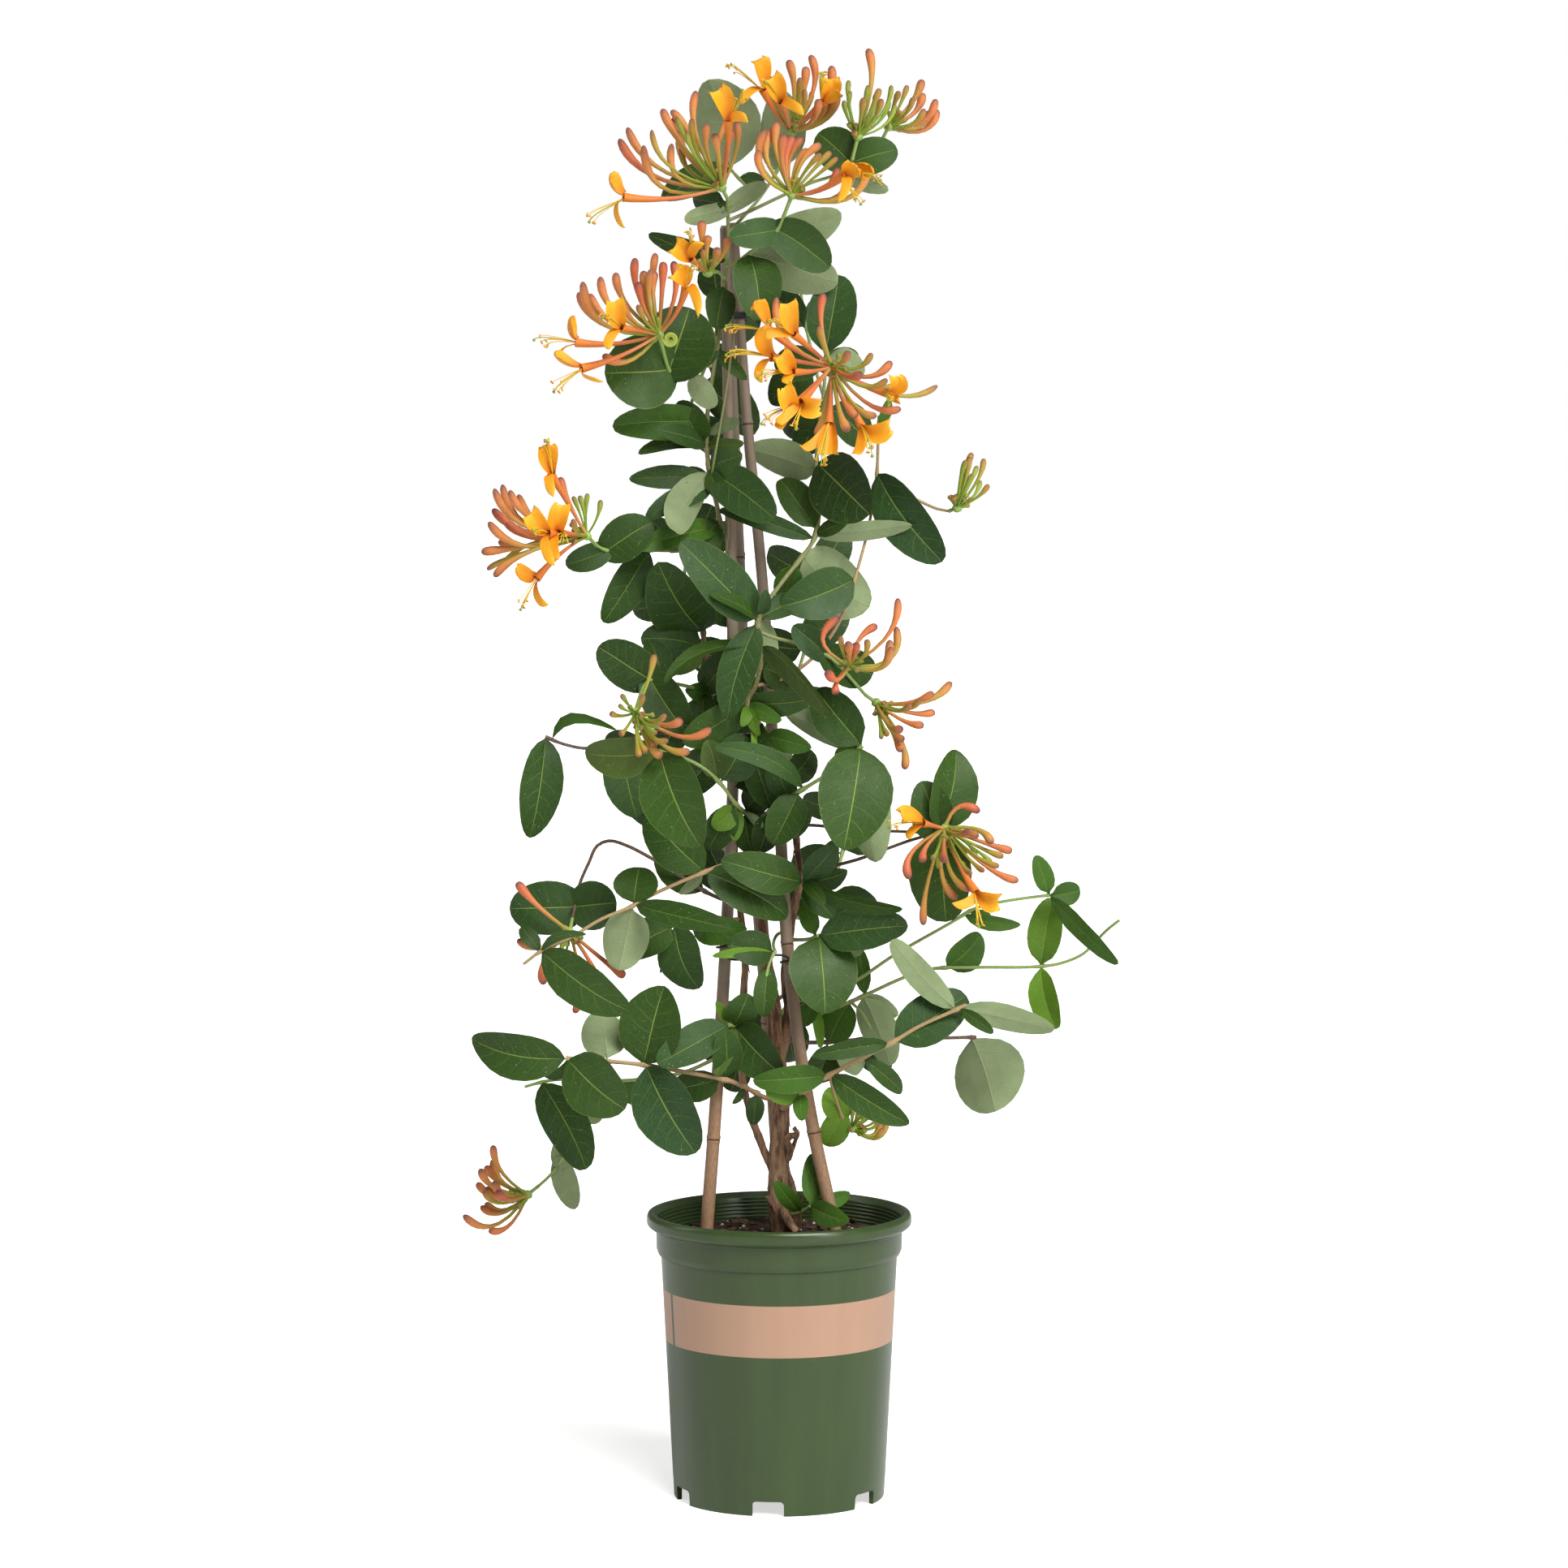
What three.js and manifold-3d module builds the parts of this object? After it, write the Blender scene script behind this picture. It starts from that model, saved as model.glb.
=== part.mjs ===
// Honeysuckle vine in a nursery pot, trained up three bamboo canes.
//
// Units are millimetres with +Z up. The origin is the middle of the pot's foot, and the plant's best side
// faces -Y. Every mesh is one closed solid: the pot, its soil, the canes and their ties, the trunk, one mesh
// for each leafy stem with its leaves, and one for each flower head.
//
// The free forms of the plant are laid out on a front elevation, as a gardener's sketch would have them: a
// point is [across, down, depth], where across and down are squares of the elevation sheet and depth is the
// distance in millimetres behind the pot's middle. place() turns such a point into millimetres.
import * as THREE from 'three';
import { mergeVertices } from 'three/addons/utils/BufferGeometryUtils.js';
import Module from 'manifold-3d';

const wasm = await Module();
wasm.setup();

// ---------------------------------------------------------------- driving dimensions

const SHEET = { eyeAcross: 3.09, eyeBack: 3100, eyeHeight: 690.6, pitch: 0.0762, focal: 6071.8, middle: 966 };

const POT = {
  height: 181.9,
  footRadius: 67.0,
  footHeight: 10.0,
  footWall: 3.2,
  wallTopRadius: 75.05,
  collarFoot: 154.9,
  collarRadius: 78.1,
  collarTop: 170.8,
  lipRadius: 84.0,
  lipDepth: 8.6,
  lipInset: 4.6,
  wall: 1.9,
  floor: 2.2,
  notches: 6,
  notchTurn: -96,
  notchWide: 21,
  notchTall: 9.4,
  drain: { inner: 54, outer: 63.5, wide: 13 },
  sides: 30,
};
const SOIL = { top: 165, crown: 2, sides: 24 };
const CANE = { buriedTo: 112, footRadius: 4.25, topRadius: 3.05, joint: 2.5, jointProud: 0.5, sides: 6 };
const TRUNK = { buriedTo: 104, sides: [6, 4] };
const TIE = {
  wire: 0.85,
  reach: 5.6,
  rightAt: [970, 1160, -24],
  leftAt: [893, 1192, -24],
  topAt: [903, 390, 4],
  topThick: 1.3,
  topTall: 6,
};
const GAP = 0.3;
const SLIVER = 0.2;
const LEAF = { thickness: 0.8, arch: 0.07, cup: 0.1, stations: [0.24, 0.72], flatUnder: 54 };
const BUD = {
  root: 0.95,
  waist: 1.15,
  straightUnder: 0.07,
  sides: 3,
  girth: { green: 1.35, lime: 1.65, orange: 2.1, rose: 2.2 },
};
const BLOOM = { core: 4.2, stalk: 1.3, tube: [1.0, 2.1], lipWide: [30, 16], lipArch: 0.16, throat: 0.06 };

const COLOUR = {
  pot: { color: 0x3f5a30, roughness: 0.45, metalness: 0 },
  soil: { color: 0x2c211a, roughness: 1.0, metalness: 0 },
  bamboo: { color: 0xc39a6a, roughness: 0.6, metalness: 0 },
  wire: { color: 0x24211f, roughness: 0.5, metalness: 0.2 },
  bark: { color: 0x6d5443, roughness: 0.95, metalness: 0 },
  leaf: { color: 0x3d6130, roughness: 0.5, metalness: 0 },
  flower: { color: 0xe0853f, roughness: 0.55, metalness: 0 },
};

// ---------------------------------------------------------------- the elevation sheet

const FACING = new THREE.Vector3(0, 1, 0);

/** Point in millimetres for a place on the elevation sheet. */
function place([across, down, depth]) {
  const rightward = (across - SHEET.middle) / SHEET.focal;
  const upward = (SHEET.middle - down) / SHEET.focal;
  const ahead = Math.cos(SHEET.pitch) + upward * Math.sin(SHEET.pitch);
  const rise = upward * Math.cos(SHEET.pitch) - Math.sin(SHEET.pitch);
  const reach = (depth + SHEET.eyeBack) / ahead;
  return new THREE.Vector3(SHEET.eyeAcross + rightward * reach, depth, SHEET.eyeHeight + rise * reach);
}

/** Millimetres in one sheet square at a depth. */
function squareAt(depth) {
  return (depth + SHEET.eyeBack) / SHEET.focal;
}

// ---------------------------------------------------------------- solids

/** Manifold solid of a closed three.js geometry, turned face out if it came inside out. */
function solidOf(geometry) {
  const bare = geometry.index ? geometry.toNonIndexed() : geometry.clone();
  bare.deleteAttribute('normal');
  bare.deleteAttribute('uv');
  const merged = mergeVertices(bare, 1e-4);
  const at = merged.attributes.position.array;
  const corners = [];
  for (let i = 0; i < merged.index.count; i += 3) {
    const [a, b, c] = [0, 1, 2].map((k) => merged.index.getX(i + k));
    if (a !== b && b !== c && c !== a) corners.push(a, b, c);
  }
  if (signedVolume(at, corners) < 0) corners.reverse();
  return new wasm.Manifold(
    new wasm.Mesh({ numProp: 3, vertProperties: new Float32Array(at), triVerts: new Uint32Array(corners) }),
  );
}

/** Six times the volume inside indexed triangles, negative where their faces point inwards. */
function signedVolume(at, corners) {
  const [a, b, c] = [new THREE.Vector3(), new THREE.Vector3(), new THREE.Vector3()];
  let total = 0;
  for (let i = 0; i < corners.length; i += 3) {
    a.fromArray(at, corners[i] * 3);
    b.fromArray(at, corners[i + 1] * 3);
    c.fromArray(at, corners[i + 2] * 3);
    total += a.dot(b.cross(c));
  }
  return total;
}

/** One solid from many that meet. */
function fuse(solids) {
  return solids.reduce((whole, next) => whole.add(next));
}

/** Geometry of a manifold solid. */
function geometryOf(solid) {
  const mesh = solid.getMesh();
  const geometry = new THREE.BufferGeometry();
  geometry.setAttribute('position', new THREE.BufferAttribute(mesh.vertProperties, 3));
  geometry.setIndex(new THREE.BufferAttribute(mesh.triVerts, 1));
  geometry.computeVertexNormals();
  return geometry;
}

/** Rod through points, with a ring at each; a ring of no radius draws the rod to a point there. */
function rod(points, radii, sides) {
  let across = new THREE.Vector3(0.02, 0.03, 1).normalize();
  const first = points[1].clone().sub(points[0]).normalize();
  if (Math.abs(first.dot(across)) > 0.9) across = new THREE.Vector3(1, 0.02, 0.03).normalize();
  const rings = points.map((centre, i) => {
    const [before, after] = [points[Math.max(i - 1, 0)], points[Math.min(i + 1, points.length - 1)]];
    const along = after.clone().sub(before).normalize();
    across = across.clone().addScaledVector(along, -across.dot(along)).normalize();
    if (radii[i] === 0) return [centre];
    return Array.from({ length: sides }, (_, k) => across.clone()
      .applyAxisAngle(along, (k * 2 * Math.PI) / sides).multiplyScalar(radii[i]).add(centre));
  });
  return ringSolid(rings);
}

/** Closed solid that runs through rings of points. */
function ringSolid(rings) {
  const corners = [];
  rings.slice(1).forEach((upper, i) => {
    const lower = rings[i];
    const count = Math.max(lower.length, upper.length);
    for (let k = 0; k < count; k += 1) {
      const next = (k + 1) % count;
      if (lower.length > 1) corners.push(lower[k], lower[next], upper[upper.length > 1 ? next : 0]);
      if (upper.length > 1) corners.push(lower[lower.length > 1 ? k : 0], upper[next], upper[k]);
    }
  });
  const [start, end] = [rings[0], rings[rings.length - 1]];
  for (let k = 1; k + 1 < start.length; k += 1) corners.push(start[0], start[k + 1], start[k]);
  for (let k = 1; k + 1 < end.length; k += 1) corners.push(end[0], end[k], end[k + 1]);
  return solidOf(new THREE.BufferGeometry().setFromPoints(corners));
}

/** Radii that change evenly from one end of a route to the other. */
function taper([from, to], count, extra = 0) {
  return Array.from({ length: count }, (_, i) => extra + from + ((to - from) * i) / (count - 1));
}

/** Nearest point to a place on a set of routes. */
function nearestOn(routes, point) {
  const line = new THREE.Line3();
  let best = null;
  routes.forEach((route) => route.slice(1).forEach((end, i) => {
    const near = line.set(route[i], end).closestPointToPoint(point, true, new THREE.Vector3());
    if (!best || near.distanceTo(point) < best.distanceTo(point)) best = near;
  }));
  return best;
}

// ---------------------------------------------------------------- pot, soil, canes and ties

/** Inner radius of the pot's wall at a height. */
function potInside(height) {
  const slope = (POT.wallTopRadius - POT.footRadius) / POT.collarFoot;
  return POT.footRadius + slope * Math.min(height, POT.collarFoot) - POT.wall;
}

/** Turned shell with a raised floor, a collar and a rolled lip. */
function potShell() {
  const { height, footHeight: floorAt, lipRadius, lipDepth, wall } = POT;
  const outline = [
    [0, floorAt - POT.floor],
    [POT.footRadius - POT.footWall, floorAt - POT.floor],
    [POT.footRadius - POT.footWall, 0],
    [POT.footRadius, 0],
    [POT.wallTopRadius, POT.collarFoot],
    [POT.collarRadius, POT.collarFoot + 6],
    [POT.collarRadius, POT.collarTop],
    [lipRadius - 1.2, height - lipDepth],
    [lipRadius, height - lipDepth + 2],
    [lipRadius, height - 2],
    [lipRadius - 1.4, height],
    [lipRadius - POT.lipInset, height],
    [POT.collarRadius - wall, height - 4],
    [POT.collarRadius - wall, POT.collarFoot + 6],
    [POT.wallTopRadius - wall, POT.collarFoot - 2],
    [potInside(floorAt), floorAt],
    [0, floorAt],
  ];
  return solidOf(new THREE.LatheGeometry(outline.map(([r, z]) => new THREE.Vector2(r, z)), POT.sides))
    .rotate([90, 0, 0]);
}

/** Cutter for one notch through the foot and the drain that opens behind it in the floor. */
function notchCutter(turn) {
  const half = POT.notchWide / 2;
  const shape = new THREE.Shape();
  shape.moveTo(-half, -1);
  shape.lineTo(half, -1);
  shape.lineTo(half - 1, POT.notchTall - 2.5);
  shape.lineTo(half - 3.5, POT.notchTall);
  shape.lineTo(3.5 - half, POT.notchTall);
  shape.lineTo(1 - half, POT.notchTall - 2.5);
  const notch = new THREE.ExtrudeGeometry(shape, { depth: 10, bevelEnabled: false }).rotateX(Math.PI / 2);
  const { inner, outer, wide } = POT.drain;
  const drain = new THREE.BoxGeometry(wide, outer - inner, 8);
  return solidOf(notch.rotateZ(Math.PI).translate(0, 62, 0))
    .add(solidOf(drain.translate(0, (inner + outer) / 2, POT.footHeight + 0.2 - 4)))
    .rotate([0, 0, turn - 90]);
}

/** The pot with its foot notches. */
function pot() {
  let shell = potShell();
  for (let i = 0; i < POT.notches; i += 1) {
    shell = shell.subtract(notchCutter(POT.notchTurn + (i * 360) / POT.notches));
  }
  return shell;
}

/** Route of sheet points, carried straight on downwards to a height in the soil. */
function planted(points, bottom) {
  const route = points.map(place);
  const [first, second] = route;
  const foot = first.clone().lerp(second, (bottom - first.z) / (second.z - first.z));
  return [foot, ...route];
}

/** Potting soil that fills the pot, with a plain hole for each rod that stands in it. */
function soil(holes) {
  const wall = potInside(POT.collarFoot) - 0.7;
  const outline = [
    [0, POT.footHeight + GAP],
    [potInside(POT.footHeight) - 0.4, POT.footHeight + GAP],
    [wall, POT.collarFoot - 4],
    [wall, SOIL.top - 2],
    [58, SOIL.top],
    [0, SOIL.top + SOIL.crown],
  ];
  const fill = solidOf(new THREE.LatheGeometry(outline.map(([r, z]) => new THREE.Vector2(r, z)), SOIL.sides))
    .rotate([90, 0, 0]);
  return holes.reduce((left, next) => left.subtract(next), fill);
}

/** Bamboo cane with its joint rings; grown by a gap it is the hole that the cane stands in. */
function cane(route, extra = 0) {
  const points = [];
  const radii = [];
  route.forEach((point, i) => {
    const radius = extra + CANE.footRadius + ((CANE.topRadius - CANE.footRadius) * i) / (route.length - 1);
    if (i % 2 === 1 || i === 0 || i === route.length - 1) {
      points.push(point);
      radii.push(radius);
      return;
    }
    const along = route[i + 1].clone().sub(route[i - 1]).normalize();
    [-CANE.joint, 0, CANE.joint].forEach((step) => points.push(point.clone().addScaledVector(along, step)));
    radii.push(radius, radius + CANE.jointProud, radius);
  });
  return rod(points, radii, CANE.sides);
}

/** Points of a turn of wire round a cane, clockwise from its front. */
function woundRound(route, down, turns, drop) {
  const start = place(down);
  const steps = Math.round(Math.abs(turns) * 6);
  return Array.from({ length: steps + 1 }, (_, i) => {
    const level = start.clone().setZ(start.z - (drop * i) / steps);
    const axis = nearestOn([route], level);
    const angle = -Math.PI / 2 - (2 * Math.PI * turns * i) / steps;
    return axis.clone().add(new THREE.Vector3(TIE.reach * Math.cos(angle), TIE.reach * Math.sin(angle), 0));
  });
}

/** Wire wound on the right cane, carried across and looped once round the left cane. */
function lowerTie(left, right) {
  const wound = woundRound(right, TIE.rightAt, 2, 9);
  const looped = woundRound(left, TIE.leftAt, 0.84, 5);
  const wire = [...wound, ...looped];
  return rod(wire, taper([TIE.wire, TIE.wire], wire.length), 4);
}

/** Outline drawn tight round a set of discs, as a string would lie. */
function stringRound(centres, radius) {
  return Array.from({ length: 16 }, (_, i) => {
    const way = new THREE.Vector2(Math.cos((i * Math.PI) / 8), Math.sin((i * Math.PI) / 8));
    const far = centres.reduce((best, next) => (next.dot(way) > best.dot(way) ? next : best));
    return far.clone().addScaledVector(way, radius);
  });
}

/** Dark band that binds the canes near their tops. */
function topTie(routes) {
  const level = place(TIE.topAt);
  const centres = routes.map((route) => nearestOn([route], level)).map(({ x, y }) => new THREE.Vector2(x, y));
  const inside = CANE.topRadius + 0.15 + GAP;
  const outline = new THREE.Shape(stringRound(centres, inside + TIE.topThick));
  outline.holes.push(new THREE.Path(stringRound(centres, inside)));
  const band = new THREE.ExtrudeGeometry(outline, { depth: TIE.topTall, bevelEnabled: false });
  return solidOf(band.translate(0, 0, level.z - TIE.topTall / 2));
}

// ---------------------------------------------------------------- leaves, stems and flowers

/** Half width of a blade at a station, as a share of its widest half. */
function bladeShare(station, joined) {
  if (joined) return Math.sqrt(1 - ((station - 0.35) / 0.7) ** 2);
  return Math.sin(Math.PI * station ** 0.85) ** 0.6;
}

/**
 * One leaf or lip: a thin bowed and arched blade, drawn to a point at its tip, whose two faces are split into
 * triangles alike. A joined leaf is wide at its base, where it grows together with its opposite; any other is
 * drawn to a point in its stem. Narrow blades are flat across, wide ones are cupped along a midrib.
 */
function blade({ from, tip, wide, roll = 0, bow = 0, arch = LEAF.arch, joined = false }) {
  const to = place(tip);
  const length = from.distanceTo(to);
  const along = to.clone().sub(from).normalize();
  const flat = FACING.clone().cross(along).normalize();
  const side = flat.clone().applyAxisAngle(along, THREE.MathUtils.degToRad(roll));
  const up = side.clone().cross(along);
  const facing = Math.max(0.3, Math.abs(Math.cos(THREE.MathUtils.degToRad(roll))));
  const half = (wide * squareAt(tip[2])) / 2 / facing;
  const columns = wide < LEAF.flatUnder ? [-1, 1] : [-1, 0, 1];
  const rowAt = (t) => {
    const swell = 4 * t * (1 - t) * length;
    const middle = from.clone().addScaledVector(along, t * length)
      .addScaledVector(flat, bow * swell).addScaledVector(up, arch * swell);
    if (t === 1 || (t === 0 && !joined)) return [middle];
    const reach = half * bladeShare(t, joined);
    return columns.map((k) => middle.clone().addScaledVector(side, k * reach)
      .addScaledVector(up, Math.abs(k) * LEAF.cup * reach));
  };
  const stations = joined ? [0, 0.6, 1] : [0, ...LEAF.stations, 1];
  return sheetSolid(stations.map(rowAt), up, LEAF.thickness);
}

/** Closed solid of rows of points, each row of one point or of as many as the rest, with a thickness. */
function sheetSolid(rows, up, thick) {
  const faces = [];
  const rim = [[], []];
  rows.slice(1).forEach((upper, i) => {
    const lower = rows[i];
    const count = Math.max(lower.length, upper.length);
    const [low, high] = [lower, upper].map((row) => (k) => row[row.length > 1 ? k : 0]);
    for (let k = 0; k + 1 < count; k += 1) {
      if (lower.length > 1) faces.push([low(k), low(k + 1), high(k + 1)]);
      if (upper.length > 1) faces.push([low(k), high(k + 1), high(k)]);
    }
  });
  rows.forEach((row) => {
    rim[0].push(row[row.length - 1]);
    if (row.length > 1) rim[1].unshift(row[0]);
  });
  const [start, end] = [rows[0], rows[rows.length - 1]];
  const outline = [...start.slice(1, -1), ...rim[0], ...end.slice(1, -1).reverse(), ...rim[1]];
  const raise = (p, lift) => p.clone().addScaledVector(up, lift * thick);
  const corners = [];
  faces.forEach(([a, b, c]) => {
    corners.push(raise(a, 0.5), raise(b, 0.5), raise(c, 0.5), raise(a, -0.5), raise(c, -0.5), raise(b, -0.5));
  });
  outline.forEach((a, i) => {
    const b = outline[(i + 1) % outline.length];
    corners.push(raise(a, 0.5), raise(a, -0.5), raise(b, -0.5), raise(a, 0.5), raise(b, -0.5), raise(b, 0.5));
  });
  return solidOf(new THREE.BufferGeometry().setFromPoints(corners));
}

/** Points at stations on the way from one point to another, bowed to its right by a share of its length. */
function bowed(from, to, bend, stations) {
  const right = FACING.clone().cross(to.clone().sub(from));
  const control = from.clone().lerp(to, 0.5).addScaledVector(right, 2 * bend);
  const curve = new THREE.QuadraticBezierCurve3(from, control, to);
  return stations.map((t) => curve.getPoint(t));
}

/** Club-shaped bud from the middle of its head to its tip, with a waist where it is bent. */
function bud(hub, [across, down, depth, bend, stage]) {
  const bent = Math.abs(bend) > BUD.straightUnder;
  const points = bowed(hub, place([across, down, depth]), bend, bent ? [0, 0.5, 0.88, 1] : [0, 0.88, 1]);
  const girths = [BUD.root, BUD.waist, BUD.girth[stage], 0];
  return rod(points, bent ? girths : girths.toSpliced(1, 1), BUD.sides);
}

/** Open flower: a flaring tube and two curling lips that spring from just inside its mouth. */
function openFlower(hub, { mouth, bend = 0, lips }) {
  const tube = rod(bowed(hub, place(mouth), bend, [0, 1]), BLOOM.tube, BUD.sides);
  const throat = place(mouth).lerp(hub, BLOOM.throat);
  const petals = lips.map((tip, i) => blade({
    from: throat,
    tip,
    wide: BLOOM.lipWide[i],
    arch: BLOOM.lipArch,
    joined: true,
  }));
  return fuse([tube, ...petals]);
}

/** Everything that grows: solids by name, with the stems that later pieces spring from. */
const grown = new Map();

/** Stem routes in millimetres, each begun on the stem that carries it. */
function stemRoutes(stems, carrier) {
  const routes = [];
  stems.forEach(({ route, side }) => {
    const points = route.map(place);
    if (side) points[0] = nearestOn(routes, points[0]);
    else if (carrier) points[0] = nearestOn(carrier.routes, points[0]);
    routes.push(points);
  });
  return routes;
}

/** Rods of a set of stems; grown by a gap they are the ground that pieces springing from them keep clear. */
function stemRods(routes, stems, extra = 0) {
  return routes.map((route, i) => {
    const { thick, sides = 3 } = stems[i];
    return rod(route, taper(thick, route.length, extra / Math.cos(Math.PI / sides)), sides);
  });
}

/** Ground kept clear round a set of stems and their ends. */
function clearanceOf(routes, stems) {
  const ends = routes.map((route, i) => {
    const cap = new THREE.IcosahedronGeometry(stems[i].thick[1] + 1.4 * GAP, 0);
    return solidOf(cap.translate(...route[route.length - 1].toArray()));
  });
  return fuse([...stemRods(routes, stems, GAP), ...ends]);
}

/** Largest piece of a solid, with the slivers along its joins smoothed out: scraps left by a cut go. */
function withoutScraps(solid) {
  const [first, ...rest] = solid.decompose();
  const largest = rest.reduce((best, next) => (next.volume() > best.volume() ? next : best), first);
  return largest.asOriginal().simplify(SLIVER);
}

/** Leafy stem: its stems and leaves fused, cut back from the stem that carries it. */
function growSpray(name, { from, stems, leaves }) {
  const carrier = grown.get(from);
  const routes = stemRoutes(stems, carrier);
  const blades = leaves.map((each) => blade({ ...each, from: nearestOn(routes, place(each.base)) }));
  const whole = fuse([...stemRods(routes, stems), ...blades]);
  const solid = withoutScraps(whole.subtract(carrier.clearance));
  grown.set(name, { solid, routes, clearance: clearanceOf(routes, stems), colour: COLOUR.leaf });
}

/** Flower head: stalk, core, buds and open flowers fused, cut back from the stem that carries it. */
function growHead(name, { from, stalk, hub, buds, open = [] }) {
  const carrier = grown.get(from);
  const heart = place(hub);
  const route = [nearestOn(carrier.routes, place(stalk[0])), ...stalk.slice(1).map(place), heart];
  const core = new THREE.OctahedronGeometry(BLOOM.core, 0).translate(...heart.toArray());
  const whole = fuse([
    rod(route, taper([BLOOM.stalk, BLOOM.stalk], route.length), 3),
    solidOf(core),
    ...buds.map((each) => bud(heart, each)),
    ...open.map((each) => openFlower(heart, each)),
  ]);
  const solid = withoutScraps(whole.subtract(carrier.clearance));
  grown.set(name, { solid, routes: [route], colour: COLOUR.flower });
}

const leaf = (base, tip, wide, options = {}) => ({ base, tip, wide, ...options });
const stem = (thick, route, options = {}) => ({ thick, route, ...options });
const JOINED = { joined: true };

// ---------------------------------------------------------------- the plant: trunk

const CANES = {
  cane_left: planted([[871, 1510, -32], [884, 1330, -28], [893, 1185, -24], [902, 1000, -20], [904, 900, -18],
    [901, 700, -13], [897, 500, -8], [893, 281, -4]], CANE.buriedTo),
  cane_right: planted([[1022, 1485, -35], [1003, 1396, -32], [985, 1290, -28], [970, 1163, -24],
    [961, 1020, -20],
    [952, 910, -17], [940, 724, -11], [921, 523, -5], [903, 275, 3]], CANE.buriedTo),
  cane_back: planted([[963, 1500, 50], [946, 1260, 42], [925, 1000, 34], [911, 686, 24], [894, 278, 11]],
    CANE.buriedTo),
};

const TRUNK_STEMS = [
  stem([8.6, 5.2], [[970, 1530, -2], [968, 1500, -3], [963, 1465, -3], [960, 1430, -2], [962, 1390, 0],
    [960, 1340, 2], [957, 1290, 4]], { sides: TRUNK.sides[0] }),
  stem([2.5, 1.8], [[958, 1456, -2], [940, 1415, 2], [920, 1355, 5], [911, 1290, 8],
    [918, 1190, 10], [912, 1120, 10], [905, 1060, 8], [907, 1000, 8], [884, 860, 6],
    [868, 800, 2]], { sides: TRUNK.sides[1] }),
  stem([5.0, 2.4], [[957, 1296, 4], [952, 1230, 6], [944, 1185, 7], [934, 1090, 8],
    [926, 1040, 7], [929, 1000, 6], [915, 920, 5], [902, 893, 5]], { sides: TRUNK.sides[1] }),
  stem([3.8, 2.0], [[959, 1310, 3], [972, 1255, 6], [968, 1200, 8], [974, 1140, 8], [985, 1085, 4],
    [981, 1035, -3], [976, 1000, -14]], { sides: TRUNK.sides[1] }),
  stem([2.0, 1.1], [[971, 1428, -3], [979, 1408, -6], [984, 1395, -8]]),
];

/** Trunk with its woody stems and the root that stands in the soil. */
function growTrunk() {
  const routes = stemRoutes(TRUNK_STEMS);
  const [foot, above] = routes[0];
  const root = [foot.clone().setZ(TRUNK.buriedTo), foot, above];
  const reach = TRUNK_STEMS[0].thick[0];
  const rootRod = (extra) => rod(root, taper([reach, reach], 3, extra), TRUNK.sides[0]);
  grown.set('trunk', {
    solid: fuse([rootRod(0), ...stemRods(routes, TRUNK_STEMS)]),
    routes,
    clearance: clearanceOf(routes, TRUNK_STEMS),
    hole: rootRod(1.4 * GAP),
    colour: COLOUR.bark,
  });
}

growTrunk();

// ---------------------------------------------------------------- the plant: leafy stems

growSpray('climber_left', {
  from: 'trunk',
  stems: [stem([1.8, 1.3], [[868, 800, 2], [866, 760, 0], [872, 720, -4], [884, 680, -6], [886, 640, -8],
    [876, 590, -12], [870, 540, -14], [874, 490, -14], [882, 440, -14], [889, 390, -17], [893, 345, -18],
    [897, 300, -20], [897, 265, -23], [897, 246, -26]])],
  leaves: [
    leaf([871, 518, -14], [758, 525, -35], 45),
    leaf([872, 545, -14], [836, 496, -24], 34),
    leaf([870, 548, -14], [816, 527, -48], 22, { roll: 45 }),
    leaf([870, 552, -14], [788, 553, -30], 18, { roll: 50 }),
    leaf([873, 520, -14], [910, 518, -32], 14),
    leaf([875, 592, -12], [775, 590, -22], 30),
    leaf([876, 600, -12], [797, 635, -36], 30),
    leaf([877, 585, -12], [827, 659, -56], 42, { roll: 180 }),
    leaf([884, 650, -8], [790, 672, -48], 32),
    leaf([878, 580, -13], [955, 640, -48], 60),
    leaf([892, 322, -19], [799, 290, -30], 26),
    leaf([893, 352, -18], [884, 404, -32], 38),
    leaf([897, 256, -24], [840, 272, -30], 32, JOINED),
    leaf([897, 256, -24], [945, 226, -20], 28, JOINED),
  ],
});

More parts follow.
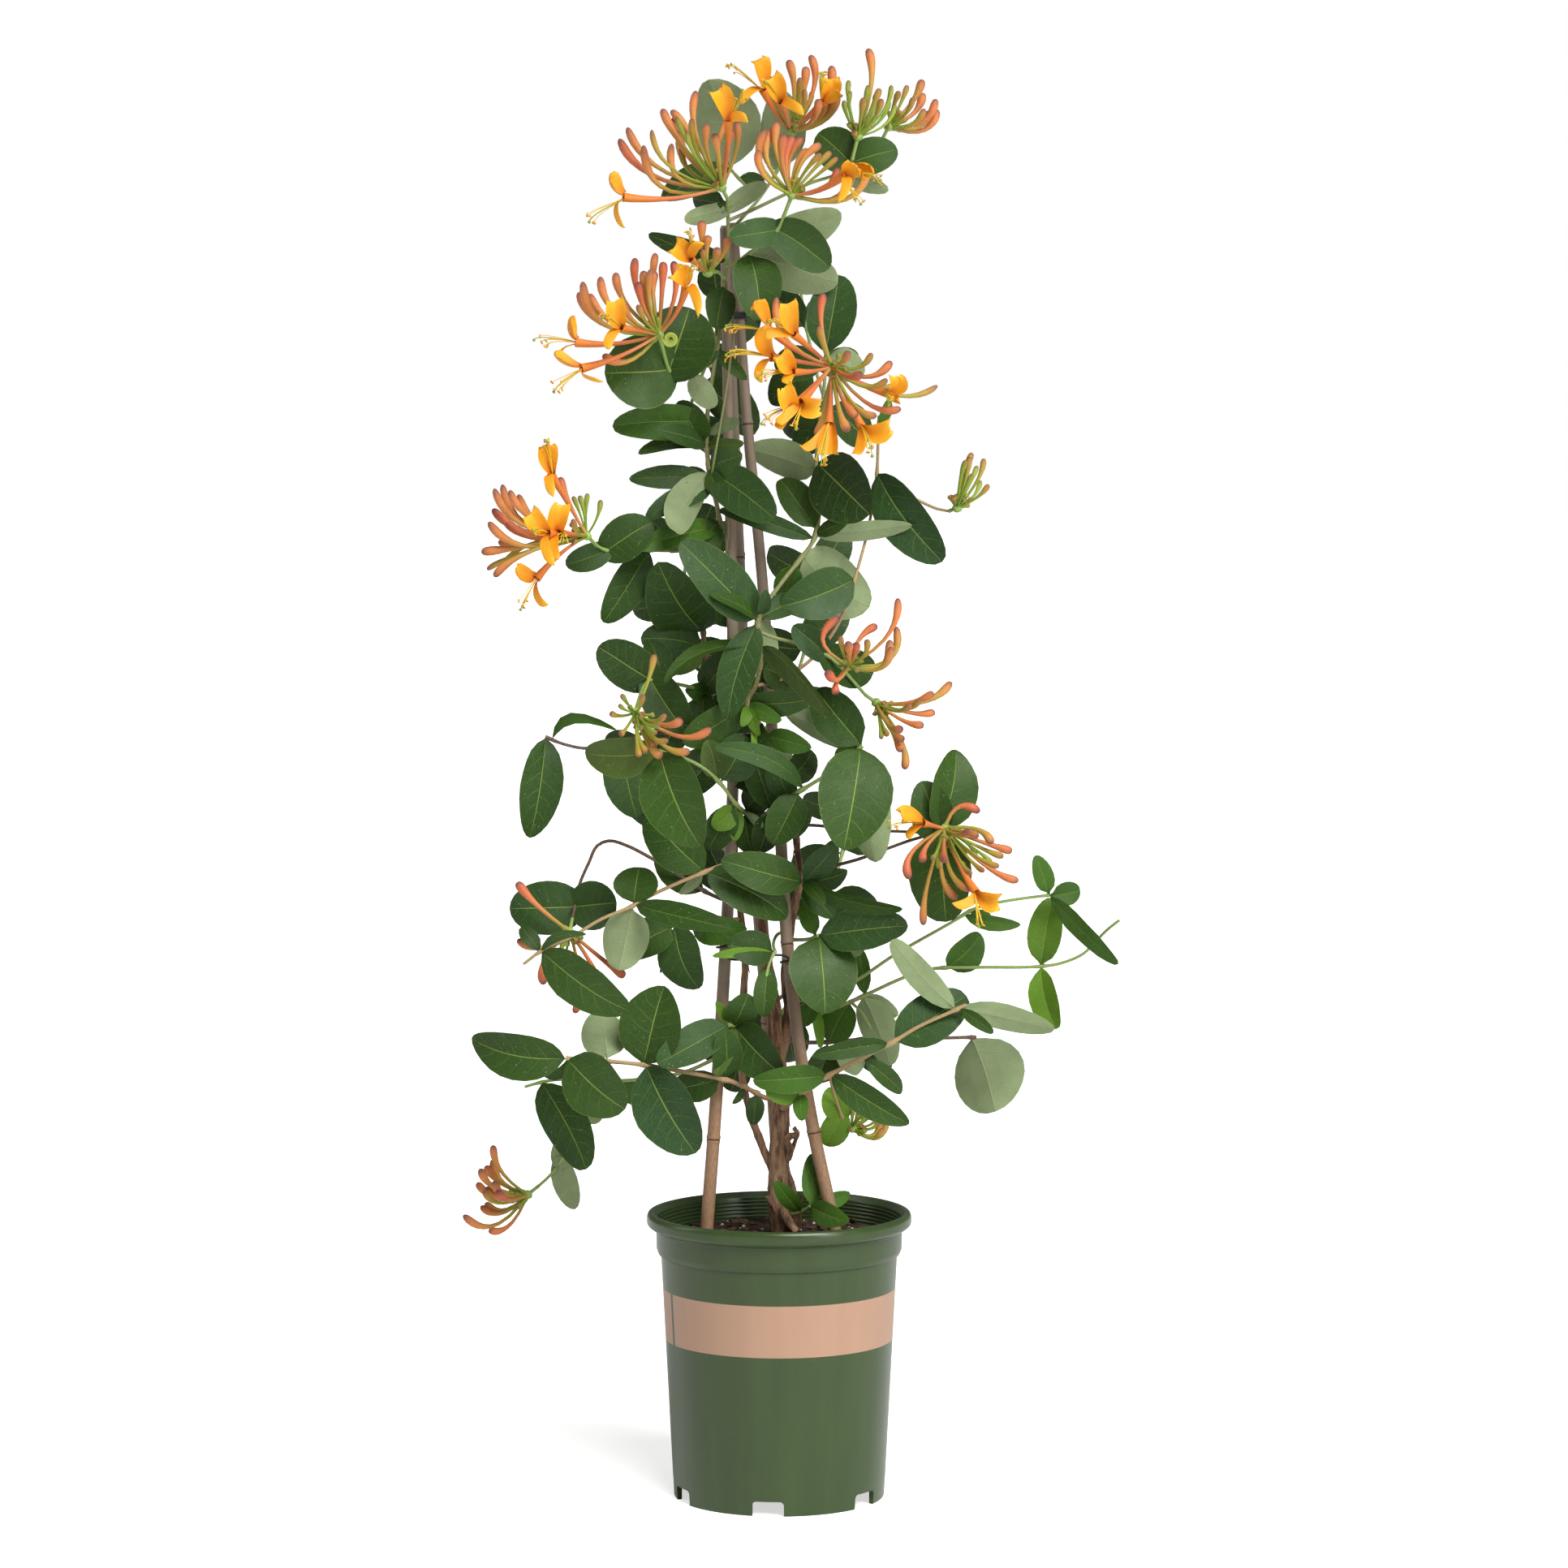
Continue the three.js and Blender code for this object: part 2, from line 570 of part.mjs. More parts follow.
growSpray('climber_right', {
  from: 'trunk',
  stems: [
    stem([2.0, 1.3], [[976, 1000, -14], [971, 975, -26], [958, 935, -38], [935, 893, -45], [921, 868, -48],
      [932, 842, -50], [938, 800, -52], [934, 763, -52], [960, 722, -46], [985, 690, -38], [1003, 664, -28],
      [1010, 625, -22], [1006, 575, -24], [1010, 520, -28], [1020, 480, -34]]),
    stem([1.3, 1.1], [[1011, 508, -29], [1016, 470, -22], [1018, 435, -16]], { side: true }),
  ],
  leaves: [
    leaf([922, 866, -48], [1000, 862, -62], 34),
    leaf([918, 868, -47], [841, 915, -50], 45),
    leaf([935, 893, -45], [948, 918, -62], 22, { roll: 30 }),
    leaf([945, 905, -43], [998, 922, -58], 28),
    leaf([950, 915, -41], [975, 934, -30], 26, { roll: 180 }),
    leaf([937, 797, -53], [818, 838, -74], 20, { roll: 45, bow: 0.11 }),
    leaf([940, 796, -53], [1024, 886, -72], 32, { roll: 30, bow: -0.18 }),
    leaf([932, 762, -53], [838, 668, -70], 62),
    leaf([930, 765, -53], [874, 733, -76], 18, { roll: 35 }),
    leaf([936, 758, -52], [944, 727, -66], 16),
    leaf([936, 764, -50], [990, 738, -34], 30),
    leaf([932, 768, -54], [896, 886, -62], 48),
    leaf([936, 762, -52], [950, 824, -44], 38, { roll: 180 }),
    leaf([990, 687, -36], [1072, 748, -8], 78, { roll: 180 }),
    leaf([982, 694, -37], [966, 742, -24], 36),
    leaf([1000, 662, -28], [886, 627, -28], 22),
    leaf([1003, 660, -28], [1124, 647, -36], 25, { roll: 180 }),
    leaf([1004, 657, -28], [1045, 640, -42], 20),
    leaf([1002, 650, -27], [962, 588, -14], 40),
    leaf([1008, 570, -24], [1072, 634, -44], 76),
    leaf([1005, 580, -23], [925, 552, 6], 30, { roll: 180 }),
    leaf([1018, 437, -16], [1033, 338, -10], 60),
    leaf([1018, 440, -16], [1064, 462, -10], 40, { roll: 180 }),
    leaf([1016, 448, -17], [952, 448, -10], 44),
  ],
});

growSpray('spray_top_back', {
  from: 'climber_left',
  stems: [
    stem([1.3, 1.1], [[897, 288, -21], [915, 268, -6], [935, 245, 6], [955, 215, 8], [967, 192, 6],
      [972, 178, 4]]),
    stem([1.1, 1.0], [[935, 245, 6], [915, 225, 18], [897, 205, 24]], { side: true }),
  ],
  leaves: [
    leaf([899, 208, 24], [880, 97, 26], 62, { roll: 180 }),
    leaf([899, 208, 24], [815, 246, 14], 24),
    leaf([910, 219, 20], [942, 224, 26], 20),
    leaf([958, 212, 8], [960, 110, 26], 57, { roll: 180 }),
  ],
});

growSpray('spray_top_middle', {
  from: 'climber_left',
  stems: [stem([1.4, 1.1], [[895, 330, -18], [915, 318, -28], [940, 300, -34], [958, 283, -38],
    [965, 268, -42]])],
  leaves: [
    leaf([958, 284, -38], [898, 293, -50], 32, JOINED),
    leaf([958, 284, -38], [1022, 330, -40], 46, JOINED),
    leaf([950, 290, -36], [1037, 262, -20], 48, { roll: 180 }),
    leaf([925, 311, -30], [1030, 347, -16], 62, { roll: 180 }),
    leaf([922, 313, -31], [937, 392, -50], 60),
  ],
});

growSpray('spray_top_right', {
  from: 'climber_left',
  stems: [
    stem([1.3, 1.1], [[897, 272, -23], [920, 262, -16], [960, 243, -10], [1000, 225, -8], [1030, 215, -10],
      [1044, 205, -10], [1050, 197, -19]]),
    stem([1.1, 1.0], [[1040, 208, -11], [1070, 190, 4], [1088, 170, 6]], { side: true }),
  ],
  leaves: [
    leaf([1048, 200, -13], [1008, 165, -16], 36, JOINED),
    leaf([1048, 200, -13], [1106, 187, -14], 30, JOINED),
    leaf([1036, 212, -11], [1095, 235, -4], 22, { roll: 180 }),
  ],
});

growSpray('spray_upper_left', {
  from: 'climber_left',
  stems: [stem([1.4, 1.1], [[880, 450, -14], [865, 452, -22], [845, 458, -30], [828, 461, -36],
    [822, 450, -41]])],
  leaves: [
    leaf([830, 461, -35], [744, 452, -46], 52, JOINED),
    leaf([830, 461, -35], [848, 378, -36], 46, JOINED),
    leaf([850, 456, -27], [880, 502, -34], 30, { roll: 180 }),
    leaf([858, 453, -25], [886, 434, -36], 22),
  ],
});

growSpray('spray_left_high', {
  from: 'climber_left',
  stems: [stem([1.5, 1.1], [[885, 672, -6], [862, 674, -8], [830, 678, -12], [800, 678, -20], [770, 678, -32],
    [747, 678, -38], [735, 672, -44]])],
  leaves: [
    leaf([748, 678, -38], [803, 643, -40], 54, JOINED),
    leaf([748, 678, -38], [697, 696, -40], 34, JOINED),
    leaf([800, 678, -20], [747, 767, -34], 46),
  ],
});

growSpray('climber_far_right', {
  from: 'climber_right',
  stems: [
    stem([1.4, 1.1], [[933, 846, -50], [960, 838, -42], [1000, 812, -36], [1032, 770, -31],
      [1060, 690, -24], [1072, 640, -18], [1080, 590, -18], [1082, 545, -20], [1083, 512, -22]]),
    stem([1.1, 1.0], [[1079, 604, -18], [1120, 612, -8], [1155, 627, -10], [1169, 630, -12]], { side: true }),
  ],
  leaves: [
    leaf([1020, 786, -33], [1020, 706, -52], 84),
    leaf([1080, 582, -18], [1162, 692, -30], 56),
  ],
});

growSpray('spray_centre_right', {
  from: 'climber_right',
  stems: [stem([1.4, 1.2], [[936, 778, -52], [955, 786, -57], [978, 792, -58], [1000, 800, -60],
    [1020, 808, -62],
    [1034, 820, -62], [1050, 838, -54], [1066, 856, -48]])],
  leaves: [
    leaf([1018, 807, -62], [977, 771, -66], 36, JOINED),
    leaf([1018, 807, -62], [1075, 830, -38], 50, JOINED),
  ],
});

growSpray('spray_right_front', {
  from: 'trunk',
  stems: [stem([1.6, 1.3], [[928, 1012, 6], [936, 1008, -10], [948, 1000, -26], [965, 987, -36],
    [990, 972, -44],
    [1010, 960, -50], [1040, 940, -55], [1062, 919, -58]])],
  leaves: [
    leaf([950, 999, -28], [925, 910, -32], 44),
    leaf([990, 972, -44], [880, 920, -66], 20, { roll: 40, bow: 0.08 }),
    leaf([985, 975, -43], [952, 1040, -50], 46),
    leaf([1062, 918, -58], [1005, 850, -48], 58),
    leaf([1060, 920, -58], [970, 877, -38], 36, { roll: 180 }),
    leaf([1062, 922, -58], [1040, 1047, -82], 94),
    leaf([1060, 921, -57], [1028, 938, -40], 24),
    leaf([1061, 922, -56], [1079, 1063, -40], 62, { roll: 180 }),
  ],
});

growSpray('spray_centre_left', {
  from: 'trunk',
  stems: [stem([1.5, 1.2], [[929, 1003, 6], [918, 1001, -18], [906, 990, -36], [890, 968, -45],
    [872, 950, -53],
    [845, 935, -62], [812, 925, -70]])],
  leaves: [
    leaf([887, 964, -46], [918, 906, -50], 54),
    leaf([884, 961, -47], [872, 912, -56], 34),
    leaf([908, 993, -34], [878, 1020, -38], 32),
    leaf([912, 997, -28], [905, 1036, -36], 18),
    leaf([813, 925, -70], [858, 1043, -90], 80),
    leaf([813, 925, -70], [720, 930, -66], 54, { roll: 180 }),
  ],
});

growSpray('spray_left', {
  from: 'trunk',
  stems: [stem([1.5, 1.1], [[898, 930, 8], [870, 915, 0], [835, 905, -8], [800, 902, -14], [762, 914, -20],
    [724, 922, -24], [695, 917, -28], [672, 908, -30]])],
  leaves: [
    leaf([672, 909, -30], [656, 1033, -36], 50),
    leaf([680, 912, -29], [760, 900, -46], 14, { bow: -0.38, roll: 30 }),
    leaf([761, 914, -20], [785, 1007, -26], 58),
    leaf([800, 903, -14], [850, 985, -10], 50),
  ],
});

growSpray('spray_left_upper', {
  from: 'trunk',
  stems: [stem([1.5, 1.1], [[884, 860, 6], [862, 850, -4], [835, 843, -24], [812, 839, -38], [800, 838, -46],
    [792, 847, -54]])],
  leaves: [
    leaf([803, 838, -45], [737, 797, -50], 48, JOINED),
    leaf([803, 838, -45], [845, 900, -44], 46, JOINED),
    leaf([815, 840, -36], [800, 787, -28], 34),
  ],
});

growSpray('spray_lower_left', {
  from: 'trunk',
  stems: [stem([1.6, 1.1], [[905, 1060, 8], [917, 1062, -10], [911, 1063, -37], [890, 1066, -45],
    [869, 1074, -48],
    [803, 1103, -52], [780, 1116, -54], [740, 1133, -56], [700, 1157, -58], [665, 1173, -58],
    [645, 1188, -56]])],
  leaves: [
    leaf([869, 1075, -48], [970, 1130, -34], 58),
    leaf([868, 1073, -48], [797, 1000, -46], 60),
    leaf([782, 1115, -54], [902, 1145, -84], 32, { roll: -20 }),
    leaf([780, 1114, -54], [787, 1067, -46], 56),
    leaf([779, 1118, -54], [762, 1195, -54], 58, { roll: 180 }),
    leaf([665, 1172, -58], [642, 1142, -50], 20),
    leaf([666, 1171, -58], [720, 1152, -72], 12, { bow: -0.14 }),
    leaf([668, 1174, -58], [770, 1250, -76], 60),
  ],
});

growSpray('spray_left_low', {
  from: 'trunk',
  stems: [stem([1.5, 1.1], [[912, 1112, 10], [890, 1108, 0], [868, 1098, -6], [830, 1074, -10],
    [800, 1056, -12],
    [770, 1041, -12], [750, 1036, -12], [736, 1042, -13], [726, 1062, -15], [714, 1090, -18],
    [708, 1118, -24],
    [705, 1132, -33]])],
  leaves: [
    leaf([709, 1118, -23], [628, 1120, -28], 68, JOINED),
    leaf([709, 1118, -23], [760, 1112, -24], 62, JOINED),
  ],
});

growSpray('spray_left_mid', {
  from: 'trunk',
  stems: [stem([1.4, 1.1], [[913, 1132, 10], [888, 1134, 2], [860, 1138, -14], [831, 1141, -26]])],
  leaves: [
    leaf([832, 1141, -26], [856, 1218, -40], 57),
    leaf([832, 1141, -26], [770, 1178, -30], 48),
    leaf([850, 1139, -18], [915, 1147, -48], 44),
  ],
});

growSpray('spray_bottom_left', {
  from: 'trunk',
  stems: [stem([2.0, 1.3], [[961, 1352, 1], [945, 1353, -6], [930, 1346, -18], [915, 1338, -32],
    [893, 1330, -46],
    [850, 1322, -51], [793, 1312, -53], [697, 1304, -55]])],
  leaves: [
    leaf([893, 1330, -46], [895, 1272, -62], 38),
    leaf([890, 1330, -47], [825, 1344, -40], 42),
    leaf([932, 1347, -16], [928, 1385, -24], 24),
    leaf([793, 1312, -53], [815, 1216, -60], 80),
    leaf([796, 1312, -53], [857, 1421, -64], 78),
    leaf([748, 1307, -54], [738, 1245, -44], 58, { roll: 180 }),
    leaf([698, 1304, -55], [579, 1283, -50], 60),
    leaf([699, 1304, -55], [766, 1369, -68], 78),
    leaf([700, 1304, -55], [666, 1325, -46], 14, { bow: -0.25 }),
  ],
});

growSpray('spray_bottom_left_back', {
  from: 'trunk',
  stems: [
    stem([1.6, 1.1], [[911, 1290, 8], [880, 1305, 18], [840, 1322, 32], [790, 1330, 40], [735, 1332, 42],
      [690, 1330, 34], [665, 1334, 24], [647, 1339, 18]]),
    stem([1.2, 1.1], [[735, 1332, 42], [715, 1378, 58], [697, 1422, 68], [678, 1448, 70], [664, 1461, 71]],
      { side: true }),
  ],
  leaves: [
    leaf([667, 1334, 25], [722, 1440, 6], 57),
    leaf([690, 1434, 69], [708, 1488, 76], 32, { joined: true, roll: 180 }),
    leaf([690, 1434, 69], [703, 1396, 76], 32, { joined: true, roll: 180 }),
    leaf([715, 1378, 58], [742, 1372, 52], 22, { roll: 180 }),
    leaf([790, 1330, 40], [775, 1362, 50], 44),
  ],
});

growSpray('spray_bottom_centre', {
  from: 'trunk',
  stems: [stem([1.3, 1.1], [[912, 1276, 9], [909, 1268, -8], [908, 1266, -22], [904, 1264, -36],
    [898, 1263, -44]])],
  leaves: [
    leaf([905, 1265, -36], [962, 1325, -54], 60),
    leaf([898, 1263, -44], [810, 1310, -66], 46),
    leaf([903, 1264, -38], [922, 1228, -52], 40),
  ],
});

growSpray('spray_middle', {
  from: 'trunk',
  stems: [
    stem([1.3, 1.1], [[973, 1148, 8], [960, 1150, -4], [953, 1162, -24], [955, 1173, -40]]),
    stem([1.1, 1.0], [[955, 1172, -39], [948, 1187, -43], [944, 1203, -44]], { side: true }),
  ],
  leaves: [
    leaf([955, 1172, -39], [898, 1164, -52], 43),
    leaf([944, 1200, -44], [941, 1253, -48], 30, JOINED),
  ],
});

growSpray('spray_right_middle', {
  from: 'trunk',
  stems: [stem([1.5, 1.2], [[973, 1158, 8], [986, 1158, -4], [997, 1157, -20], [1009, 1153, -34]])],
  leaves: [
    leaf([1009, 1153, -34], [1018, 1248, -54], 86),
    leaf([1009, 1153, -34], [1118, 1140, -50], 53),
    leaf([1006, 1154, -30], [990, 1112, -24], 24),
    leaf([1004, 1155, -28], [1062, 1174, -22], 24, { roll: 180 }),
  ],
});

growSpray('spray_right', {
  from: 'trunk',
  stems: [
    stem([1.5, 1.1], [[985, 1085, 4], [990, 1086, -14], [989, 1087, -39]]),
    stem([1.3, 1.1], [[989, 1086, -16], [1020, 1070, -20], [1060, 1058, -24], [1095, 1045, -26],
      [1120, 1036, -28],
      [1150, 1027, -36], [1159, 1023, -44]], { side: true }),
    stem([1.2, 1.0], [[979, 1016, -8], [1004, 1017, -12], [1050, 1022, -16], [1095, 1024, -20],
      [1120, 1025, -24],
      [1148, 1027, -35]]),
  ],
  leaves: [
    leaf([989, 1087, -38], [889, 1060, -62], 50),
    leaf([990, 1086, -38], [1032, 1043, -46], 34),
    leaf([988, 1087, -38], [1015, 1114, -58], 18),
    leaf([990, 1087, -38], [1107, 1129, -56], 24, { roll: 35 }),
    leaf([990, 1086, -30], [1045, 1076, -30], 30),
    leaf([989, 1087, -36], [1028, 1129, -44], 34),
    leaf([988, 1086, -20], [1030, 1036, -16], 26),
    leaf([1156, 1024, -40], [1182, 924, -34], 60),
    leaf([1152, 1026, -38], [1136, 963, -44], 54, JOINED),
    leaf([1156, 1025, -40], [1164, 1136, -48], 78),
  ],
});

growSpray('spray_far_right_upper', {
  from: 'trunk',
  stems: [stem([1.4, 1.0], [[971, 1232, 6], [1000, 1232, 0], [1030, 1222, -6], [1060, 1205, -12],
    [1100, 1178, -18],
    [1175, 1135, -30], [1200, 1120, -34], [1225, 1113, -38], [1260, 1107, -42],
    [1293, 1103, -44]])],
  leaves: [
    leaf([998, 1232, 0], [972, 1203, -4], 24),
    leaf([1000, 1232, 0], [992, 1264, -8], 22),
    leaf([1187, 1127, -32], [1257, 1140, -40], 20),
    leaf([1293, 1103, -44], [1275, 1056, -50], 14),
    leaf([1293, 1103, -44], [1331, 1097, -36], 30),
    leaf([1293, 1103, -44], [1378, 1188, -58], 18, { roll: 35 }),
  ],
});

growSpray('spray_far_right_lower', {
  from: 'trunk',
  stems: [
    stem([1.4, 1.0], [[972, 1257, 6], [1000, 1252, 2], [1035, 1240, 0], [1060, 1229, -2],
      [1110, 1206, -10], [1140, 1195, -14], [1200, 1192, -22],
      [1290, 1190, -30], [1310, 1186, -32], [1335, 1175, -36], [1350, 1160, -40], [1365, 1145, -46],
      [1379, 1134, -50]]),
    stem([1.1, 1.0], [[1048, 1234, -1], [1062, 1248, -10], [1073, 1267, -16]], { side: true }),
  ],
  leaves: [
    leaf([1062, 1228, -2], [1105, 1250, 6], 26, { roll: 180 }),
    leaf([1066, 1227, -3], [1057, 1167, -4], 22),
    leaf([1050, 1234, -1], [1022, 1284, 4], 46),
    leaf([1064, 1228, -2], [1098, 1310, 10], 46, { roll: 180 }),
    leaf([1163, 1191, -17], [1210, 1153, -18], 42),
    leaf([1283, 1190, -29], [1296, 1106, -28], 40),
    leaf([1283, 1190, -29], [1302, 1292, -34], 38),
  ],
});

growSpray('spray_bottom_right', {
  from: 'trunk',
  stems: [
    stem([2.2, 1.3], [[961, 1368, 1], [974, 1358, -20], [987, 1347, -43], [1000, 1337, -47],
      [1022, 1325, -49],
      [1050, 1310, -51], [1080, 1294, -53], [1100, 1284, -54], [1130, 1266, -55], [1178, 1244, -57],
      [1191, 1238, -57]]),
    stem([1.2, 1.1], [[1022, 1325, -49], [1027, 1345, -36], [1034, 1366, -28],
      [1041, 1385, -22]], { side: true }),
  ],
  leaves: [
    leaf([1102, 1283, -54], [1190, 1224, -46], 60),
    leaf([1096, 1286, -54], [1000, 1300, -68], 24),
    leaf([1178, 1244, -57], [1097, 1156, -62], 35, { roll: 180 }),
    leaf([1180, 1243, -57], [1299, 1268, -54], 34, { roll: 180 }),
    leaf([1182, 1243, -57], [1224, 1273, -66], 17),
    leaf([1020, 1326, -49], [928, 1332, -60], 38),
    leaf([1024, 1325, -49], [1120, 1385, -60], 40),
    leaf([1064, 1303, -52], [1116, 1347, -38], 24),
    leaf([986, 1348, -42], [945, 1345, -56], 30),
    leaf([988, 1347, -43], [988, 1380, -54], 20),
    leaf([1037, 1376, -25], [1020, 1340, -26], 36, JOINED),
    leaf([1037, 1376, -25], [1016, 1412, -24], 36, JOINED),
  ],
});

growSpray('spray_bottom_right_back', {
  from: 'trunk',
  stems: [stem([1.6, 1.2], [[966, 1280, 5], [985, 1284, 12], [1020, 1284, 16], [1060, 1281, 18],
    [1110, 1281, 16],
    [1160, 1279, 12], [1203, 1278, 8]])],
  leaves: [
    leaf([1197, 1278, 8], [1229, 1370, -4], 90, { roll: 180 }),
    leaf([1060, 1281, 18], [1046, 1324, 10], 40, { roll: 180 }),
    leaf([1066, 1281, 18], [1092, 1322, 26], 40),
    leaf([1020, 1284, 16], [1004, 1340, 30], 44),
  ],
});

growSpray('base_sprout', {
  from: 'trunk',
  stems: [stem([1.6, 1.1], [[967, 1496, -3], [978, 1496, -16], [988, 1493, -24], [999, 1486, -31]])],
  leaves: [
    leaf([988, 1493, -24], [955, 1458, -36], 24),
    leaf([999, 1486, -31], [1002, 1421, -22], 28),
    leaf([999, 1486, -31], [1049, 1470, -14], 20),
    leaf([999, 1486, -31], [1041, 1504, -60], 31),
  ],
});

// ---------------------------------------------------------------- the plant: its far side

growSpray('back_low_left', {
  from: 'trunk',
  stems: [stem([1.6, 1.2], [[906, 1050, 8], [893, 1046, 30], [865, 1022, 55], [835, 985, 74],
    [806, 940, 86]])],
  leaves: [
    leaf([866, 1023, 55], [905, 1100, 66], 56),
    leaf([866, 1023, 55], [806, 1062, 60], 50),
    leaf([835, 985, 74], [888, 920, 98], 52),
    leaf([835, 985, 74], [772, 1000, 84], 48),
    leaf([807, 941, 86], [848, 880, 102], 44),
    leaf([807, 941, 86], [745, 905, 103], 44),
  ],
});

growSpray('back_low_right', {
  from: 'trunk',
  stems: [stem([1.6, 1.2], [[975, 1132, 8], [998, 1124, 32], [1022, 1098, 56], [1038, 1050, 76],
    [1044, 1000, 86]])],
  leaves: [
    leaf([1022, 1098, 56], [1078, 1128, 66], 52),
    leaf([1022, 1098, 56], [955, 1118, 66], 50),
    leaf([1038, 1050, 76], [1082, 1000, 78], 50),
    leaf([1038, 1050, 76], [975, 1075, 88], 46),
    leaf([1044, 1001, 86], [1055, 935, 101], 48),
    leaf([1044, 1001, 86], [985, 985, 102], 34),
  ],
});

growSpray('back_mid_left', {
  from: 'trunk',
  stems: [stem([1.5, 1.2], [[882, 856, 6], [870, 835, 30], [850, 790, 55], [842, 735, 72], [846, 680, 82]])],
  leaves: [
    leaf([850, 790, 55], [905, 822, 66], 50),
    leaf([850, 790, 55], [795, 830, 62], 48),
    leaf([842, 735, 72], [905, 700, 82], 50),
    leaf([842, 735, 72], [778, 752, 80], 40),
    leaf([846, 681, 82], [878, 622, 100], 44),
    leaf([846, 681, 82], [800, 640, 88], 34),
  ],
});

growSpray('back_mid_right', {
  from: 'trunk',
  stems: [stem([1.5, 1.2], [[914, 916, 5], [936, 905, 28], [968, 862, 52], [992, 800, 70], [1004, 735, 80],
    [1008, 690, 84]])],
  leaves: [
    leaf([968, 862, 52], [1035, 880, 62], 50),
    leaf([968, 862, 52], [908, 850, 64], 46),
    leaf([992, 800, 70], [1042, 742, 74], 50),
    leaf([992, 800, 70], [930, 788, 84], 46),
    leaf([1006, 712, 82], [1042, 650, 84], 46),
    leaf([1006, 712, 82], [945, 680, 101], 44),
  ],
});

growSpray('back_top_left', {
  from: 'climber_left',
  stems: [stem([1.4, 1.1], [[871, 538, -14], [852, 530, 4], [848, 510, 26], [862, 470, 42], [880, 420, 52],
    [888, 372, 56]])],
  leaves: [
    leaf([848, 510, 26], [800, 535, 40], 38),
    leaf([848, 510, 26], [905, 560, 48], 46),
    leaf([862, 470, 42], [920, 505, 56], 44),
    leaf([880, 420, 52], [935, 372, 60], 46),
    leaf([880, 420, 52], [838, 448, 66], 36),
    leaf([888, 374, 56], [880, 315, 60], 42),
  ],
});

growSpray('back_top_right', {
  from: 'climber_right',
  stems: [stem([1.4, 1.1], [[1010, 528, -27], [1022, 522, -6], [1018, 500, 20], [1005, 455, 40],
    [994, 405, 50],
    [985, 350, 54]])],
  leaves: [
    leaf([1018, 500, 20], [1070, 545, 34], 46),
    leaf([1018, 500, 20], [960, 530, 40], 46),
    leaf([1005, 455, 40], [1062, 440, 52], 38),
    leaf([994, 405, 50], [945, 350, 60], 46),
    leaf([994, 405, 50], [1040, 360, 58], 42),
    leaf([985, 352, 54], [1000, 295, 58], 42),
  ],
});

growSpray('back_bottom', {
  from: 'trunk',
  stems: [stem([1.6, 1.2], [[953, 1236, 6], [968, 1226, 32], [966, 1245, 60], [944, 1275, 80],
    [915, 1295, 90]])],
  leaves: [
    leaf([966, 1245, 60], [1030, 1225, 66], 50),
    leaf([966, 1245, 60], [978, 1310, 74], 48),
    leaf([944, 1275, 80], [890, 1240, 84], 50),
    leaf([915, 1295, 90], [848, 1270, 103], 50),
    leaf([915, 1295, 90], [900, 1345, 88], 40),
  ],
});

// ---------------------------------------------------------------- the plant: flower heads

growHead('head_top_left', {
  from: 'climber_left',
  stalk: [[897, 246, -26]],
  hub: [889, 231, -30],
  buds: [
    [793, 179, -34, -0.17, 'orange'], [828, 177, -42, -0.2, 'orange'], [763, 171, -22, -0.1, 'rose'],
    [773, 157, -12, -0.1, 'orange'], [803, 160, -48, -0.1, 'lime'], [816, 134, -25, -0.04, 'orange'],
    [827, 136, -6, 0.03, 'orange'], [846, 162, -54, -0.05, 'green'], [858, 112, -30, -0.1, 'orange'],
    [853, 146, -50, -0.05, 'lime'], [836, 168, 0, -0.08, 'lime'], [880, 165, -58, 0, 'orange'],
    [903, 142, -16, -0.08, 'orange'], [907, 150, -40, 0.1, 'rose'],
  ],
  open: [
    { mouth: [786, 232, -46], bend: -0.08, lips: [[800, 266, -52], [760, 280, -50]] },
    { mouth: [893, 150, -62], bend: 0.03, lips: [[872, 118, -70], [915, 128, -68]] },
  ],
});

growHead('head_top_back', {
  from: 'spray_top_back',
  stalk: [[972, 178, 4]],
  hub: [975, 162, 2],
  buds: [
    [971, 74, -4, 0.03, 'orange'], [986, 96, -18, 0, 'lime'], [998, 68, 8, 0.13, 'orange'],
    [1024, 81, 0, 0.1, 'orange'], [991, 110, -30, 0.05, 'lime'], [1000, 113, 22, 0.05, 'green'],
    [1008, 122, -22, 0.1, 'orange'], [1017, 126, 14, 0.1, 'lime'], [1031, 115, -6, 0.12, 'rose'],
    [942, 80, 6, -0.08, 'orange'], [955, 96, -20, -0.05, 'orange'],
  ],
  open: [
    { mouth: [944, 112, -18], bend: -0.05, lips: [[940, 76, -22], [922, 120, -24]] },
    { mouth: [964, 112, -34], lips: [[960, 88, -40], [950, 130, -40]] },
  ],
});

growHead('head_top_middle', {
  from: 'spray_top_middle',
  stalk: [[965, 268, -42]],
  hub: [976, 240, -48],
  buds: [
    [944, 160, -52, -0.18, 'orange'], [958, 150, -38, -0.1, 'orange'], [935, 185, -64, -0.14, 'orange'],
    [967, 165, -66, -0.06, 'rose'], [990, 170, -36, -0.1, 'rose'], [1012, 178, -48, -0.1, 'orange'],
    [1012, 190, -74, -0.1, 'lime'], [1024, 187, -36, -0.05, 'lime'], [1032, 194, -58, 0, 'lime'],
    [1050, 203, -50, 0.2, 'rose'], [1070, 212, -42, 0.14, 'orange'],
  ],
  open: [
    { mouth: [1038, 212, -72], bend: 0.1, lips: [[1072, 226, -78], [1046, 256, -80]] },
  ],
});

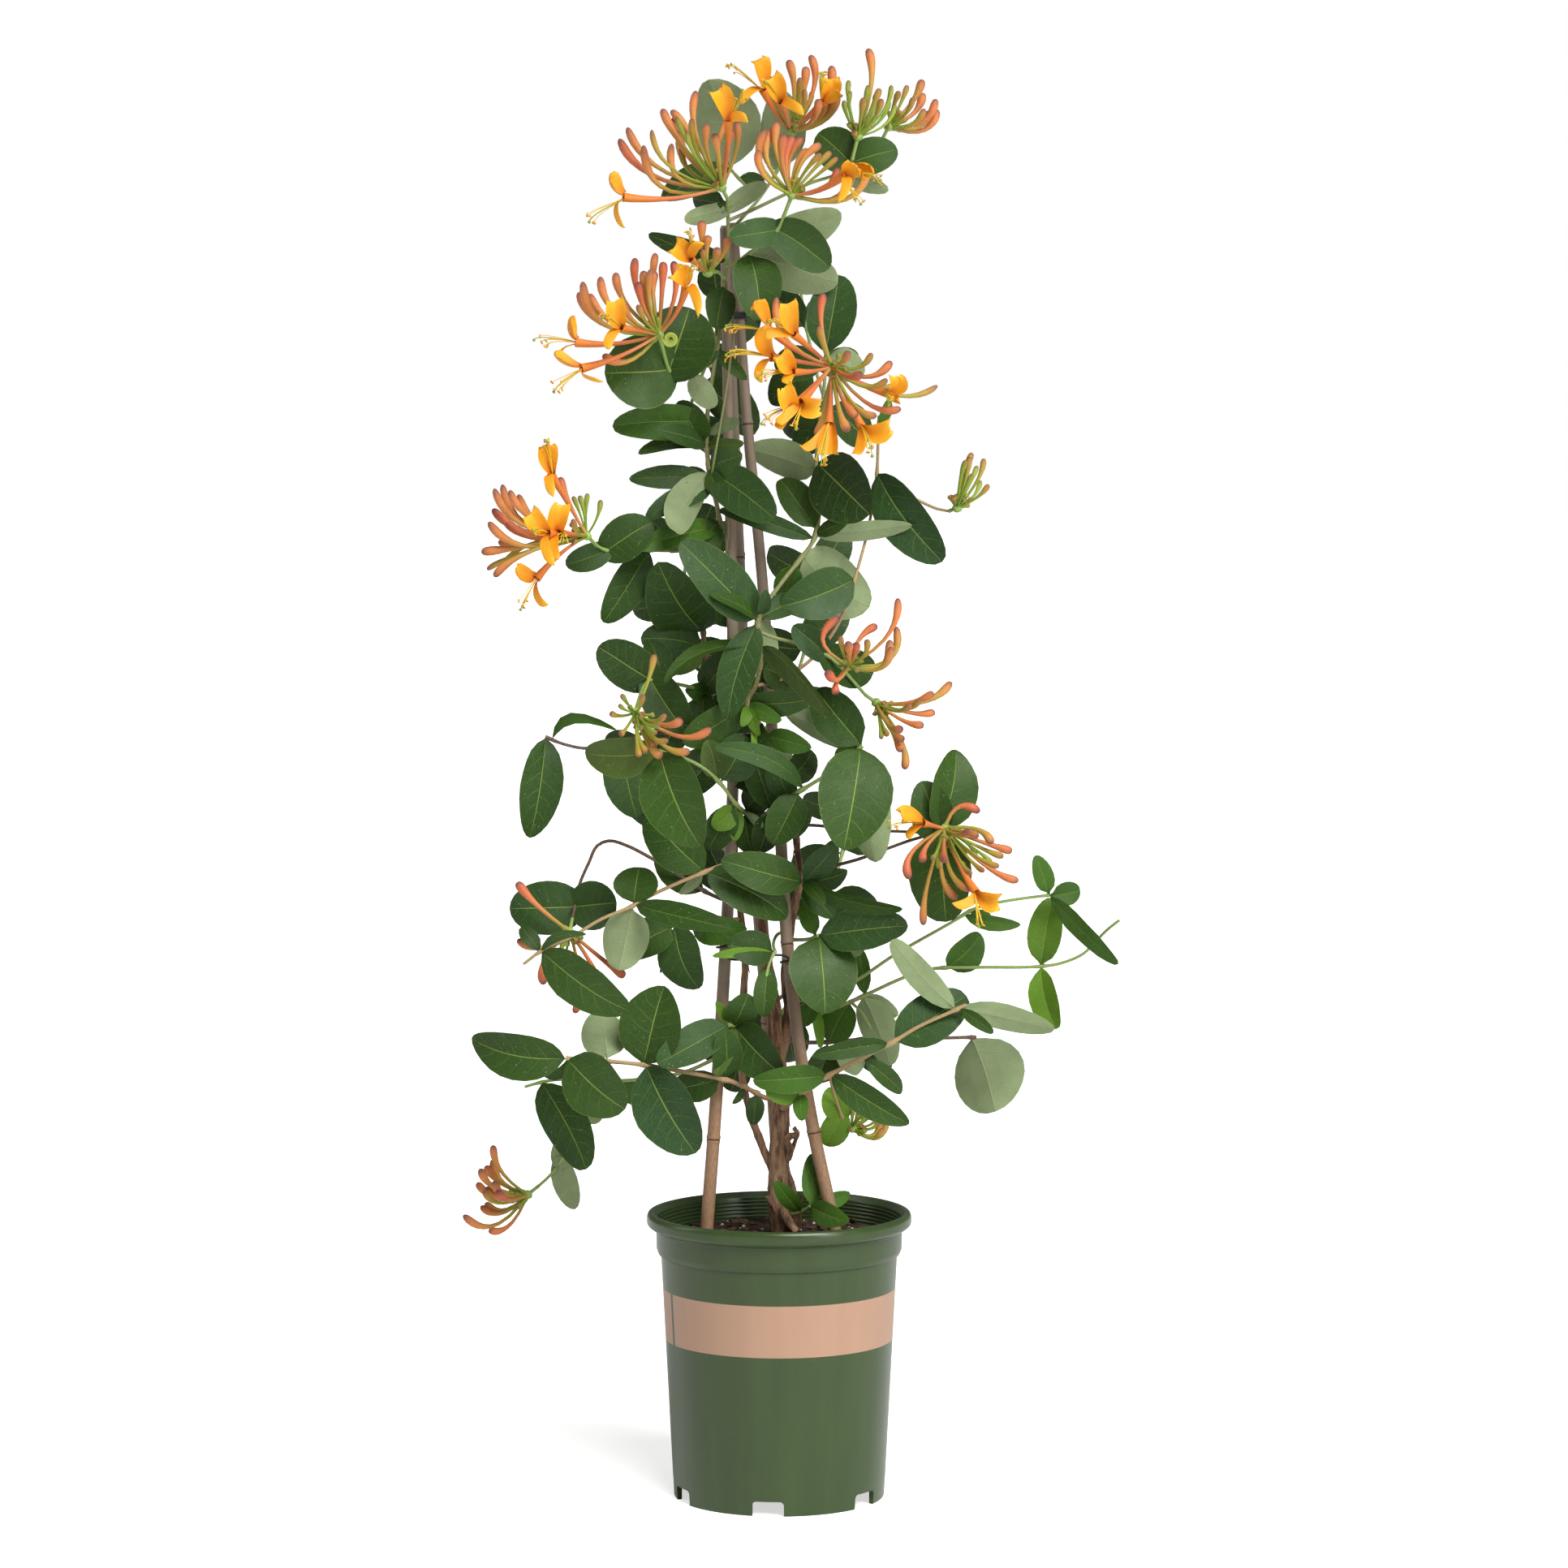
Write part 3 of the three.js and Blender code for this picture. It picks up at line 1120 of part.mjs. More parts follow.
growHead('head_top_right', {
  from: 'spray_top_right',
  stalk: [[1050, 197, -19]],
  hub: [1057, 168, -20],
  buds: [
    [1046, 99, -24, -0.03, 'green'], [1048, 112, -38, -0.05, 'green'], [1040, 124, -12, -0.06, 'green'],
    [1069, 60, -18, 0.04, 'orange'], [1070, 105, -34, 0, 'green'], [1064, 121, -46, 0, 'lime'],
    [1078, 116, -6, 0.05, 'green'], [1086, 122, -36, 0.05, 'lime'], [1098, 105, -20, 0.08, 'green'],
    [1084, 109, -26, 0.03, 'lime'], [1103, 128, -12, 0.1, 'green'],
  ],
});

growHead('head_top_far_right', {
  from: 'spray_top_right',
  stalk: [[1088, 170, 6]],
  hub: [1095, 156, 8],
  buds: [
    [1118, 105, 4, 0.04, 'lime'], [1136, 98, 12, 0.06, 'rose'], [1108, 113, -8, 0, 'lime'],
    [1125, 120, -10, 0.06, 'lime'], [1137, 115, 24, 0.08, 'orange'], [1139, 134, -2, 0.1, 'lime'],
    [1153, 122, 8, 0.12, 'orange'], [1155, 135, 18, 0.18, 'orange'],
  ],
});

growHead('head_upper_left', {
  from: 'spray_upper_left',
  stalk: [[822, 450, -41]],
  hub: [812, 412, -58],
  buds: [
    [718, 347, -62, -0.12, 'orange'], [713, 360, -50, -0.08, 'orange'], [740, 341, -74, -0.12, 'orange'],
    [759, 336, -46, -0.1, 'orange'], [783, 318, -64, -0.08, 'rose'], [803, 332, -80, -0.05, 'orange'],
    [808, 312, -54, -0.03, 'orange'], [829, 322, -60, 0.08, 'rose'], [786, 376, -90, 0, 'lime'],
    [743, 437, -66, -0.14, 'orange'], [765, 370, -88, -0.08, 'orange'],
  ],
  open: [
    { mouth: [845, 354, -74], bend: 0.08, lips: [[860, 390, -84], [836, 336, -80]] },
    { mouth: [712, 416, -64], bend: -0.08, lips: [[690, 400, -68], [700, 434, -72]] },
    { mouth: [730, 452, -84], bend: -0.05, lips: [[734, 482, -88], [704, 450, -90]] },
  ],
});

growHead('head_upper_middle', {
  from: 'climber_left',
  stalk: [[893, 343, -18], [884, 335, -28]],
  hub: [872, 336, -34],
  buds: [
    [865, 272, -36, 0, 'orange'], [896, 292, -42, 0.05, 'rose'], [884, 306, -54, 0, 'orange'],
    [866, 308, -54, 0, 'lime'],
  ],
  open: [
    { mouth: [850, 318, -52], lips: [[830, 304, -56], [866, 300, -60]] },
  ],
});

growHead('head_right_high', {
  from: 'climber_right',
  stalk: [[1020, 480, -34], [1024, 464, -46]],
  hub: [1025, 452, -56],
  buds: [
    [957, 366, -52, -0.12, 'orange'], [1015, 361, -50, -0.05, 'rose'], [1009, 402, -84, 0, 'lime'],
    [1045, 434, -94, 0, 'orange'], [1074, 435, -66, 0.1, 'lime'], [1098, 445, -54, 0.12, 'orange'],
    [1060, 460, -94, 0, 'rose'], [1093, 467, -76, 0.08, 'lime'], [1110, 503, -56, 0.1, 'orange'],
    [1080, 512, -82, 0.08, 'orange'], [1045, 530, -84, 0, 'orange'], [1005, 537, -60, -0.05, 'orange'],
    [1155, 475, -40, 0.06, 'lime'],
  ],
  open: [
    { mouth: [952, 386, -70], bend: -0.06, lips: [[930, 372, -74], [938, 414, -78]] },
    { mouth: [985, 402, -90], lips: [[970, 376, -96], [962, 424, -98]] },
    { mouth: [970, 452, -76], lips: [[945, 448, -80], [964, 490, -84]] },
    { mouth: [1030, 524, -66], lips: [[1022, 552, -70], [1052, 546, -74]] },
    { mouth: [1090, 480, -60], bend: 0.05, lips: [[1114, 472, -62], [1100, 504, -68]] },
  ],
});

growHead('head_left_high', {
  from: 'spray_left_high',
  stalk: [[735, 672, -44]],
  hub: [723, 660, -56],
  buds: [
    [609, 602, -64, -0.1, 'orange'], [619, 597, -48, -0.12, 'orange'], [628, 604, -78, -0.1, 'orange'],
    [607, 627, -52, -0.06, 'rose'], [602, 643, -68, -0.05, 'orange'], [614, 667, -44, 0, 'orange'],
    [593, 680, -60, 0.05, 'orange'], [600, 702, -50, 0.1, 'lime'], [609, 711, -70, 0.12, 'orange'],
    [690, 588, -48, -0.05, 'rose'], [706, 612, -70, 0, 'green'], [724, 608, -54, 0, 'green'],
    [740, 616, -64, 0.05, 'green'], [706, 640, -98, 0, 'lime'],
  ],
  open: [
    { mouth: [682, 594, -82], lips: [[676, 562, -86], [686, 616, -92]] },
    { mouth: [694, 668, -98], lips: [[672, 660, -104], [688, 698, -102]] },
    { mouth: [664, 702, -74], bend: 0.05, lips: [[644, 710, -78], [676, 744, -82]] },
  ],
});

growHead('head_right_tip', {
  from: 'climber_far_right',
  stalk: [[1169, 630, -12]],
  hub: [1179, 626, -14],
  buds: [
    [1198, 558, -16, 0, 'lime'], [1190, 567, -30, 0, 'green'], [1204, 574, 2, 0.03, 'green'],
    [1212, 565, -18, 0.05, 'lime'], [1198, 584, -38, 0, 'green'], [1208, 592, 10, 0.05, 'green'],
    [1218, 597, -24, 0.06, 'lime'],
  ],
});

growHead('head_right_middle', {
  from: 'spray_centre_right',
  stalk: [[1034, 820, -62]],
  hub: [1046, 820, -74],
  buds: [
    [1034, 760, -78, -0.28, 'rose'], [1036, 784, -98, -0.05, 'lime'], [1045, 792, -104, 0, 'orange'],
    [1055, 793, -92, 0.05, 'rose'], [1068, 788, -90, 0.1, 'lime'], [1106, 737, -74, 0.08, 'orange'],
    [1081, 771, -66, -0.15, 'rose'], [1104, 772, -64, 0.26, 'orange'], [1098, 797, -92, 0.18, 'orange'],
    [1019, 826, -96, -0.25, 'rose'], [1031, 855, -88, 0.1, 'rose'],
  ],
});

growHead('head_right_lower', {
  from: 'spray_centre_right',
  stalk: [[1066, 856, -48]],
  hub: [1080, 866, -46],
  buds: [
    [1172, 840, -40, 0.05, 'orange'], [1150, 853, -62, 0.03, 'orange'], [1122, 868, -84, 0, 'lime'],
    [1152, 877, -36, 0, 'orange'], [1138, 893, -60, 0, 'orange'], [1111, 897, -80, 0.05, 'rose'],
    [1114, 911, -62, 0.05, 'rose'], [1086, 910, -66, 0, 'green'], [1094, 906, -30, 0, 'lime'],
    [1114, 948, -46, -0.06, 'orange'],
  ],
});

growHead('head_left_middle', {
  from: 'spray_left_upper',
  stalk: [[792, 847, -54], [787, 862, -64]],
  hub: [783, 878, -72],
  buds: [
    [806, 806, -68, 0.05, 'lime'], [792, 856, -104, 0, 'lime'], [752, 878, -84, 0, 'lime'],
    [820, 880, -92, 0.1, 'lime'], [876, 897, -80, 0.08, 'orange'], [812, 892, -102, 0.05, 'green'],
    [790, 895, -106, 0, 'green'], [850, 925, -84, 0.12, 'orange'], [823, 912, -92, 0.08, 'lime'],
    [816, 932, -84, 0.08, 'orange'], [788, 933, -88, 0, 'lime'], [766, 856, -92, 0, 'green'],
    [764, 905, -88, 0, 'lime'],
  ],
});

growHead('head_right_big', {
  from: 'spray_right',
  stalk: [[1159, 1023, -44]],
  hub: [1164, 1021, -58],
  buds: [
    [1207, 1001, -60, -0.32, 'rose'], [1222, 1040, -68, -0.2, 'orange'], [1247, 1049, -54, -0.06, 'orange'],
    [1255, 1085, -64, 0, 'orange'], [1231, 1067, -78, 0, 'lime'], [1212, 1073, -92, 0, 'lime'],
    [1203, 1056, -52, -0.1, 'green'], [1196, 1076, -104, 0, 'lime'], [1190, 1066, -74, 0.05, 'green'],
    [1198, 1096, -84, 0.12, 'orange'], [1180, 1107, -74, 0.1, 'rose'], [1163, 1059, -100, 0, 'rose'],
    [1158, 1070, -82, 0.1, 'green'], [1148, 1057, -92, 0, 'green'], [1121, 1083, -78, 0.2, 'rose'],
    [1138, 1140, -68, 0.06, 'rose'], [1193, 1024, -98, 0, 'rose'],
  ],
  open: [
    { mouth: [1140, 1012, -76], lips: [[1112, 1006, -88], [1090, 1010, -72]] },
    { mouth: [1200, 1106, -96], bend: 0.04, lips: [[1230, 1112, -102], [1168, 1112, -98]] },
  ],
});

growHead('head_left_low', {
  from: 'spray_left_low',
  stalk: [[705, 1132, -33]],
  hub: [702, 1148, -42],
  buds: [
    [637, 1087, -42, -0.03, 'rose'], [638, 1157, -46, -0.12, 'orange'], [671, 1213, -40, 0.12, 'rose'],
    [707, 1248, -38, -0.05, 'rose'], [770, 1203, -32, 0, 'rose'], [690, 1196, -30, 0, 'lime'],
  ],
});

growHead('head_bottom_left', {
  from: 'spray_bottom_left_back',
  stalk: [[664, 1461, 71]],
  hub: [650, 1472, 71],
  buds: [
    [608, 1411, 66, -0.1, 'orange'], [599, 1436, 78, -0.1, 'orange'], [592, 1440, 60, -0.1, 'orange'],
    [588, 1457, 76, -0.1, 'orange'], [596, 1467, 56, -0.12, 'lime'], [613, 1467, 44, -0.1, 'rose'],
    [598, 1482, 88, -0.1, 'orange'], [571, 1497, 71, -0.18, 'orange'], [602, 1516, 62, -0.14, 'orange'],
  ],
});

growHead('head_bottom_right', {
  from: 'spray_bottom_right',
  stalk: [[1041, 1385, -22]],
  hub: [1050, 1390, -18],
  buds: [
    [1052, 1366, -30, 0, 'green'], [1070, 1370, -36, -0.1, 'green'], [1085, 1365, -22, 0.1, 'lime'],
    [1093, 1377, -12, 0.28, 'orange'], [1088, 1390, -30, 0.2, 'orange'], [1062, 1346, -10, 0.1, 'orange'],
    [1052, 1346, 2, 0, 'lime'], [1076, 1353, -2, 0.1, 'lime'],
  ],
});

// ---------------------------------------------------------------- the finished group

const plant = new THREE.Group();

/** Adds one named mesh to the group. */
function addMesh(name, solid, finish) {
  const mesh = new THREE.Mesh(geometryOf(solid), new THREE.MeshStandardMaterial(finish));
  mesh.name = name;
  plant.add(mesh);
}

addMesh('pot', pot(), COLOUR.pot);
const caneHoles = Object.values(CANES).map((route) => cane(route, 1.4 * GAP));
addMesh('soil', soil([...caneHoles, grown.get('trunk').hole]), COLOUR.soil);
Object.entries(CANES).forEach(([name, route]) => addMesh(name, cane(route), COLOUR.bamboo));
addMesh('tie_lower', lowerTie(CANES.cane_left, CANES.cane_right), COLOUR.wire);
addMesh('tie_top', topTie(Object.values(CANES)), COLOUR.wire);
grown.forEach(({ solid, colour }, name) => addMesh(name, solid, colour));

export default plant;
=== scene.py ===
"""Honeysuckle vine in a nursery pot, dressed for show.

Every piece stands in for the solid of its own name and keeps to that solid's form. The free forms of the
plant are laid out on a front elevation, as a gardener's sketch would have them: a spot is (across, down,
depth), where across and down are squares of the elevation sheet and depth is the distance in millimetres
behind the pot's middle. Sizes are given in millimetres and meshes are in metres, with +Z up.
"""
import logging
import math
import random
from collections.abc import Callable, Sequence
from dataclasses import dataclass, field, replace
from enum import Enum

import bmesh
import bpy
from mathutils import Color, Matrix, Quaternion, Vector, noise
from mathutils.geometry import interpolate_bezier, intersect_point_line


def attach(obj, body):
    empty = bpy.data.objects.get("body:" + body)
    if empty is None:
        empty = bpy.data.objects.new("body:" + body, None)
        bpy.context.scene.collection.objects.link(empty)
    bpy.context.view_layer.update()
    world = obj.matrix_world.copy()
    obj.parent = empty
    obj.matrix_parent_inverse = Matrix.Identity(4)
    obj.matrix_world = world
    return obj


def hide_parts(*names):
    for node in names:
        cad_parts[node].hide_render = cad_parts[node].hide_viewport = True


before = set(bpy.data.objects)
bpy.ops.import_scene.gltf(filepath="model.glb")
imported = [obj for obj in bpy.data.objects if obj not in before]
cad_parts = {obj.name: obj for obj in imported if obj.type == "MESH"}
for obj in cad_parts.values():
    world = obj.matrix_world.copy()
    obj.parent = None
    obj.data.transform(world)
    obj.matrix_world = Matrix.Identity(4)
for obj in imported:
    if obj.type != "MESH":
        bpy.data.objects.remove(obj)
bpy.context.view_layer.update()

LOG = logging.getLogger("honeysuckle")
MM = 0.001
FACING = Vector((0.0, 1.0, 0.0))
UP = Vector((0.0, 0.0, 1.0))

Spot = tuple[float, float, float]
Route = tuple[Spot, ...]
Colour = tuple[float, float, float, float]
Line = list[Vector]
Place = tuple[Vector, tuple[float, float], Colour]
WHITE: Colour = (1.0, 1.0, 1.0, 1.0)
Socket = bpy.types.NodeSocket
Feed = Socket | float | Sequence[float]
Finish = bpy.types.Material
Piece = bpy.types.Object


def paint(code: str) -> Colour:
    """Scene-linear colour of a six-figure colour code."""
    levels = Color([int(code[k:k + 2], 16) / 255 for k in (0, 2, 4)]).from_srgb_to_scene_linear()
    return (levels.r, levels.g, levels.b, 1.0)


def blend(first: Colour, second: Colour, share: float) -> Colour:
    """Colour part of the way from one to another."""
    share = min(1.0, max(0.0, share))
    return tuple(a + (b - a) * share for a, b in zip(first, second))


def graded(stops: Sequence[tuple[float, Colour]], at: float) -> Colour:
    """Colour at a place on a row of stops.

    Args:
        stops: Places from 0 to 1, each with its colour.
        at: Place that is asked for.

    Returns:
        The colour there.
    """
    for (low, first), (high, second) in zip(stops, stops[1:]):
        if at <= high:
            return blend(first, second, (at - low) / (high - low))
    return stops[-1][1]


# ---------------------------------------------------------------- the layout's records


class Stage(Enum):
    """How far a flower bud has come, by the colour that its body has."""

    GREEN = "green"
    LIME = "lime"
    ORANGE = "orange"
    ROSE = "rose"


class Tone(Enum):
    """Colour of a leaf's upper face, with its plain colour code. The darkest tone is painted shade: a darker
    face for leaves that sit in shade deep inside the plant or behind it.
    """

    DEEP = "264410"
    # Painted shade: the upper face of a leaf that sits in shade inside or behind the plant.
    PAINTED_SHADE = "1e370f"
    BLUISH = "2c4a25"
    BRIGHT = "3d6616"
    OLIVE = "4d6124"
    FRESH = "5e861d"
    LIME = "7aa62a"


class Wood(Enum):
    """Colour of a stem from its foot to its tip."""

    TAN = ("a07c5c", "a08a5e")
    GREEN = ("86905a", "7d9c4e")
    PLUM = ("4a3430", "5a3f3a")
    OLIVE = ("6f5f3c", "75864a")


@dataclass(frozen=True)
class Sheet:
    """Front elevation on which the plant is laid out, seen from a fixed eye point.

    Attributes:
        across: Millimetres from the pot's middle to the eye, to the right.
        back: Millimetres from the pot's middle to the eye, towards the front.
        height: Height of the eye in millimetres.
        pitch: Downward tilt of the view in radians.
        focal: Squares of the sheet in one unit of slope.
        middle: Square in the middle of the sheet, both ways.
    """

    across: float = 3.09
    back: float = 3100.0
    height: float = 690.6
    pitch: float = 0.0762
    focal: float = 6071.8
    middle: float = 966.0

    def place(self, spot: Spot) -> Vector:
        """Point in metres for a spot on the sheet.

        Args:
            spot: Spot on the sheet, with its depth.

        Returns:
            The point.
        """
        rightward = (spot[0] - self.middle) / self.focal
        upward = (self.middle - spot[1]) / self.focal
        ahead = math.cos(self.pitch) + upward * math.sin(self.pitch)
        rise = upward * math.cos(self.pitch) - math.sin(self.pitch)
        reach = (spot[2] + self.back) / ahead
        return Vector((self.across + rightward * reach, spot[2], self.height + rise * reach)) * MM

    def square(self, depth: float) -> float:
        """Metres in one square of the sheet at a depth in millimetres."""
        return (depth + self.back) / self.focal * MM

    def line(self, route: Sequence[Spot]) -> Line:
        """Points in metres for a route on the sheet."""
        return [self.place(spot) for spot in route]


SHEET = Sheet()


@dataclass(frozen=True)
class Stem:
    """Stem along a route of spots, from one radius to another in millimetres.

    Attributes:
        thick: Radii at the foot and at the tip.
        route: Spots that it passes through.
        side: Whether it springs from the piece's own stems and not from the piece that carries it.
    """

    thick: tuple[float, float]
    route: Route
    side: bool = False


@dataclass(frozen=True)
class Leaf:
    """Leaf from its base to its tip.

    Attributes:
        base: Spot of its base, on the nearest stem.
        tip: Spot of its tip.
        wide: Width in squares, as seen on the sheet.
        roll: Turn about its length in degrees; at 180 its pale underside is seen.
        bow: Sideways bow, as a share of its length.
        joined: Whether it is wide at its base, where it grows together with its opposite.
        tone: Colour of its own, where it differs from its spray's.
    """

    base: Spot
    tip: Spot
    wide: float
    roll: float = 0.0
    bow: float = 0.0
    joined: bool = False
    tone: Tone | None = None


def fan(base: Spot, *tips: tuple[Spot, float], **manner: object) -> tuple[Leaf, ...]:
    """Leaves of one manner that spring from one spot, each given by its tip and its width."""
    return tuple(Leaf(base, tip, wide, **manner) for tip, wide in tips)


@dataclass(frozen=True)
class Spray:
    """Leafy stem: its name, the piece that carries it, its stems and its leaves."""

    name: str
    carrier: str
    stems: tuple[Stem, ...]
    leaves: tuple[Leaf, ...]
    wood: Wood = Wood.GREEN
    tone: Tone = Tone.DEEP


@dataclass(frozen=True)
class Bloom:
    """Open flower, laid out by the spots of its parts.

    Attributes:
        mouth: Mouth of its tube.
        upper: Tip of its upper lip.
        lower: Tip of its lower lip.
        anthers: Where its anthers gather.
        bend: Bow of its tube to the right, as a share of its length.
        turn: Turn of its lips in degrees, from facing the front towards edge on.
    """

    mouth: Spot
    upper: Spot
    lower: Spot
    anthers: Spot
    bend: float = 0.0
    turn: float = 18.0


@dataclass(frozen=True)
class Head:
    """Flower head: its name, the piece that carries it and the spots of its parts.

    Attributes:
        stalk: Spots that its stalk passes through.
        hub: Spot where its buds and flowers meet.
        buds: Its buds by stage, each (across, down, depth, bend): the spot of the bud's tip and its bow to
            the right, as a share of its length.
        blooms: Its open flowers.
        coil: Middle of a bud that has rolled itself up, if there is one.
    """

    name: str
    carrier: str
    stalk: Route
    hub: Spot
    buds: dict[Stage, tuple[tuple[float, float, float, float], ...]]
    blooms: tuple[Bloom, ...] = ()
    coil: Spot | None = None


# ---------------------------------------------------------------- the layout

CANE_ROUTES: dict[str, Route] = {
    "cane_left": (
        (871, 1510, -32), (879, 1404, -29.6), (893, 1185, -24), (902, 1000, -20), (904, 900, -18),
        (901, 700, -13), (897, 500, -8), (893, 281, -4),
    ),
    "cane_right": (
        (1022, 1485, -35), (1003, 1396, -32), (985, 1290, -28), (970, 1163, -24), (961, 1020, -20),
        (952, 910, -17), (940, 724, -11), (921, 523, -5), (903, 275, 3),
    ),
    "cane_back": (
        (963, 1500, 50), (946, 1260, 42), (925, 1000, 34), (911, 686, 24), (894, 278, 11),
    ),
}

WOODY_STEMS: tuple[Stem, ...] = (
    Stem((8.6, 5.2), (
        (970, 1530, -2), (968, 1500, -3), (963, 1465, -3), (960, 1430, -2), (962, 1390, 0), (960, 1340, 2),
        (957, 1290, 4),
    )),
    Stem((2.5, 1.8), (
        (958, 1456, -2), (940, 1415, 2), (920, 1355, 5), (911, 1290, 8), (918, 1190, 10), (912, 1120, 10),
        (905, 1060, 8), (907, 1000, 8), (884, 860, 6), (868, 800, 2),
    )),
    Stem((5.0, 2.4), (
        (957, 1296, 4), (952, 1230, 6), (944, 1185, 7), (934, 1090, 8), (926, 1040, 7), (929, 1000, 6),
        (915, 920, 5), (902, 893, 5),
    )),
    Stem((3.8, 2.0), (
        (959, 1310, 3), (972, 1255, 6), (968, 1200, 8), (974, 1140, 8), (985, 1085, 4), (981, 1035, -3),
        (976, 1000, -14),
    )),
    Stem((2.0, 1.1), ((971, 1428, -3), (979, 1408, -6), (984, 1395, -8))),
)
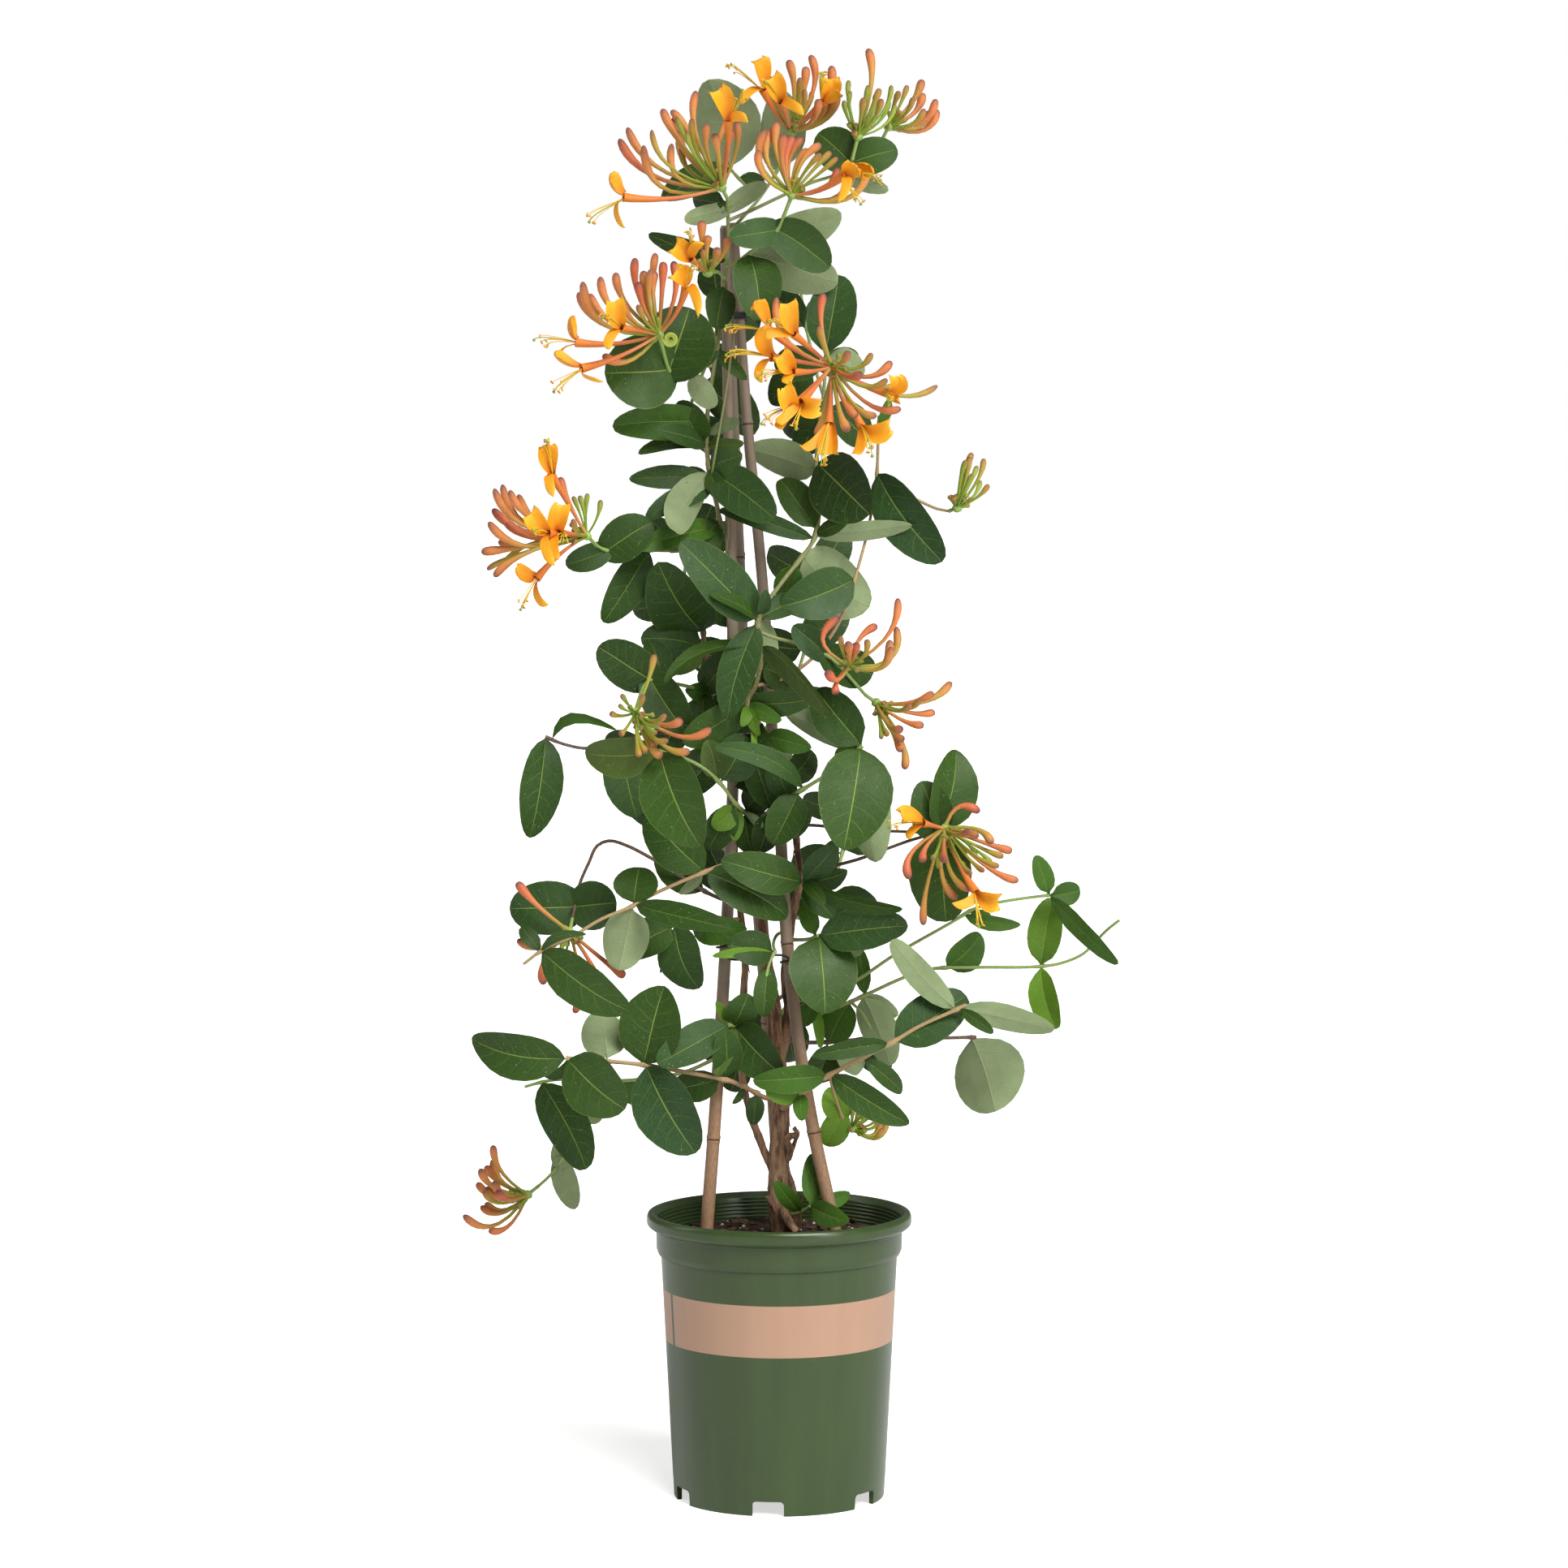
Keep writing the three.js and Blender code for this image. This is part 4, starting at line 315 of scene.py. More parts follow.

# Where a leaf sits in shade, its tone is set to one of the two darkest one by one: this darker colour is
# painted shade.
SPRAYS: tuple[Spray, ...] = (
    Spray("climber_left", "trunk", (
        Stem((1.8, 1.3), (
            (868, 800, 2), (866, 760, 0), (872, 720, -4), (884, 680, -6), (886, 640, -8), (876, 590, -12),
            (870, 540, -14), (874, 490, -14), (882, 440, -14), (889, 390, -17), (893, 345, -18),
            (897, 300, -20), (897, 265, -23), (897, 246, -26),
        )),
        Stem((0.9, 0.8), (
            (889, 392, -17), (884, 430, -22), (876, 470, -24), (871, 505, -20), (870, 535, -15),
        ), side=True),
        Stem((1.0, 0.9), (
            (893, 345, -18), (903, 400, -24), (899, 450, -24), (890, 510, -24), (880, 566, -22),
            (876, 592, -13),
        ), side=True),
        Stem((0.9, 0.8), (
            (876, 590, -12), (889, 604, -18), (897, 645, -20), (892, 690, -14), (876, 716, -5),
        ), side=True),
    ), (
        Leaf((871, 518, -14), (758, 525, -35), 45), Leaf((872, 545, -14), (836, 496, -24), 44),
        Leaf((870, 548, -14), (816, 527, -48), 22, roll=45),
        Leaf((870, 552, -14), (788, 553, -30), 18, roll=50),
        Leaf((876, 536, -14), (914, 518, -34), 17, roll=180), Leaf((875, 592, -12), (775, 590, -22), 30),
        Leaf((876, 600, -12), (797, 635, -36), 30), Leaf((877, 580, -12), (827, 659, -58), 44, roll=180),
        Leaf((884, 650, -8), (790, 672, -48), 32),
        Leaf((878, 580, -13), (955, 640, -48), 56, tone=Tone.BLUISH),
        Leaf((892, 322, -19), (799, 290, -30), 26), Leaf((893, 352, -18), (884, 404, -32), 38),
        *fan((897, 256, -24), ((841, 271, -34), 24), ((945, 226, -28), 24), roll=180, joined=True),
        Leaf((866, 778, 0), (812, 702, -42), 76, tone=Tone.DEEP),
        Leaf((868, 800, 2), (790, 786, -20), 46, tone=Tone.BLUISH),
        Leaf((866, 803, 0), (824, 826, -26), 28, tone=Tone.OLIVE),
        Leaf((872, 600, -12), (830, 588, -6), 36, tone=Tone.DEEP),
        Leaf((877, 572, -13), (914, 560, -26), 34, tone=Tone.BLUISH),
        Leaf((878, 575, -12), (898, 620, -26), 24, tone=Tone.DEEP),
        Leaf((872, 548, -14), (916, 546, -28), 18, tone=Tone.OLIVE),
        Leaf((883, 430, -14), (920, 468, -24), 18), Leaf((870, 720, -4), (905, 770, -10), 40, tone=Tone.DEEP),
        Leaf((886, 640, -8), (850, 690, -26), 40, tone=Tone.DEEP),
        Leaf((897, 250, -25), (852, 244, -12), 32, tone=Tone.DEEP),
    ), Wood.OLIVE),
    Spray("climber_right", "trunk", (
        Stem((2.0, 1.3), (
            (976, 1000, -14), (971, 975, -26), (958, 935, -38), (935, 893, -45), (921, 868, -48),
            (932, 842, -50), (938, 800, -52), (934, 763, -52), (960, 722, -46), (985, 690, -38),
            (1003, 664, -28), (1010, 625, -22), (1006, 575, -24), (1010, 520, -28), (1020, 480, -34),
        )),
        Stem((1.3, 1.1), ((1011, 508, -29), (1016, 470, -22), (1018, 435, -16)), side=True),
    ), (
        Leaf((922, 866, -48), (1000, 862, -62), 34), Leaf((918, 868, -47), (841, 915, -50), 45),
        Leaf((935, 893, -45), (948, 918, -62), 22, roll=30),
        Leaf((945, 905, -43), (998, 922, -58), 30, tone=Tone.BRIGHT),
        Leaf((950, 915, -41), (975, 934, -30), 26, roll=180),
        Leaf((937, 797, -53), (818, 838, -74), 20, roll=45, bow=0.11),
        Leaf((940, 796, -53), (1024, 886, -72), 34, roll=30, bow=-0.18, tone=Tone.OLIVE),
        Leaf((932, 762, -53), (838, 668, -70), 60, tone=Tone.BLUISH),
        Leaf((930, 765, -53), (874, 733, -76), 18, roll=35), Leaf((936, 758, -52), (944, 727, -66), 16),
        Leaf((936, 764, -50), (990, 738, -34), 30, tone=Tone.DEEP),
        Leaf((932, 768, -54), (896, 886, -62), 48, tone=Tone.BLUISH),
        Leaf((936, 762, -52), (950, 824, -44), 38, roll=180),
        Leaf((990, 687, -36), (1072, 748, -8), 78, roll=180), Leaf((982, 694, -37), (966, 742, -24), 36),
        Leaf((1000, 662, -28), (886, 627, -28), 24, tone=Tone.BLUISH),
        Leaf((1003, 660, -28), (1124, 647, -36), 25, roll=180), Leaf((1004, 657, -28), (1045, 640, -42), 20),
        Leaf((1002, 650, -27), (962, 588, -14), 42, tone=Tone.DEEP),
        Leaf((1008, 570, -24), (1072, 634, -44), 80, tone=Tone.PAINTED_SHADE),
        Leaf((1005, 580, -23), (925, 552, 6), 46, roll=180), Leaf((1018, 437, -16), (1033, 338, -10), 60),
        Leaf((1018, 440, -16), (1064, 462, -10), 40, roll=180), Leaf((1016, 448, -17), (952, 448, -10), 44),
        Leaf((921, 870, -48), (915, 894, -58), 15, tone=Tone.FRESH),
        Leaf((921, 868, -48), (934, 906, -57), 15, tone=Tone.FRESH),
        Leaf((935, 893, -45), (930, 920, -56), 18, tone=Tone.LIME),
        Leaf((921, 868, -48), (962, 888, -60), 22, tone=Tone.BRIGHT),
        Leaf((950, 922, -40), (905, 912, -48), 26, tone=Tone.DEEP),
        Leaf((968, 965, -28), (1002, 925, -24), 38, tone=Tone.PAINTED_SHADE),
        Leaf((955, 928, -39), (975, 985, -32), 36, tone=Tone.DEEP),
        Leaf((936, 820, -50), (985, 850, -30), 40, tone=Tone.PAINTED_SHADE),
        Leaf((938, 800, -52), (968, 850, -34), 34, tone=Tone.DEEP),
    ), Wood.OLIVE),
    Spray("spray_top_back", "climber_left", (
        Stem((1.3, 1.1), (
            (897, 288, -21), (915, 268, -6), (935, 245, 6), (955, 215, 8), (967, 192, 6), (972, 178, 4),
        )),
        Stem((1.1, 1.0), ((935, 245, 6), (915, 225, 18), (897, 205, 24)), side=True),
    ), (
        Leaf((899, 208, 24), (876, 98, 26), 82, roll=180), Leaf((899, 208, 24), (815, 246, 14), 40),
        Leaf((910, 219, 20), (942, 224, 26), 20), Leaf((958, 212, 8), (960, 110, 26), 57, roll=180),
    )),
    Spray("spray_top_middle", "climber_left", (
        Stem((1.4, 1.1), (
            (895, 330, -18), (915, 318, -28), (940, 300, -34), (958, 283, -38), (965, 268, -42),
        )),
    ), (
        *fan((958, 284, -38), ((898, 293, -50), 38), ((1022, 330, -40), 54), joined=True, tone=Tone.BLUISH),
        Leaf((950, 290, -36), (1037, 262, -20), 48, roll=180),
        Leaf((925, 311, -30), (1030, 347, -16), 62, roll=180), Leaf((922, 313, -31), (937, 392, -50), 60),
    )),
    Spray("spray_top_right", "climber_left", (
        Stem((1.3, 1.1), (
            (897, 272, -23), (920, 262, -16), (960, 243, -10), (1000, 225, -8), (1030, 215, -10),
            (1044, 205, -10), (1050, 197, -19),
        )),
        Stem((1.1, 1.0), ((1040, 208, -11), (1070, 190, 4), (1088, 170, 6)), side=True),
    ), (
        *fan((1048, 196, -13), ((1008, 164, -16), 54), ((1106, 184, -14), 46), joined=True, tone=Tone.DEEP),
        Leaf((1036, 212, -11), (1095, 235, -4), 22, roll=180),
    )),
    Spray("spray_upper_left", "climber_left", (
        Stem((1.4, 1.1), (
            (880, 450, -14), (865, 452, -22), (845, 458, -30), (828, 461, -36), (822, 450, -41),
        )),
    ), (
        Leaf((815, 458, -38), (745, 460, -46), 92, joined=True, tone=Tone.DEEP),
        Leaf((822, 456, -37), (850, 379, -36), 92, joined=True, tone=Tone.DEEP),
        Leaf((850, 456, -27), (880, 502, -34), 30, roll=180), Leaf((858, 453, -25), (886, 434, -36), 12),
    )),
    Spray("spray_left_high", "climber_left", (
        Stem((1.5, 1.1), (
            (885, 672, -6), (862, 674, -8), (830, 678, -12), (800, 678, -20), (770, 678, -32),
            (747, 678, -38), (735, 672, -44),
        )),
    ), (
        *fan((748, 678, -38), ((803, 643, -40), 54), ((697, 696, -40), 34), joined=True),
        Leaf((800, 678, -20), (747, 767, -34), 46),
    )),
    Spray("climber_far_right", "climber_right", (
        Stem((1.4, 1.1), (
            (933, 846, -50), (960, 838, -42), (1000, 812, -36), (1032, 770, -31), (1060, 690, -24),
            (1072, 640, -18), (1080, 590, -18), (1082, 545, -20), (1083, 512, -22),
        )),
        Stem((1.1, 1.0), ((1079, 604, -18), (1120, 612, -8), (1155, 627, -10), (1169, 630, -12)), side=True),
    ), (
        Leaf((1053, 714, -26), (965, 747, -48), 62, tone=Tone.BLUISH),
        Leaf((1080, 582, -18), (1162, 692, -30), 60, tone=Tone.BLUISH),
        Leaf((1082, 524, -22), (1096, 492, -24), 14),
    ), Wood.TAN),
    Spray("spray_centre_right", "climber_right", (
        Stem((1.4, 1.2), (
            (936, 778, -52), (955, 786, -57), (978, 792, -58), (1000, 800, -60), (1020, 808, -62),
            (1034, 820, -62), (1050, 838, -54), (1066, 856, -48),
        )),
    ), (
        *fan((1018, 807, -62), ((977, 771, -66), 36), ((1075, 830, -38), 50), joined=True),
    )),
    Spray("spray_right_front", "trunk", (
        Stem((1.6, 1.3), (
            (928, 1012, 6), (936, 1008, -10), (948, 1000, -26), (965, 987, -36), (990, 972, -44),
            (1010, 960, -50), (1040, 940, -55), (1062, 919, -58),
        )),
    ), (
        Leaf((950, 999, -28), (925, 910, -32), 44),
        Leaf((990, 972, -44), (880, 920, -66), 20, roll=40, bow=0.08),
        Leaf((985, 975, -43), (952, 1040, -50), 46), Leaf((1062, 918, -58), (1005, 850, -48), 58),
        Leaf((1060, 920, -58), (970, 877, -38), 36, roll=180), Leaf((1062, 922, -58), (1040, 1047, -82), 94),
        Leaf((1060, 921, -57), (1028, 938, -40), 24), Leaf((1061, 922, -56), (1079, 1063, -40), 62, roll=180),
        Leaf((965, 987, -36), (985, 1032, -28), 42, tone=Tone.DEEP),
        Leaf((948, 1000, -26), (935, 1052, -30), 36, tone=Tone.PAINTED_SHADE),
    )),
    Spray("spray_centre_left", "trunk", (
        Stem((1.5, 1.2), (
            (929, 1003, 6), (918, 1001, -18), (906, 990, -36), (890, 968, -45), (872, 950, -53),
            (845, 935, -62), (812, 925, -70),
        )),
    ), (
        Leaf((887, 964, -46), (918, 906, -50), 54),
        Leaf((884, 961, -47), (872, 912, -56), 34, tone=Tone.OLIVE),
        Leaf((908, 993, -34), (878, 1020, -38), 30, tone=Tone.FRESH),
        Leaf((912, 997, -28), (905, 1036, -36), 18), Leaf((813, 925, -70), (858, 1043, -90), 80),
        Leaf((813, 925, -70), (720, 930, -66), 52, tone=Tone.OLIVE),
        Leaf((920, 1001, -16), (926, 1052, -26), 34, tone=Tone.DEEP),
        Leaf((916, 1000, -22), (941, 1019, -34), 12, roll=180),
        Leaf((906, 990, -36), (872, 1048, -30), 40, tone=Tone.DEEP),
        Leaf((918, 1001, -18), (956, 962, -27), 40, tone=Tone.PAINTED_SHADE),
        Leaf((925, 1002, -6), (962, 1035, -28), 38, tone=Tone.DEEP),
    )),
    Spray("spray_left", "trunk", (
        Stem((1.5, 1.1), (
            (898, 930, 8), (870, 915, 0), (835, 905, -8), (800, 902, -14), (762, 914, -20), (724, 922, -24),
            (695, 917, -28), (672, 908, -30),
        )),
    ), (
        Leaf((672, 909, -30), (656, 1033, -36), 52, tone=Tone.DEEP),
        Leaf((680, 912, -29), (760, 900, -46), 14, roll=30, bow=-0.38),
        Leaf((761, 914, -20), (785, 1007, -26), 58), Leaf((800, 903, -14), (850, 985, -10), 50),
        Leaf((896, 929, 6), (935, 978, -26), 44, tone=Tone.PAINTED_SHADE),
        Leaf((882, 921, 3), (905, 868, -27), 40, tone=Tone.DEEP),
    ), Wood.PLUM),
    Spray("spray_left_upper", "trunk", (
        Stem((1.5, 1.1), (
            (884, 860, 6), (862, 850, -4), (835, 843, -24), (812, 839, -38), (800, 838, -46), (792, 847, -54),
        )),
    ), (
        *fan((803, 838, -45), ((737, 797, -50), 58), ((845, 900, -44), 54), joined=True, tone=Tone.PAINTED_SHADE),
        Leaf((815, 840, -36), (800, 787, -28), 34),
        Leaf((880, 858, 3), (848, 850, -14), 28, tone=Tone.BRIGHT),
        Leaf((872, 858, 0), (842, 877, -16), 14, tone=Tone.OLIVE),
        Leaf((880, 857, 4), (930, 900, -27), 42, tone=Tone.PAINTED_SHADE),
        Leaf((866, 852, -2), (905, 800, -26), 40, tone=Tone.PAINTED_SHADE),
        Leaf((866, 852, -2), (868, 930, -24), 38, tone=Tone.DEEP),
    )),
    Spray("spray_lower_left", "trunk", (
        Stem((1.6, 1.1), (
            (905, 1060, 8), (917, 1062, -10), (911, 1063, -37), (890, 1066, -45), (869, 1074, -48),
            (803, 1103, -52), (780, 1116, -54), (740, 1133, -56), (700, 1157, -58), (665, 1173, -58),
            (645, 1188, -56),
        )),
    ), (
        Leaf((869, 1075, -48), (970, 1130, -34), 58), Leaf((868, 1073, -48), (797, 1000, -46), 60),
        Leaf((782, 1115, -54), (902, 1145, -84), 32, roll=-20), Leaf((780, 1114, -54), (787, 1067, -46), 56),
        Leaf((779, 1118, -54), (762, 1195, -54), 58, roll=180), Leaf((665, 1172, -58), (642, 1142, -50), 20),
        Leaf((666, 1171, -58), (720, 1152, -72), 12, bow=-0.14), Leaf((668, 1174, -58), (770, 1250, -76), 60),
        Leaf((866, 1077, -48), (838, 1101, -36), 14, roll=180),
    ), Wood.TAN),
    Spray("spray_left_low", "trunk", (
        Stem((1.5, 1.1), (
            (912, 1112, 10), (890, 1108, 0), (868, 1098, -6), (830, 1074, -10), (800, 1056, -12),
            (770, 1041, -12), (750, 1036, -12), (736, 1042, -13), (726, 1062, -15), (714, 1090, -18),
            (708, 1118, -24), (705, 1132, -33),
        )),
    ), (
        *fan((709, 1118, -23), ((628, 1120, -28), 68), ((760, 1112, -24), 62), joined=True),
        Leaf((868, 1098, -6), (806, 1052, -4), 38, tone=Tone.DEEP),
    ), Wood.PLUM),
    Spray("spray_left_mid", "trunk", (
        Stem((1.4, 1.1), ((913, 1132, 10), (888, 1134, 2), (860, 1138, -14), (831, 1141, -26))),
    ), (
        *fan((832, 1141, -26), ((856, 1218, -40), 57), ((770, 1178, -30), 48)),
        Leaf((850, 1139, -18), (915, 1147, -48), 42, tone=Tone.BRIGHT),
        Leaf((834, 1141, -25), (812, 1200, -14), 9),
    )),
    Spray("spray_bottom_left", "trunk", (
        Stem((2.0, 1.3), (
            (961, 1352, 1), (945, 1353, -6), (930, 1346, -18), (915, 1338, -32), (893, 1330, -46),
            (850, 1322, -51), (793, 1312, -53), (697, 1304, -55),
        )),
    ), (
        Leaf((893, 1330, -46), (895, 1272, -62), 38), Leaf((890, 1330, -47), (825, 1344, -40), 42),
        Leaf((932, 1347, -16), (928, 1385, -24), 24),
        Leaf((793, 1312, -53), (815, 1216, -60), 80, tone=Tone.DEEP),
        Leaf((796, 1312, -53), (857, 1421, -64), 78), Leaf((748, 1307, -54), (738, 1245, -44), 58, roll=180),
        Leaf((698, 1304, -55), (579, 1283, -50), 60), Leaf((699, 1304, -55), (766, 1369, -68), 78),
        Leaf((700, 1304, -55), (666, 1325, -46), 14, bow=-0.25), Leaf((917, 1339, -30), (903, 1360, -36), 10),
    ), Wood.TAN),
    Spray("spray_bottom_left_back", "trunk", (
        Stem((1.6, 1.1), (
            (911, 1290, 8), (880, 1305, 18), (840, 1322, 32), (790, 1330, 40), (735, 1332, 42),
            (690, 1330, 34), (665, 1334, 24), (647, 1339, 18),
        )),
        Stem((1.2, 1.1), (
            (735, 1332, 42), (715, 1378, 58), (697, 1422, 68), (678, 1448, 70), (664, 1461, 71),
        ), side=True),
    ), (
        Leaf((667, 1334, 25), (722, 1440, 6), 57),
        *fan((690, 1434, 69), ((708, 1488, 76), 32), ((703, 1396, 76), 32), roll=180, joined=True),
        Leaf((715, 1378, 58), (742, 1372, 52), 22, roll=180), Leaf((790, 1330, 40), (775, 1362, 50), 44),
    )),
    Spray("spray_bottom_centre", "trunk", (
        Stem((1.3, 1.1), (
            (912, 1276, 9), (909, 1268, -8), (908, 1266, -22), (904, 1264, -36), (898, 1263, -44),
        )),
    ), (
        Leaf((905, 1265, -36), (962, 1325, -54), 60), Leaf((898, 1263, -44), (810, 1310, -66), 46),
        Leaf((903, 1264, -38), (922, 1228, -52), 40),
        Leaf((901, 1264, -41), (882, 1233, -52), 14, tone=Tone.FRESH),
        Leaf((904, 1264, -36), (884, 1324, -58), 27, tone=Tone.OLIVE),
    )),
    Spray("spray_middle", "trunk", (
        Stem((1.3, 1.1), ((973, 1148, 8), (960, 1150, -4), (953, 1162, -24), (955, 1173, -40))),
        Stem((1.1, 1.0), ((955, 1172, -39), (948, 1187, -43), (944, 1203, -44)), side=True),
    ), (
        Leaf((955, 1172, -39), (898, 1164, -52), 43),
        Leaf((944, 1200, -44), (941, 1253, -48), 30, joined=True),
        Leaf((954, 1174, -40), (878, 1178, -56), 14, tone=Tone.FRESH),
    )),
    Spray("spray_right_middle", "trunk", (
        Stem((1.5, 1.2), ((973, 1158, 8), (986, 1158, -4), (997, 1157, -20), (1009, 1153, -34))),
    ), (
        Leaf((1009, 1153, -34), (1018, 1248, -54), 86, tone=Tone.DEEP),
        Leaf((1009, 1153, -34), (1118, 1140, -50), 53), Leaf((1006, 1154, -30), (990, 1112, -24), 24),
        Leaf((1004, 1155, -28), (1062, 1174, -22), 24, roll=180),
    )),
    Spray("spray_right", "trunk", (
        Stem((1.5, 1.1), ((985, 1085, 4), (990, 1086, -14), (989, 1087, -39))),
        Stem((1.3, 1.1), (
            (989, 1086, -16), (1020, 1070, -20), (1060, 1058, -24), (1095, 1045, -26), (1120, 1036, -28),
            (1150, 1027, -36), (1159, 1023, -44),
        ), side=True),
        Stem((1.2, 1.0), (
            (979, 1016, -8), (1004, 1017, -12), (1050, 1022, -16), (1095, 1024, -20), (1120, 1025, -24),
            (1148, 1027, -35),
        )),
    ), (
        Leaf((989, 1087, -38), (889, 1060, -62), 50), Leaf((990, 1086, -38), (1032, 1043, -46), 34),
        Leaf((988, 1087, -38), (1015, 1114, -58), 18), Leaf((990, 1087, -38), (1107, 1129, -56), 24, roll=35),
        Leaf((990, 1086, -30), (1045, 1076, -30), 30), Leaf((989, 1087, -36), (1028, 1129, -44), 34),
        Leaf((988, 1086, -20), (1030, 1036, -16), 26), Leaf((1156, 1024, -40), (1182, 924, -34), 60),
        Leaf((1152, 1026, -38), (1136, 963, -44), 54, joined=True),
        Leaf((1156, 1025, -40), (1164, 1136, -48), 78),
    ), Wood.PLUM),
    Spray("spray_far_right_upper", "trunk", (
        Stem((1.4, 1.0), (
            (971, 1232, 6), (1000, 1232, 0), (1030, 1222, -6), (1060, 1205, -12), (1100, 1178, -18),
            (1175, 1135, -30), (1200, 1120, -34), (1225, 1113, -38), (1260, 1107, -42), (1293, 1103, -44),
        )),
    ), (
        Leaf((998, 1232, 0), (972, 1203, -4), 24), Leaf((1000, 1232, 0), (992, 1264, -8), 22),
        Leaf((1187, 1127, -32), (1257, 1140, -40), 20),
        *fan((1293, 1103, -44), ((1277, 1055, -50), 26), ((1331, 1097, -36), 30)),
        Leaf((1293, 1103, -44), (1378, 1188, -58), 28, roll=20),
        Leaf((1194, 1123, -33), (1222, 1130, -24), 12),
        Leaf((1000, 1232, 0), (1011, 1292, -10), 14, tone=Tone.FRESH),
    ), tone=Tone.BRIGHT),
    Spray("spray_far_right_lower", "trunk", (
        Stem((1.4, 1.0), (
            (972, 1257, 6), (1000, 1252, 2), (1035, 1240, 0), (1060, 1229, -2), (1110, 1206, -10),
            (1140, 1195, -14), (1200, 1192, -22), (1290, 1190, -30), (1310, 1186, -32), (1335, 1175, -36),
            (1350, 1160, -40), (1365, 1145, -46), (1379, 1134, -50),
        )),
        Stem((1.1, 1.0), ((1048, 1234, -1), (1062, 1248, -10), (1073, 1267, -16)), side=True),
    ), (
        Leaf((1062, 1228, -2), (1105, 1250, 6), 26, roll=180), Leaf((1066, 1227, -3), (1057, 1167, -4), 22),
        Leaf((1050, 1234, -1), (1022, 1284, 4), 46), Leaf((1064, 1228, -2), (1098, 1310, 10), 46, roll=180),
        Leaf((1163, 1191, -17), (1210, 1153, -18), 42),
        *fan((1283, 1190, -29), ((1296, 1106, -28), 42), ((1302, 1268, -34), 36), tone=Tone.FRESH),
    ), tone=Tone.BRIGHT),
    Spray("spray_bottom_right", "trunk", (
        Stem((2.2, 1.3), (
            (961, 1368, 1), (974, 1358, -20), (987, 1347, -43), (1000, 1337, -47), (1022, 1325, -49),
            (1050, 1310, -51), (1080, 1294, -53), (1100, 1284, -54), (1130, 1266, -55), (1178, 1244, -57),
            (1191, 1238, -57),
        )),
        Stem((1.2, 1.1), (
            (1022, 1325, -49), (1027, 1345, -36), (1034, 1366, -28), (1041, 1385, -22),
        ), side=True),
    ), (
        Leaf((1102, 1283, -54), (1190, 1224, -46), 60), Leaf((1096, 1286, -54), (1000, 1300, -68), 24),
        Leaf((1178, 1244, -57), (1097, 1156, -62), 35, roll=180),
        Leaf((1180, 1243, -57), (1299, 1268, -54), 34, roll=180),
        Leaf((1182, 1243, -57), (1224, 1273, -66), 17),
        Leaf((1020, 1326, -49), (928, 1332, -60), 38, tone=Tone.BRIGHT),
        Leaf((1024, 1325, -49), (1120, 1385, -60), 40), Leaf((1064, 1303, -52), (1116, 1347, -38), 24),
        Leaf((986, 1348, -42), (945, 1345, -56), 30, tone=Tone.FRESH),
        Leaf((988, 1347, -43), (988, 1380, -54), 20),
        *fan((1037, 1376, -25), ((1020, 1340, -26), 36), ((1016, 1412, -24), 36),
             joined=True, tone=Tone.LIME),
    ), Wood.TAN),
    Spray("spray_bottom_right_back", "trunk", (
        Stem((1.6, 1.2), (
            (966, 1280, 5), (985, 1284, 12), (1020, 1284, 16), (1060, 1281, 18), (1110, 1281, 16),
            (1160, 1279, 12), (1203, 1278, 8),
        )),
    ), (
        Leaf((1197, 1278, 8), (1229, 1370, -4), 90, roll=180),
        Leaf((1060, 1281, 18), (1046, 1324, 10), 40, roll=180), Leaf((1066, 1281, 18), (1092, 1322, 26), 40),
        Leaf((1020, 1284, 16), (1004, 1340, 30), 44),
    ), Wood.PLUM),
    Spray("base_sprout", "trunk", (
        Stem((1.6, 1.1), ((967, 1496, -3), (978, 1496, -16), (988, 1493, -24), (999, 1486, -31))),
    ), (
        Leaf((988, 1493, -24), (955, 1458, -36), 24),
        *fan((999, 1486, -31), ((1002, 1421, -22), 28), ((1049, 1470, -14), 20), ((1041, 1504, -60), 31)),
    ), tone=Tone.BRIGHT),
    # The sprays behind the canes take the darkest tone throughout: painted shade.
    Spray("back_low_left", "trunk", (
        Stem((1.6, 1.2), ((906, 1050, 8), (893, 1046, 30), (865, 1022, 55), (835, 985, 74), (806, 940, 86))),
    ), (
        *fan((866, 1023, 55), ((905, 1100, 66), 56), ((806, 1062, 60), 50)),
        *fan((835, 985, 74), ((888, 920, 98), 52), ((772, 1000, 84), 48)),
        *fan((807, 941, 86), ((848, 880, 102), 44), ((745, 905, 103), 44)),
    ), tone=Tone.PAINTED_SHADE),
    Spray("back_low_right", "trunk", (
        Stem((1.6, 1.2), (
            (975, 1132, 8), (998, 1124, 32), (1022, 1098, 56), (1038, 1050, 76), (1044, 1000, 86),
        )),
    ), (
        *fan((1022, 1098, 56), ((1078, 1128, 66), 52), ((955, 1118, 66), 50)),
        *fan((1038, 1050, 76), ((1082, 1000, 78), 50), ((975, 1075, 88), 46)),
        *fan((1044, 1001, 86), ((1055, 935, 101), 48), ((985, 985, 102), 34)),
    ), tone=Tone.PAINTED_SHADE),
    Spray("back_mid_left", "trunk", (
        Stem((1.5, 1.2), ((882, 856, 6), (870, 835, 30), (850, 790, 55), (842, 735, 72), (846, 680, 82))),
    ), (
        *fan((850, 790, 55), ((905, 822, 66), 50), ((795, 830, 62), 48)),
        *fan((842, 735, 72), ((905, 700, 82), 50), ((778, 752, 80), 40)),
        *fan((846, 681, 82), ((878, 622, 100), 44), ((800, 640, 88), 34)),
        Leaf((842, 735, 72), (900, 760, 70), 46), Leaf((846, 690, 81), (905, 648, 84), 44),
    ), tone=Tone.PAINTED_SHADE),
    Spray("back_mid_right", "trunk", (
